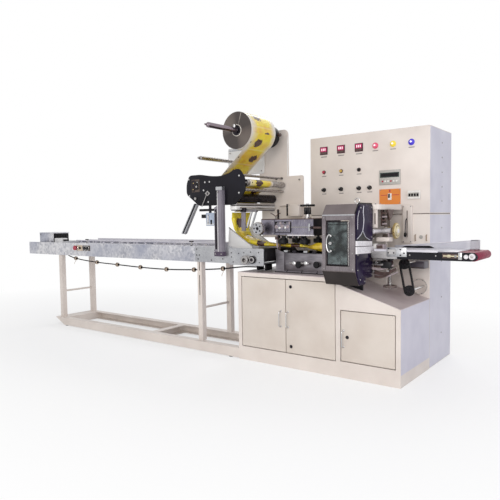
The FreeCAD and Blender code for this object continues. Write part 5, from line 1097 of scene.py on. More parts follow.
# %% Shaft, chucks and brake hub
shaft_y, hub_y = limits("unwind_shaft")[1], limits("brake_hub")[1]
hub_start, hub_end = hub_y
shaft = knobs(worn_chrome, shaft_y[0], [(1, 0), (6, -1), (7, -12), (5, -18), (14, -24), (18, -30),
                                        (18, shaft_y[0] - shaft_y[1])], 36, reel_at)
shaft += knobs(dark_steel_and_shade, reel_y[0], [(19, 22), (24, 20), (24, 8), (37, 6), (37, -12), (19, -12)], 40,
               reel_at)
shaft += bars(dark_steel_and_shade, "Y", reel_y[1] - 14, reel_y[1], 37, 1, 32, reel_at)
shaft += blocks(chrome, (reel_at[0] - 8, reel_at[0] + 8, reel_y[0] - 34, reel_y[0] - 20,
                         reel_at[1] - 2, reel_at[1] + 40, 3))
piece("unwind_shaft_and_chucks", shaft, "unwind_shaft", "reel")
hub = knobs(black_plastic, hub_start, [(19, 0), (60, -1), (78, -14), (82, -24), (82, -60), (76, -66),
                                       (76, -84), (82, -90), (82, hub_start - hub_end + 3),
                                       (79, hub_start - hub_end), (19, hub_start - hub_end)], 56, reel_at)
hub += bars(white_plastic, "Y", hub_start - 2, hub_start + 18, 6, 1, 16,
            *on_circle(reel_at, 66, 3, np.radians(20)))
hub += knobs(brown_plastic, hub_end, [(5, 40), (13, 36), (15, 22), (13, 8), (5, 4)], 24,
             (reel_at[0] + 92, reel_at[1] + 6))
hub += bars(dark_steel_and_shade, "X", reel_at[0] + 70, reel_at[0] + 84, 6, 1, 16, (hub_end - 22, reel_at[1] + 6))
piece("brake_hub_body", hub, "brake_hub", "reel")

# %% [markdown]
# The film leaves the reel, runs down to a roller behind the black side plate, round it, over the lead roller
# and down past the drum. It is one sheet whose path in side view is made of straight runs and arcs round the
# rollers, so the print runs on without a break: u is the length along the path and v the distance across the
# web.

# %% Film web
DANCER, LEAD, SECOND, DRUM = (-890, 1239), (-559, 1272), (-559, 1221), (-655, 1166)
ROLL, DRUM_RADIUS = 23, 32


def around(centre, radius, start, stop, count):
    """Points on an arc whose angle goes from start to stop in degrees."""
    return polar(centre, radius, np.radians(np.linspace(start, stop, count)))


def film_sheet(path, low, high, thickness=1):
    """The path carried across the web. Its length so far is u and the distance across is v, and a second
    layer lies a film thickness behind the first."""
    length = np.concatenate([[0], np.cumsum(np.linalg.norm(np.diff(path, axis=0), axis=1))])
    tangent = np.gradient(path, axis=0)
    tangent /= np.linalg.norm(tangent, axis=1, keepdims=True)
    normal = np.stack([-tangent[:, 1], tangent[:, 0]], axis=1)
    ring = np.vstack([path, (path + normal * thickness)[::-1]])
    ring_length = np.concatenate([length, length[::-1]])
    y = np.linspace(low, high, 5)[:, None]
    uv = np.stack(np.broadcast_arrays(ring_length * 0.001, (y - low) * 0.001), axis=-1)
    return skin(on_axis("Y", ring[:, 0], ring[:, 1], y)), uv


run = np.array(DANCER) - np.array(reel_at)
lean = np.arcsin((REEL + 1 + ROLL + 1) / np.linalg.norm(run))
leave = np.degrees(np.arctan2(run[1], run[0]) + np.pi / 2 - lean)
web_path = np.vstack([
    around(reel_at, REEL + 1, leave + 40, leave, 10), around(DANCER, ROLL + 1, leave + 180, 270, 14),
    around(LEAD, ROLL + 1, -84, 95, 16), around(DRUM, DRUM_RADIUS + 1, 135, 180, 8),
    [(-688, 1110), (-689, 1064)],
])
shape, uv = film_sheet(web_path, *limits("film_web")[1])
piece("film_web_sheet", [(shape, film_print)], "film_web", uv=uv)
print("web path", round(float(np.linalg.norm(np.diff(web_path, axis=0), axis=1).sum())), "mm")

# %% [markdown]
# Past the drum the sheet is gathered: it drops in soft folds, is closed to a tube in the former, is drawn
# narrow by the wheels and opens again before the jaws. A cross-section is a rounded box, |cos a|^0.6 and |sin
# a|^0.7 times half its width and height, that changes from station to station, and small waves along it are
# the creases.

# %% Film fold and tube
STATIONS = np.array([
    # X, Z, lean, half width, half height
    (-738, 1064, 90, 120, 2), (-746, 1000, 88, 112, 12), (-742, 935, 76, 98, 20), (-712, 884, 50, 84, 22),
    (-655, 848, 26, 70, 22), (-590, 832, 10, 60, 20), (-520, 824, 3, 50, 16), (-440, 820, 0, 38, 10),
    (-370, 818, 0, 40, 9), (-300, 818, 0, 48, 12), (-230, 817, 0, 44, 12), (-180, 816, 0, 30, 10),
    (-150, 812, 0, 26, 7), (-120, 810, 0, 34, 12), (-80, 811, 0, 54, 24), (0, 813, 0, 60, 28),
    (120, 815, 0, 62, 25), (200, 816, 0, 58, 15), (250, 817, 0, 56, 8), (276, 817, 0, 55, 4),
], float)
SECTIONS = 160
between = np.linspace(0, len(STATIONS) - 1, SECTIONS)
stations = np.stack([np.interp(between, np.arange(len(STATIONS)), column) for column in STATIONS.T], axis=1)
padded = np.pad(stations, ((2, 2), (0, 0)), mode="edge")
stations = np.stack([np.convolve(column, np.array([1, 2, 3, 2, 1]) / 9, mode="valid") for column in padded.T],
                    axis=1)
centre_x, centre_z, lean, half_width, half_height = [column[:, None] for column in stations.T]
lean = np.radians(lean)
a = np.linspace(0, 2 * np.pi, 64, endpoint=False)
side = np.sign(np.cos(a)) * np.abs(np.cos(a)) ** 0.6 * half_width
creases = 1 + 0.16 * np.sin(5 * a + centre_x * 0.045) + 0.1 * np.sin(9 * a - centre_x * 0.03)
folds = 9 * np.sin(side * 0.085) * np.sin(lean) ** 2 * (half_height > 8)
rise = np.sign(np.sin(a)) * np.abs(np.sin(a)) ** 0.7 * half_height * creases + folds
grid = np.stack([centre_x - np.sin(lean) * rise, -20 + side, centre_z + np.cos(lean) * rise], axis=-1)
travelled = np.concatenate([[0], np.cumsum(np.hypot(*np.diff(stations[:, :2], axis=0).T))])[:, None]
uv = np.stack(np.broadcast_arrays(travelled * 0.001, 0.15 + side * 0.00121), axis=-1)
piece("folded_film_tube", [(skin(grid), tube_print)], "film_tube", uv=uv)

# %% [markdown]
# The film gear hangs on a cream plate that stands behind the deck, and a tall upright with a rounded head
# carries the reel's shaft. A crossbeam of two slim rails runs forward to the side plate, with a strap and a
# bright stay hanging from it; the dark strip in the gap between the rails is painted shadow.

# %% Rear plate, crossbeam and upright
upright_x, _, upright_z = limits("unwind_plate")
bracket_x, _, bracket_z = limits("spare_shaft_bracket")
SPARE = (-900, bracket_z[1] - 141)
STAY = [(-572, 1066), (-556, 1066), (-606, 944), (-622, 944)]
upright_bolts = list(product(inset(upright_x, 24), (1150, 1240)))
frame_outline = rounded([(-605, 633), (-378, 633), (-378, 1340), (-772, 1340), (-772, 860), (-605, 860)],
                        [2, 2, 14, 14, 8, 8])
rear = [(plate("Y", frame_outline, 288, 300, 2.5), cream_coat), (plate("Y", STAY, -128, -120, 1.5), chrome),
        (plate("Y", np.add(STAY, (34, 0)), -118, -110, 1.5), alloy)]
rear += blocks(stainless, (-700, -640, -208, 288, 1112, 1128, 2.5))
rear += blocks(white_coat, (-700, -640, -208, 288, 1080, 1107, 2.5))
# The thin dark block between the two rails is painted shadow inside the channel.
rear += blocks(dark_steel_and_shade, (-698, -643, -206, 288, 1106, 1112, 1), (-656, -612, -146, -122, 1062, 1092, 2.5))
rear += blocks(bench_steel, (-694, -646, -204, 288, 1072, 1080, 1), (-640, -520, -134, -106, 1062, 1076, 2))
rear += blocks(chrome, (-640, -628, -190, 280, 1088, 1098, 2))
rear += blocks(lilac_coat, (-652, -616, -140, -128, 924, 1080, 2))
rear += bars(turned_steel, "Y", -146, -138, 6, 1, 6, (-634, 1000))
rear += bars(turned_steel, "Y", 281, 289, 7, 1.2, 6, (-740, 1308), (-410, 1308), (-410, 900), (-410, 660),
             (-740, 900), (-575, 660))
piece("rear_plate_and_crossbeam", rear, "rear_frame_plate")

BEARING = [(18.5, 262), (34, 262), (38, 265), (38, 276), (45, 279), (45, 300), (18.5, 300)]
upright = [(plate("Y", rectangle(upright_x, upright_z, [2, 2, 46, 46], 8), 300, 312, 3), cream_coat),
           (turned("Y", reel_at, BEARING, 48), cream_coat)]
upright += blocks(white_coat, (upright_x[1] - 9, upright_x[1] - 3, 297.5, 301, upright_z[0] + 6,
                               upright_z[1] - 60, 1.2))
upright += bars(dark_steel_and_shade, "Y", 272, 282, 4, 0.8, 6, *on_circle(reel_at, 41, 4, np.pi / 4))
upright += bars(turned_steel, "Y", 293, 301, 6, 1, 6, *upright_bolts)
piece("upright_and_bearing", upright, "unwind_plate")

SPARE_SHAFT = [(1, -325), (7, -324), (9, -318), (9, -306), (15, -300), (15, 280), (24, 282), (24, 289)]
bracket = [(plate("Y", rectangle(bracket_x, bracket_z, 16, 4), 288, 300, 2.5), white_coat),
           (turned("Y", SPARE, SPARE_SHAFT, 32), turned_steel)]
bracket += blocks(alloy, (bracket_x[0] + 14, bracket_x[1] - 8, 286, 289,
                          bracket_z[1] - 26, bracket_z[1] - 8, 2))
bracket += bars(turned_steel, "Y", 282, 289, 6, 1, 6,
                *product(inset(bracket_x, 24), (bracket_z[0] + 24, bracket_z[1] - 40)))
piece("bracket_and_spare_shaft", bracket, "spare_shaft_bracket")

# %% [markdown]
# Each end of a roller turns in the black side plate and the rear plate. The lead roller is bright and carries
# the film, the drum is dark, and two tie rods keep the plates apart. A roller is a turned cylinder with a
# step to its journal.

# %% Rollers and tie rods
FRONT_END, REAR_END = limits("guide_rollers")[1]
TIE_RODS = [(-571, 1326), (-621, 1326)]


def roller(finish, at, radius, journal, high=REAR_END):
    """Its journal is 10 mm long at each end, and its own edges are 1.5 mm."""
    low, e = FRONT_END, 1.5
    profile = [(journal, low), (journal, low + 10), (radius - e, low + 10), (radius, low + 10 + e),
               (radius, high - 10 - e), (radius - e, high - 10), (journal, high - 10), (journal, high)]
    return turned("Y", at, profile, 40), finish


rollers = [roller(turned_steel, LEAD, ROLL, 8), roller(turned_steel, SECOND, 10, 6),
           roller(dark_steel_and_shade, DRUM, DRUM_RADIUS, 10), roller(turned_steel, DANCER, ROLL, 8, 120)]
rollers += bars(turned_steel, "Y", FRONT_END, REAR_END, 6, 1, 24, *TIE_RODS)
rollers += bars(dark_steel_and_shade, "Y", REAR_END - 16, REAR_END, 9, 1, 6, *TIE_RODS)
piece("rollers_and_tie_rods", rollers, "guide_rollers")

# %% [markdown]
# From behind, the upright and the rear plate show what holds the shafts: a flanged bearing with four bolts
# for the reel, and a washer with a nut on each roller's journal.

# %% Bearings and nuts behind the plates
BRACKET_NUT = (-900, 1549)
FLANGE = [(52, 311), (52, 318), (48, 321), (34, 322), (32, 334), (28, 337), (20, 337)]
behind = [(turned("Y", reel_at, FLANGE, 48), cast_grey)]
behind += bars(worn_chrome, "Y", 311, 344, 18, 2, 32, reel_at)
behind += bars(dark_steel_and_shade, "Y", 336, 340, 25, 1, 6, reel_at)
behind += bars(turned_steel, "Y", 319, 327, 7, 1, 6, *on_circle(reel_at, 42, 4, np.pi / 4))
for spot, size in zip((LEAD, SECOND, DRUM, *TIE_RODS, BRACKET_NUT), (12, 9, 14, 9, 9, 14)):
    behind += bars(turned_steel, "Y", 299, 303, size + 4, 0.8, 32, spot)
    behind += bars(dark_steel_and_shade, "Y", 302, 311, size, 1.2, 6, spot)
behind += bars(turned_steel, "Y", 311, 319, 8, 1, 6, *upright_bolts)
piece("bearings_and_nuts_behind", behind)

# %% [markdown]
# The side plate is cut from 10 mm plate and painted black. It carries white-headed bolts, a small window in
# which a clamp shows, a square flange with a rod, and an inclined channel that guides the sensor.

# %% Black side plate
FRONT = limits("roller_side_plate")[1][0]
outline = rounded([
    (-1126, 1282), (-1126, 1207), (-997, 1115), (-643, 1115), (-551, 1207), (-551, 1306), (-597, 1370),
    (-643, 1370), (-700, 1345), (-772, 1330), (-860, 1333), (-979, 1352), (-1095, 1352),
], [26, 26, 24, 26, 26, 24, 20, 24, 60, 60, 60, 24, 26], 5)
FLANGE_AT = (-905, 1207)
diamond = [(-905, 1186), (-878, 1207), (-905, 1228), (-932, 1207)]
guide_rod = np.linspace((-905, FRONT - 7, 1207), (-962, FRONT - 7, 1108), 6)
side_plate = [(plate("Y", outline, FRONT, FRONT + 10, 2.2), black_coat),
              (plate("Y", diamond, FRONT - 5, FRONT, 1), turned_steel),
              (wire(guide_rod, 3.5, (0, 1, 0), 12), turned_steel)]
side_plate += knobs(chrome, FRONT, [(7, 0), (7, 3), (5.5, 4.5), (1, 4.5)], 18, (-1096, 1322), (-1092, 1195),
                    (-1028, 1172), (-600, 1322), (-945, 1232), (-900, 1143), (-930, 1292), (-885, 1293),
                    (-604, 1200), (-760, 1150))
# Painted shade: the dark inside of the small window.
side_plate += blocks(shade_coat, (-1068, -988, FRONT - 1, FRONT + 1, 1222, 1318, 0.5))
side_plate += blocks(dark_steel_and_shade, (-1062, -1034, FRONT - 6, FRONT, 1228, 1312, 2))
side_plate += blocks(black_gloss, (-1030, -996, FRONT - 4, FRONT, 1240, 1304, 2))
side_plate += bars(turned_steel, "Y", FRONT - 12, FRONT, 9, 1.5, 20, (-1012, 1262))
side_plate += bars(turned_steel, "Y", FRONT - 10, FRONT, 12, 1.5, 6, (-1028, 1172))
side_plate += bars(dark_steel_and_shade, "Y", FRONT - 8, FRONT, 8, 1, 20, FLANGE_AT)
side_plate += bars(chrome, "Y", FRONT - 9, FRONT, 5, 1, 16, (-1004, 1296))
side_plate += bars(brass, "Y", FRONT - 9, FRONT, 5, 1, 16, (-1044, 1290), (-1048, 1242))
for x in (0, 27):
    strip = [(x - 1062, 1135), (x - 1204, 906), (x - 1197, 901), (x - 1055, 1135)]
    side_plate.append((plate("Y", strip, FRONT + 12, FRONT + 42, 0.8), alloy))
strip = [(-1060, 1135), (-1202, 904), (-1172, 896), (-1030, 1135)]
side_plate.append((plate("Y", strip, FRONT + 26, FRONT + 30, 0.8), dark_steel_and_shade))
piece("black_side_plate", side_plate, "roller_side_plate")

# %% [markdown]
# The post is a folded profile, wider at the bottom, with a long slot that shows bright metal inside. Under it
# is a plum-coloured clamp. The print sensor hangs from a dark bracket beside it.

# %% Post and print sensor
(left, right), (front, back), (low, high) = limits("front_post")
post_outline = [(left + 30, high), (left + 30, 1113), (left, 1098), (left, low + 20), (right, low + 20),
                (right, high)]
post = [(plate("Y", rounded(post_outline, 3), front + 4, back, 2.2), lilac_coat)]
post += blocks(dark_steel_and_shade, (left + 6, left + 26, front + 3, front + 5, 790, 1085, 0.8))
post += blocks(white_coat, (left + 33, left + 37, front + 1.5, front + 5, 768, high - 30, 1))
post += blocks(violet_grey_and_shade, (right - 7, right - 3, front + 2.5, front + 5, 768, high - 10, 0.8))
post += blocks(alloy, (left + 22, right + 2, front + 1, back - 2, high - 26, high, 2))
post += blocks(plum_plastic, (left - 4, right + 4, front, back, low, low + 34, 2.5))
post += bars(turned_steel, "Y", front - 3, front + 5, 7, 1, 6, (left + 42, high - 38))
post += bars(turned_steel, "Y", front - 3, front + 5, 6, 1, 6, (left + 16, 1062))
post += bars(turned_steel, "Y", front - 3, front + 2, 6, 1, 6, (left + 10, low + 17), (right - 12, low + 17))
piece("profile_post", post, "front_post")
(left, right), (front, back), (low, _) = limits("print_sensor")
sensor = blocks(sensor_blue, (left, right, front, back, low, 1062, 4))
sensor += blocks(alloy, (left + 8, left + 34, front - 1, front + 2, 978, 1004, 1))
sensor += blocks(black_gloss, (left + 46, left + 62, front - 1, front + 2, 974, 1008, 1))
sensor += blocks(white_coat, (left + 4, right - 4, front - 0.8, front + 2, 972, 980, 1))
sensor += bars(alloy, "Z", 982, 1046, 8, 1.5, 20, (left + 24, front - 1))
sensor += blocks(black_plastic, (-1000, -800, front + 4, front + 20, 1074, 1092, 2),
                 (-985, -938, front + 10, front + 44, 1022, 1050, 3))
sensor += blocks(dark_steel_and_shade, (-898, -878, front, front + 10, 1060, 1116, 1))
piece("print_sensor_body", sensor, "print_sensor")

# %% [markdown]
# The former folds the film: two triangular sheet plates with a bright rolled edge stand on a tray.

# %% Forming plates
(left, right), (front, back), (low, high) = limits("forming_box")
triangle = rounded([(left, low + 2), (right, low + 2), (right, low + 20), (left + 14, high)], 4)
former = blocks(stainless, (left + 2, right + 60, front + 8, back - 8, low, low + 5, 1),
                (left + 30, right + 60, front + 2, front + 7, low, low + 26, 1.2))
for y in (front + 1.5, back - 1.5):
    former.append((plate("Y", triangle, y - 1.5, y + 1.5, 0.8), white_coat))
    rolled_edge = np.linspace((left + 12, y, high - 3), (right - 2, y, low + 20), 8)
    former.append((wire(rolled_edge, 4, (0, 1, 0), 14), chrome))
piece("forming_plates", former, "forming_box")

# %% [markdown]
# The sealing head is a long case of blued sheet with bright edges. Its middle is open and shows springs and
# small bearings, its right end is black, and a short rod joins the two. Heaters and a hanger show under it.

# %% Sealing head
(left, right), (EDGE, back), _ = limits("seal_head")
HEAD_LOW, HEAD_HIGH, HEAD_BACK, HEAD_END = 890, 1009, 90, -34
case = blocks(head_steel, (left, HEAD_END, EDGE, HEAD_BACK, HEAD_LOW + 6, HEAD_HIGH - 6, 2),
              (-338, -218, EDGE - 3, EDGE, 914, 984, 1))
case += blocks(black_coat, (HEAD_END, right, EDGE + 6, HEAD_BACK, HEAD_LOW + 2, HEAD_HIGH - 6, 3))
case += blocks(brown_plastic, (left + 4, HEAD_END, EDGE - 2, HEAD_BACK - 2, HEAD_HIGH - 6, HEAD_HIGH, 1.2))
# The bar along the lower edge is steel painted near-white: painted reflection.
case += blocks(steel_painted_bright, (-240, HEAD_END + 6, EDGE - 4, EDGE + 4, HEAD_LOW, HEAD_LOW + 8, 1.5))
case += blocks(dark_steel_and_shade, (-348, -344, EDGE - 2, EDGE + 2, HEAD_LOW + 8, HEAD_HIGH - 8, 0.8),
               (-345, -212, EDGE - 1.5, EDGE + 2, 908, 990, 1))
case += blocks(cream_coat, (-455, -390, HEAD_BACK - 2, back, 920, 979, 2))
case += blocks(black_gloss, (-216, -208, EDGE - 5, EDGE, 918, 984, 1.5))
case += blocks(alloy, (-70, -54, EDGE - 9, EDGE + 2, 922, 974, 2.5))
case += bars(turned_steel, "X", -206, -60, 4, 0.8, 18, (EDGE - 5, 950))
case += bars(brown_plastic, "X", -58, right + 60, 7, 0.8, 24, (EDGE - 5, 946))
case.append((turned("X", (EDGE - 5, 946), [(7, -50), (12, -48), (12, -32), (7, -30)], 6), dark_steel_and_shade))
rim_screws = product((-456, -362, -196, -100, -46), (904, 992))
case += bars(turned_steel, "Y", EDGE - 3, EDGE + 1, 4, 0.6, 14, *rim_screws)
for x, z, size, finish in ((-330, 952, 13, rose_casting), (-306, 944, 11, chrome),
                           (-282, 956, 13, rose_casting), (-258, 946, 11, chrome),
                           (-234, 952, 12, rose_casting)):
    case += knobs(finish, EDGE, [(size, 0), (size, 5), (size * 0.72, 7), (size * 0.6, 4), (1, 4)], 28, (x, z))
coil = np.linspace(0, 2 * np.pi * 9, 160)
for z, radius in ((974, 4.5), (926, 5.5)):
    spring = np.stack([-330 + 11 * coil / (2 * np.pi), EDGE - 5 + radius * np.cos(coil),
                       z + radius * np.sin(coil)], 1)
    case.append((wire(spring, 1.5, (1, 0, 0), 8), turned_steel))
for x, finish in zip((-336, -300, -262, -226), (black_gloss, rose_casting) * 2):
    case += blocks(finish, (x, x + 12, EDGE - 8, EDGE, 968, 988, 1.5))
for k in range(9):
    x, size = -340 + k * 24, (10, 6, 13, 7)[k % 4]
    case += blocks((dark_steel_and_shade, rose_casting, black_gloss, turned_steel)[k % 4],
                   (x, x + size + 4, -128, -96, 884 - size * 1.5, 890, 2))
case += blocks(rose_casting, (-352, -338, -126, -117, 776, 908, 2))
case += blocks(brown_plastic, (-362, -330, -128, -116, 862, 884, 2), (-334, -322, -122, -112, 776, 838, 2))
case += bars(turned_steel, "Y", -130, -116, 7, 1, 20, (-345, 848))
case += bars(dark_steel_and_shade, "Y", -130, -116, 6, 1, 6, (-345, 800))
piece("sealing_head_case", case, "seal_head")

# %% [markdown]
# Four dark wheels hang below the head and pull the film's fin. At its left end turns a knurled wheel, whose
# outline is a circle with 60 small waves: r = 45.3 + 0.7 cos(60 a).

# %% Pulling and knurled wheels
KNURLED, WHEEL_FACE = (-439, 942), limits("pulling_wheels")[1][0]
WHEEL = [(9, HEAD_LOW), (9, 876), (17, 874), (17, 866), (33, 865), (36, 862), (36, 838), (33, 835), (20, 834),
         (18, 830), (1, 830)]
wheels = [(turned("Z", spot, WHEEL, 40), black_plastic) for spot in product((-303, -122), (-109.3, 69.3))]
a = np.linspace(0, 2 * np.pi, 120, endpoint=False)
knurl = polar(KNURLED, 45.3 + 0.7 * np.cos(60 * a), a)
wheels.append((plate("Y", knurl, WHEEL_FACE + 1, WHEEL_FACE + 34, 1.5), turned_steel))
wheels += knobs(alloy, WHEEL_FACE, [(38, -2), (38, 0), (16, 0), (14, 0), (12, -1), (1, -1)], 40, KNURLED)
wheels += bars(black_gloss, "Y", WHEEL_FACE - 0.6, WHEEL_FACE + 1, 6.5, 0.3, 20,
               *on_circle(KNURLED, 27, 5, 0.6))
wheels += bars(dark_steel_and_shade, "Y", WHEEL_FACE - 0.8, WHEEL_FACE + 2, 8, 0.5, 20, KNURLED)
wheels += bars(dark_steel_and_shade, "Y", WHEEL_FACE + 34, EDGE, 12, 0.5, 24, KNURLED)
piece("pulling_and_knurled_wheels", wheels, "pulling_wheels")

# %% [markdown]
# The bench under the film is a ground steel box with a flange bolted to the deck, a rounded end plate at the
# left, and two pairs of knobs on its front.

# %% Bench
(left, right), (front, back), (low, high) = limits("seal_bench")
end_outline = rounded([(front, low), (back, low), (back, high), (front + 4, high)], [2, 2, 16, 16])
left_plate = rounded([(-350, low + 3), (left + 48, low + 3), (left + 48, high),
                      (-352, high + 22), (-345, high - 50)], [1, 1, 2, 4, 60])
bench = [(plate("X", end_outline, left + 34, left + 46, 1.5), bench_steel),
         (plate("Y", left_plate, front + 1, front + 7, 1.5), bench_steel)]
bench += blocks(bench_steel, (left + 44, right, front + 6, back, low + 12, high, 3),
                (left + 30, right, front, back, low, low + 14, 2))
bench += blocks(dark_steel_and_shade, (left + 40, right - 10, front + 2, back - 4, high - 4, high, 1),
                (-356, right, front - 3, back, low, low + 6, 1))
for x in (left + 70, left + 190, left + 310, right - 24):
    bench += bars(dark_steel_and_shade, "Z", low + 12, low + 20, 7, 1, 6, (x, front + 10))
    bench += bars(dark_steel_and_shade, "Y", front - 3, front + 2, 4.5, 0.8, 14, (x, low + 7))
for x, z in ((-181, 702), (-88, 705)):
    bench += knobs(chrome, front, [(8, -6), (8, 12), (14, 14), (15, 26), (10, 30), (1, 31)], 24, (x, z))
    bench += bars(chrome, "X", x - 38, x + 26, 5, 0.8, 14, (front - 20, z))
    for nut in (x - 36, x - 22):
        bench += bars(turned_steel, "X", nut, nut + 7, 9, 1, 6, (front - 20, z))
bench += knobs(black_gloss, front, [(8, -6), (8, 8), (20, 10), (23, 16), (23, 24), (18, 28), (1, 29)], 28,
               (-148, 693), (-7, 699))
for finish, places in ((alloy, (-270, -110)), (dark_steel_and_shade, (-200, -40, 40))):
    bench += blocks(finish, *[(x - 16, x + 16, front + 10, front + 40, high - 2, high + 14, 2)
                              for x in places])
piece("fin_seal_bench", bench, "seal_bench")

# %% [markdown]
# Each handwheel is a disc with finger hollows in its rim. The upper one stands on a black three-lobed column
# over a steel screw; the lower one hangs under the discharge conveyor.

# %% Handwheels and their stems
TOP_AT, LOW_AT = (-138, -50), (462, -60)


def handwheel(at, z, radius, lobes):
    """A flat disc with a rounded rim, a hub, and finger hollows: the rim's radius is R (1 - 0.05 cos(lobes
    a)^8)."""
    a = np.linspace(0, 2 * np.pi, 96, endpoint=False)[None, :]
    profile = np.array([(9, z - 6), (radius * 0.8, z - 6), (radius - 2, z - 7), (radius, z - 4),
                        (radius, z + 4), (radius - 2, z + 7), (radius * 0.82, z + 6), (radius * 0.7, z + 1),
                        (24, z + 1), (20, z + 7), (9, z + 7)])
    grip = 1 - 0.05 * np.cos(lobes * a) ** 8 * (profile[:, :1] > radius * 0.75)
    rim = polar(at, profile[:, :1] * grip, a)
    return skin(on_axis("Z", rim[..., 0], rim[..., 1], profile[:, 1:]))


piece("upper_wheel", [(handwheel(TOP_AT, 1097, 52, 8), black_gloss)], "upper_handwheel",
      "upper_handwheel")
piece("lower_wheel", [(handwheel(LOW_AT, 576, 42, 6), worn_bakelite)], "lower_handwheel",
      "lower_handwheel")
a = np.linspace(0, 2 * np.pi, 72, endpoint=False)
LOW_NUT = [(8, 700), (18, 702), (18, 740), (22, 742), (22, 749), (8, 749)]
stems = [(plate("Z", polar(TOP_AT, 20 + 7 * np.cos(3 * a), a), 1036, 1084, 3), black_gloss),
         (turned("Z", TOP_AT, [(26, 1009), (26, 1015), (16, 1018), (14, 1036), (8, 1038)], 32), turned_steel),
         (turned("Z", LOW_AT, LOW_NUT, 6), dark_steel_and_shade)]
stems += bars(turned_steel, "Z", 1009, 1111, 8, 1, 24, TOP_AT)
stems += bars(turned_steel, "Z", 562, 749, 8, 1, 24, LOW_AT)
for z in range(600, 696, 8):
    stems.append((turned("Z", LOW_AT, [(8, z), (9.6, z + 2), (9.6, z + 4), (8, z + 6)], 20), turned_steel))
piece("screws_and_column", stems, "handwheel_stems")

# %% Control box and wire clip
(left, right), (front, back), (low, high) = limits("seal_control_box")
box = blocks(cream_coat, (left, right, front, back, low, high, 4))
box += blocks(black_gloss, (left - 2, left + 12, front - 3, front + 30, low + 4, high + 2, 1.5))
box += bars(turned_steel, "Y", front - 2.5, front + 1, 3, 0.6, 14,
            *product((left + 22, right - 7), (low + 8, high - 8)))
piece("small_control_box", box, "seal_control_box")
CLIP = (-372, -96)
clip = bars(turned_steel, "Z", 1009, 1018, 7, 1, 6, CLIP)
for reach in (-30, 26):
    path = bow([(*CLIP, 1009), (*CLIP, 1026), (CLIP[0] + reach, CLIP[1], 1044),
                (CLIP[0] + reach * 1.5, CLIP[1], 1048)], 12)
    clip.append((wire(path, 3.4, (0, 1, 0), 12), brown_plastic))
piece("forked_wire_clip", clip)

# %% [markdown]
# The guard is folded from sheet and painted bronze grey, with a brushed frame round its smoked window; its
# lower slope faces down and is the same coat darkened as painted shade. A glossy dark cover closes its right
# side between two bright bands, whose brightness is a painted reflection. The pale wires on the cover are
# painted highlights, streaks of reflection, and the black patch where they part is painted dark reflection.

# %% Guard
(left, right), (GUARD, back), _ = limits("guard_hood")
WIN_X, WIN_Z, FRAME_Z = (195, 349), (721, 994), (692, 1022)
trim = blocks(guard_steel, (left + 1, WIN_X[0] - 1, GUARD - 3, GUARD, *FRAME_Z, 1.2),
              (WIN_X[1], right - 1, GUARD - 3, GUARD, *FRAME_Z, 1.2),
              (WIN_X[0] - 2, WIN_X[1] + 1, GUARD - 3, GUARD, WIN_Z[1], FRAME_Z[1], 1.2),
              (WIN_X[0] - 2, WIN_X[1] + 1, GUARD - 3, GUARD, FRAME_Z[0], WIN_Z[0], 1.2))
trim += blocks(alloy, (left + 2, right - 2, GUARD - 5, GUARD, 1021, 1029, 2))
# A thin line in the same shade-darkened coat runs down the frame.
trim += blocks(shaded_slope_coat, (left + 24, left + 26, GUARD - 4, GUARD, 696, 1018, 0.5))
trim += bars(turned_steel, "Y", GUARD - 6, GUARD - 2.5, 4, 0.8, 14,
             *product((left + 14, right - 16), (704, 800, 910, 1010)))
# The lower slope faces down; its coat is darkened as painted shade.
slope = [(-347.2, 603.8), (-392.2, 686.8), (-389, 688.5), (-344, 605.5)]
trim.append((plate("X", slope, left + 1, right - 1, 0.5), shaded_slope_coat))

# %% The guard's right side
SIDE = [(back, 640), (-256, 640), (-256, 605), (-345, 605), (-390, 688), (-390, 1025), (-340, 1090),
        (back, 1090)]
UPPER_PART = [(-384, 880), (-384, 1024), (-337, 1084), (-160, 1084), (-160, 872)]
LOWER_PART = [(-384, 800), (-384, 692), (-343, 610), (-262, 610), (-262, 646), (-160, 646), (-160, 792)]
# Painted reflection: the black patch and the pale streaks over it are reflections drawn onto the glossy cover.
DARK_REFLECTION_PATCH = [(-380, 876), (-215, 870), (-272, 892), (-305, 928)]
PAINTED_HIGHLIGHT_STREAKS = [(2.6, [(-292, 1078), (-300, 1044), (-288, 990), (-305, 932)]),
         (2, [(-305, 932), (-330, 908), (-382, 884)]), (2, [(-305, 932), (-270, 890), (-205, 872)]),
         (1.4, [(-352, 1050), (-372, 1010), (-374, 940)])]
trim += [
    (plate("X", drawn_in(rounded(SIDE, [2, 2, 2, 10, 24, 20, 20, 6], 5), 3), right - 0.5, right + 2, 1),
     violet_gloss),
    (plate("X", rounded(UPPER_PART, [4, 24, 24, 8, 4]), right + 1, right + 8, 3), violet_gloss),
    (plate("X", rounded(LOWER_PART, [4, 24, 14, 4, 4, 4, 4]), right + 1, right + 7, 3), violet_gloss),
    (plate("X", rounded(DARK_REFLECTION_PATCH, [4, 8, 14, 6]), right + 7, right + 9.5, 1), black_gloss),
]
# The two bright bands are steel painted near-white: painted reflection.
for low, high, end in ((842, 873, back - 22), (796, 838, back + 62)):
    band = [(-390, low), (end, low - 9), (end, high - 9), (-390, high)]
    trim.append((plate("X", band, right + 1, right + 12, 3), steel_painted_bright))
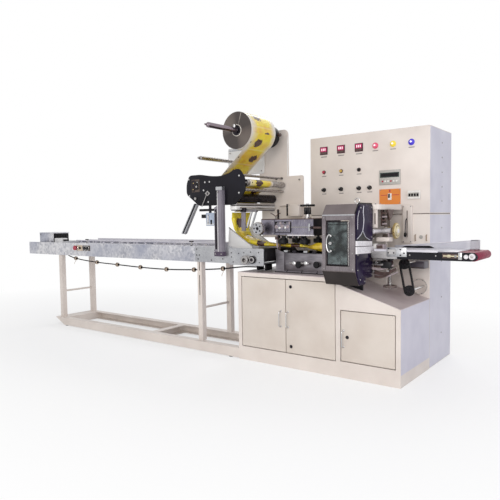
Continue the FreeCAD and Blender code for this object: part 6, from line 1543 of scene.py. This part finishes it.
# Each streak is a pale wire: a painted highlight.
for radius, streak_points in PAINTED_HIGHLIGHT_STREAKS:
    trim.append((wire(bow([(right + 9, y, z) for y, z in streak_points], 26), radius, (1, 0, 0), 10), rail_coat))
trim += bars(turned_steel, "X", right + 4, right + 11, 5, 1.2, 16, (-372, 700), (-340, 640), (-280, 625),
             (-176, 660), (-176, 780), (-372, 790), (-176, 890), (-176, 1070), (-330, 1066))
cap = bow([(right - 2, -385, 1030), (right - 2, -338, 1093), (right - 2, -158, 1093)], 16)
trim.append((wire(cap, 4, (1, 0, 0), 12), black_plastic))
lifting_ring = polar((352, 1109), 15, np.linspace(-np.pi / 2, 1.5 * np.pi, 40))
trim.append((wire(on_axis("Y", *lifting_ring.T, -290), 3, (0, 1, 0), 12), chrome))
trim += bars(chrome, "Z", 1088, 1096, 6, 1, 20, (352, -290))
piece("guard_trim_and_cover", trim)

# %% [markdown]
# The window is one smoked sheet in a thin dark frame, with a knuckled tube on its hinge side. Its pull is a
# chromed bar bent to part of an ellipse: x = middle + 20 cos a, z = middle + half its height sin a.

# %% Smoked window and its pull
(left, right), (front, back), (low, high) = limits("guard_window")
window = blocks(smoked_acrylic, (left, right - 4, front + 1, back - 1, low, high, 1))
window += blocks(dark_steel_and_shade, (left, left + 6, front - 1, back, low, high, 1.5),
                 (right - 11, right - 5, front - 1, back, low, high, 1.5),
                 (left, right - 3, front - 1, back, high - 6, high, 1.5),
                 (left, right - 3, front - 1, back, low, low + 6, 1.5))
window += blocks(black_gloss, (left + 6, right - 11, front - 0.5, back - 1, high - 22, high - 19, 0.5))
window.append((pipe("Z", (right - 4, (front + back) / 2), low, high, 4, 2.4, 24), turned_steel))
piece("smoked_window_door", window, "guard_window", "guard_window")
pull_x, (pull_y, _), pull_z = limits("window_handle")
mid_x, out, mid_z = sum(pull_x) / 2, pull_y + 5, sum(pull_z) / 2
half_height = (pull_z[1] - pull_z[0]) / 2 + 14
a = np.linspace(np.radians(60), np.radians(300), 40)
pull_path = on_axis("Y", mid_x + 14 + 20 * np.cos(a), mid_z + half_height * np.sin(a), out)
pull = [(wire(pull_path, 4, (0, 1, 0), 14), chrome)]
pull += bars(chrome, "Y", out - 3, front, 6, 1, 20, pull_path[0][[0, 2]], pull_path[-1][[0, 2]])
pull += bars(chrome, "Y", out + 4, front, 9, 1.5, 24, (mid_x + 16, mid_z))
pull += blocks(chrome, (mid_x + 6, mid_x + 26, out, out + 5, mid_z - 3, mid_z + 3, 1.5))
piece("window_pull", pull, "window_handle", "guard_window")

# %% [markdown]
# Behind the guard stand the sealer's plates. A cream slab with a rounded end lies across them; a hanger holds
# the polished drive shaft with its brass pinion; a lever moves in a slot of the cream plate on the cabinet;
# and a round cover with a rim carries the lower pulley.

# %% Sealer plates, lever and round cover
COVER = (542, 545)
ROUND_COVER = [(52, 251), (52, 243), (49, 240), (45, 240), (43, 243), (16, 243), (14, 241), (1, 241)]


def deck_plate(finish, low_x, high_x, top, low_y, high_y):
    """An upright plate that stands on the deck, which falls 129 mm between X 186 and X 605."""
    low_z, high_z = 597 - 129 * (np.array([low_x, high_x]) - 186) / 419
    outline = [(low_x, low_z), (high_x, high_z), (high_x, top), (low_x, top)]
    return plate("Y", outline, low_y, high_y, 2), finish


LEVER = bow([(459, 240, 1000), (459, 214, 990), (459, 202, 930), (459, 202, 900)], 18)
sealer = [
    (plate("Z", rectangle((167, 430), (-155, 251), [2, 48, 48, 2], 8), 1056, 1088, 3.5), cream_coat),
    deck_plate(cream_coat, 190, 362, 1056, 120, 140), deck_plate(black_coat, 238, 330, 640, -180, -160),
    (plate("Y", rectangle((426, 493), (832, 1087), [4, 4, 12, 12], 4), 237, 251, 3), cream_coat),
    (turned("Y", COVER, ROUND_COVER, 56), cream_coat), (pipe("Y", COVER, 239, 243, 51, 48, 56), grey_plastic),
    (wire(LEVER, 3.2, (1, 0, 0), 14), dark_steel_and_shade),
    (turned("Z", (459, 202), [(3, 906), (8, 902), (9, 888), (7, 876), (1, 873)], 24), black_gloss),
]
sealer += blocks(cream_coat, (364, 412, -145, -125, 944, 1056, 3), (240, 372, -116, -84, 870, 880, 2),
                 (240, 372, 44, 76, 870, 880, 2), (396, 480, -120, -60, 858, 884, 3))
# Painted shade: dark strips in the slots of the hanger and of the cream plate, and a line under the drive box.
sealer += blocks(shade_coat, (374, 382, -146.5, -144, 960, 1038, 1), (397, 404, -146.5, -144, 966, 1034, 1),
                 (456, 462, 235.8, 238, 872, 1050, 0.8), (496, 597, 159.6, 162, 676, 680, 0.6))
# The drive box under the deck is drawn dark violet-grey: painted shade.
sealer += blocks(violet_grey_and_shade, (493, 600, 161, 251, 672, 719, 4))
sealer += blocks(black_coat, (246, 330, -247, -180, 590, 606, 3))
sealer += blocks(white_plastic, (384, 408, -150, -110, 814, 846, 2.5))
sealer += blocks(rose_casting, (408, 456, -146, -96, 812, 842, 3))
sealer += blocks(brown_plastic, (414, 450, -148, -140, 818, 836, 1))
for x in (512, 586):
    staple = bow([(x, 251, 850), (x, 238, 850), (x, 238, 888), (x, 251, 888)], 6)
    sealer.append((wire(staple, 3, (1, 0, 0), 12), amber_plastic))
sealer += bars(grey_plastic, "Y", 246, 251, 12, 1, 24, (549, 874))
sealer += bars(turned_steel, "Y", 233, 238, 4, 0.8, 14, *product((435, 484), (842, 1076)))
sealer += bars(turned_steel, "Z", 1086, 1094, 6, 1, 6, *[(x, -136) for x in (200, 262, 330, 400)])
sealer += bars(turned_steel, "Y", 236, 240, 3, 0.6, 12, *on_circle(COVER, 47.5, 8, np.radians(20)))
piece("sealer_plates_and_lever", sealer, "sealer_plates")

# %% [markdown]
# The two sealing jaws turn against each other, each a drum with two serrated bars. A brass gear drives each,
# and the tooth outline of a gear is its pitch circle with a smooth wave.

# %% Jaws and gears
LINE, OFFSET, JAW = 817, 85.5, 276
SHAFT, CROSS_SHAFT = (388, 922), (-30, 922)
DRUM_PROFILE = [(16, -306), (34, -304), (34, -300), (41, -298), (42, -295), (42, 55), (40, 60), (24, 62),
                (22, 80), (16, 82), (16, 250), (1, 251)]


def gear(axis, at, low, high, radius, teeth, module, bore):
    """Twelve points for each tooth, at r = R - m + m tanh(2 cos(n a)) / tanh 2."""
    a = np.linspace(0, 2 * np.pi, teeth * 12, endpoint=False)
    outside = polar(at, radius - module + module * np.tanh(2 * np.cos(teeth * a)) / np.tanh(2), a)
    return ringed(axis, polar(at, bore, a), drawn_in(outside, 1), outside, low, high), brass


# The two shafts are steel painted near-white: painted reflection.
jaws = [(turned("Y", SHAFT, [(11, -152), (14, -149), (14, 10), (18, 12), (18, 30), (16, 32), (16, 251)], 36),
         steel_painted_bright),
        (turned("X", CROSS_SHAFT, [(13, 380), (14, 382), (14, 506), (8, 508), (1, 508)], 32), steel_painted_bright),
        (turned("X", CROSS_SHAFT, [(16, 459), (21, 461), (21, 481), (16, 482)], 32), worn_bakelite),
        (plate("X", [(-60, 1056), (40, 1056), (-10, 990), (-26, 990)], 440, 448, 1.5), brown_plastic)]
gears = [gear("Y", SHAFT, 205, 225, 28.5, 15, 3.4, 16), gear("X", CROSS_SHAFT, 482, 496, 50, 28, 2.8, 13),
         (pipe("X", CROSS_SHAFT, 494, 499, 44, 37), cream_brass),
         (turned("X", CROSS_SHAFT, [(13, 494), (30, 495), (30, 500), (24, 503), (13, 503)], 40), cream_brass)]
for z in (LINE + OFFSET, LINE - OFFSET):
    gears.append(gear("Y", (JAW, z), 205, 225, 85, 42, 3.4, 16))
    jaws.append((turned("Y", (JAW, z), DRUM_PROFILE, 48), turned_steel))
    for up in (1, -1):
        tip = z + up * 79
        outline = [(JAW - 15, z + up * 38), (JAW + 15, z + up * 38), (JAW + 15, tip - up * 3), (JAW + 9, tip),
                   (JAW - 9, tip), (JAW - 15, tip - up * 3)]
        jaws.append((plate("Y", rounded(outline, 2), -296, 56, 1.5), dark_steel_and_shade))
        jaws += blocks(brass, *[(x - 1.2, x + 1.2, -290, 50, *sorted((tip - up * 2.5, tip - up * 0.2)), 0.4)
                                for x in (JAW - 6, JAW, JAW + 6)])
jaws += blocks(brown_plastic, (404, 414, -70, 12, 952, 1056, 2), (416, 446, -78, -66, 984, 994, 1.5),
               (416, 446, -78, -66, 1028, 1038, 1.5))
jaws += blocks(rose_casting, (446, 456, -60, 0, 880, 910, 2), (416, 446, -78, -66, 962, 972, 1.5),
               (416, 446, -78, -66, 1006, 1016, 1.5))
# Painted shade: two dark blocks in the mechanism behind the guard.
jaws += blocks(shade_coat, (428, 436, -66, 4, 948, 1056, 2), (396, 440, -24, 20, 858, 900, 3))
piece("sealing_jaw_pair", jaws, "sealing_jaws")
# Painted shade: six dark spots in the holes of the brass cover.
gears += bars(shade_coat, "X", 494.5, 497, 3.5, 0.5, 16, *on_circle(CROSS_SHAFT, 33, 6))
piece("brass_gears", gears, "jaw_gears")

# %% [markdown]
# The discharge conveyor carries the pouches away. Its near plate is silver at the left and black further out,
# under a thin white strip; a guide rail stands on the far side, and a maroon belt runs round a nose roller.

# %% Discharge conveyor
start, end, front, back, low, top = 400, 1000, -200, 100, 760, 808
NOSE, TAIL_ROLLER = (992, 784), (440, 784)
clamp_strip = rounded([(470, 811), (690, 811), (660, 826), (500, 822)], [6, 8, 10, 10])
near_plate = [(562, low), (end - 14, low), (end, low + 16), (end, top), (562, top)]
far_plate = [(start, low), (end, low + 8), (end, top), (start, top)]
discharge = [
    (plate("Y", rectangle((start, 566), (low, top), [12, 1, 1, 4], 4), front, front + 6, 1.2), stainless),
    (plate("Y", rounded(near_plate, [1, 16, 10, 4, 1]), front - 2, front + 6, 1.5), black_coat),
    (plate("Y", rounded(far_plate, 4), back - 6, back, 1.5), black_coat),
    (plate("Y", [(430, 806), (953, 806), (953, 866), (430, 822)], back - 6, back - 2, 1), frosted_acrylic),
    (plate("Y", [(430, 819), (953, 862), (953, 867), (430, 824)], back - 8, back, 1), rail_coat),
    (plate("Y", clamp_strip, back - 8, back - 5, 1), black_coat),
]
discharge += blocks(rail_coat, (420, 800, front - 4, front + 2, top - 4, top + 9, 1.2),
                    (430, 905, front + 5, back - 8, 808.4, 811, 0.8))
discharge += blocks(violet_grey_and_shade, (790, 940, front - 3, front + 2, top - 4, top + 2, 1))
discharge += blocks(alloy, (501, 624, front - 10, front, 774, 830, 3))
discharge += blocks(stainless, (510, 560, front - 14, front - 9, 786, 818, 2),
                    (410, 470, front, back, 749, 755, 1.5))
discharge += blocks(frosted_acrylic, (900, 953, back - 8, back - 1, 808, 866, 2))
discharge += blocks(cream_coat, (420, 480, 94, 251, 755, 784, 3))
discharge += blocks(dark_steel_and_shade, (590, 600, front + 6, back - 6, 781, 786, 0.8))
discharge += blocks(brown_plastic, (826, 916, front - 3.5, front - 1, 774, 800, 1))
discharge += blocks(chrome, (912, 934, front - 9, front - 1, 768, 808, 3))
discharge += bars(turned_steel, "Y", front + 6, back - 6, 10, 1, 24, (865, 784), (645, 784))
discharge += bars(turned_steel, "Y", front - 6, front - 1, 4.5, 1, 14, (640, 786), (790, 786))
discharge += bars(dark_steel_and_shade, "Y", front - 17, front - 9, 4.5, 1, 14, (515, 797), (548, 797), (515, 822),
                  (610, 797), (588, 784), (588, 818))
discharge += bars(cream_brass, "X", 832, 912, 4, 1, 14, (front - 6, 787))
discharge += bars(cream_brass, "X", 856, 872, 9, 1, 6, (front - 6, 787))
discharge += bars(turned_steel, "X", 894, 906, 9, 1, 6, (front - 6, 787))
# The nose's round ends are steel painted near-white: painted reflection.
discharge += bars(steel_painted_bright, "Y", front - 14, front - 1, 17, 3, 32, (NOSE[0] - 6, 787))
discharge += bars(steel_painted_bright, "Y", front - 10, front - 1, 12, 2, 24, (NOSE[0] - 38, 785))
discharge += bars(turned_steel, "Y", front - 17, front - 12, 8, 1.5, 20, (NOSE[0] - 6, 787))
piece("discharge_frame", discharge, "discharge_sides")

# %% Belts, rollers and pulleys
UPPER_PULLEY, LOWER_PULLEY = (539, 716), (570, 551)
PULLEY = [(8, -31), (31, -31), (33, -28), (25, -25), (25, -17), (33, -13), (31, -9), (14, -9), (14, 4),
          (8, 6)]


def belt_loop(finish, first, second, low, high, radius, wall):
    """Two half circles joined by straight runs: angles from 90 to 270 degrees round the first roller, then
    the rest."""
    a = np.linspace(np.pi / 2, 3 * np.pi / 2, 20) + np.arctan2(second[1] - first[1], second[0] - first[0])
    outlines = [np.vstack([polar(first, r, a), polar(second, r, a - np.pi)])
                for r in (radius - wall, radius - 0.5, radius)]
    return ringed("Y", *outlines, low, high), finish


flat = [belt_loop(maroon_belt, TAIL_ROLLER, NOSE, front + 7, back - 7, 24, 3)]
flat += blocks(shade_coat, *[(x - 3, x + 3, front + 12, back - 12, 807.5, 808.6, 0.3) for x in (925, 965)])
piece("discharge_flat_belt", flat, "discharge_belt")
feed_y = limits("feed_belt")[1]
feed = [belt_loop(belt_rubber, (-440, 752), (-411, 752), *feed_y, 47, 6)]
feed += bars(black_plastic, "Y", *inset(feed_y, 2), 40, 1, 40, (-411, 752))
piece("feed_belt_nose", feed, "feed_belt")
piece("drive_v_belt", [belt_loop(belt_rubber, UPPER_PULLEY, LOWER_PULLEY, -30, -12, 33, 8)],
      "drive_belt")
turning = bars(dark_steel_and_shade, "Y", front + 6, back - 6, 21, 1, 40, TAIL_ROLLER, NOSE)
for spot, reach in ((UPPER_PULLEY, 161), (LOWER_PULLEY, 241)):
    turning.append((turned("Y", spot, PULLEY, 40), black_plastic))
    turning += bars(chrome, "Y", 4, reach, 8, 1, 32, spot)
    turning += bars(dark_steel_and_shade, "Y", -36, -28, 10, 1.5, 6, spot)
    turning += bars(black_gloss, "Y", -32, -30, 4.5, 0.4, 16, *on_circle(spot, 19, 5))
piece("rollers_and_pulley_wheels", turning, "discharge_rollers")

# %% [markdown]
# Under the discharge end sits the small adjusting gear that lets the conveyor be raised: curved brown blades,
# a bright bar and a few dark links.

# %% Adjusting gear
def blade(finish, low_x, high_x, z, sag, height, near_y):
    """A curved strip: its lower edge is z - sag sin(pi t) + 26 t, and the upper one is height (1 - 0.3 t)
    above it."""
    t = np.linspace(0, 1, 18)
    low_edge = np.stack([low_x + (high_x - low_x) * t, z - sag * np.sin(np.pi * t) + 26 * t], axis=1)
    high_edge = low_edge[::-1] + np.stack([0 * t, height * (1 - 0.3 * t[::-1])], axis=1)
    return plate("Y", np.vstack([low_edge, high_edge]), near_y, near_y + 7, 1.2), finish


adjusting = [
    blade(rose_casting, 392, 530, 690, 14, 13, -176),
    blade(umber_casting, 396, 540, 662, 20, 24, -160),
    blade(rose_casting, 390, 545, 648, 20, 12, -146),
    blade(umber_casting, 400, 525, 702, 8, 16, -168),
    blade(umber_casting, 398, 500, 636, 12, 16, -152),
]
adjusting += blocks(turned_steel, (400, 470, -190, -178, 716, 728, 2))
adjusting += blocks(black_plastic, (455, 520, -186, -150, 700, 742, 4))
adjusting += bars(turned_steel, "Y", -196, 60, 8, 1, 20, (430, 734))
adjusting += bars(dark_steel_and_shade, "X", 392, 470, 9, 1.5, 20, (-150, 726))
adjusting += bars(turned_steel, "Y", -182, -140, 7, 1, 18, (402, 676))
adjusting += bars(turned_steel, "Y", -182, -140, 6, 1, 18, (498, 684))
piece("height_adjusting_gear", adjusting)

# %% [markdown]
# The floor is matt and pale under the machine, where it catches a soft shadow, and turns to plain white
# further out, as a paper sweep does in a studio. Only the camera, glass and metal see that white, so no light
# is added to the machine. The share of white grows with the distance from the middle of the floor, |((x +
# 1.05) / 2.6, (y - 0.16) / 1.5)|.

# %% Floor
floor_mesh = bpy.data.meshes.new("studio_floor")
floor_mesh.from_pydata([(-45, -45, 0), (45, -45, 0), (45, 45, 0), (-45, 45, 0)], [], [(0, 1, 2, 3)])
floor = bpy.data.objects.new("studio_floor", floor_mesh)
bpy.context.scene.collection.objects.link(floor)


def rays_that_see(tree):
    """1 for camera, glossy and transmission rays: the largest of the three."""
    rays = add(tree, "LightPath").node.outputs
    both = add(tree, "Math", {0: rays["Is Camera Ray"], 1: rays["Is Glossy Ray"]}, operation="MAXIMUM")
    return add(tree, "Math", {0: both, 1: rays["Is Transmission Ray"]}, operation="MAXIMUM")


floor_finish, tree, where = new_finish("matt_white_paper_sweep")
placed = add(tree, "Mapping", {"Vector": where, "Location": (1.05 / 2.6, -0.16 / 1.5, 0),
                               "Scale": (1 / 2.6, 1 / 1.5, 0)})
away = add(tree, "VectorMath", {0: placed}, "Value", operation="LENGTH")
share = add(tree, "MapRange", {0: away, 1: 0.8, 2: 1.9, 3: 0.55, 4: 1.0})
share = add(tree, "Math", {0: share, 1: rays_that_see(tree)}, operation="MULTIPLY")
paper = add(tree, "BsdfPrincipled", {"Base Color": linear("#F4F4F4"), "Roughness": 0.8})
paper_white = add(tree, "Emission", {"Color": linear("#FFFFFF"), "Strength": 1.0})
seen_floor = add(tree, "MixShader", {0: share, 1: paper, 2: paper_white})
add(tree, "OutputMaterial", {"Surface": seen_floor})
floor_mesh.materials.append(floor_finish)
print("floor", floor.dimensions[0], "m wide")

# %% [markdown]
# Soft studio light: a pale world gives the ambient part, a large lamp in front gives the shape, and weaker
# ones fill the right side and the back. The camera, and metal and glass that mirror it, see a white
# background.

# %% World and lamps
world = bpy.data.worlds.new("studio_world")
bpy.context.scene.world = world
world.use_nodes = True
tree = world.node_tree
tree.nodes.clear()
ambient = add(tree, "Background", {"Color": linear("#F4F5F8"), "Strength": 0.7})
white = add(tree, "Background", {"Color": linear("#FFFFFF"), "Strength": 1.0})
mixed = add(tree, "MixShader", {0: rays_that_see(tree), 1: ambient, 2: white})
add(tree, "OutputWorld", {"Surface": mixed})


def lamp(name, at, toward, size, power, code):
    """A square lamp, size metres wide, of the given watts, that looks from one point toward another."""
    light = bpy.data.lights.new(name, "AREA")
    light.shape = "SQUARE"
    light.size, light.energy, light.color = size, power, linear(code)[:3]
    item = bpy.data.objects.new(name, light)
    bpy.context.scene.collection.objects.link(item)
    facing = (Vector(toward) - Vector(at)).to_track_quat("-Z", "Y")
    item.matrix_world = Matrix.Translation(at) @ facing.to_matrix().to_4x4()


lamp("key_lamp", (1.1, -5.6, 2.2), (-0.3, 0, 0.8), 3.2, 130, "#FFFAF6")
lamp("fill_lamp", (4.0, -2.2, 2.2), (0.3, 0.1, 0.8), 2.5, 48, "#F3F5FF")
lamp("back_lamp", (-1.5, 5.0, 3.4), (-0.8, 0.2, 0.7), 3.0, 90, "#FFFAF6")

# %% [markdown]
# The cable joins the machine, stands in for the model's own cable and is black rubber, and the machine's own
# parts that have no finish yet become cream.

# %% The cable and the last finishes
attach(cable, "machine")
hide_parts("hanging_cable")
line.materials.append(belt_rubber)
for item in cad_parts.values():
    if not item.data.materials:
        item.data.materials.append(cream_coat)
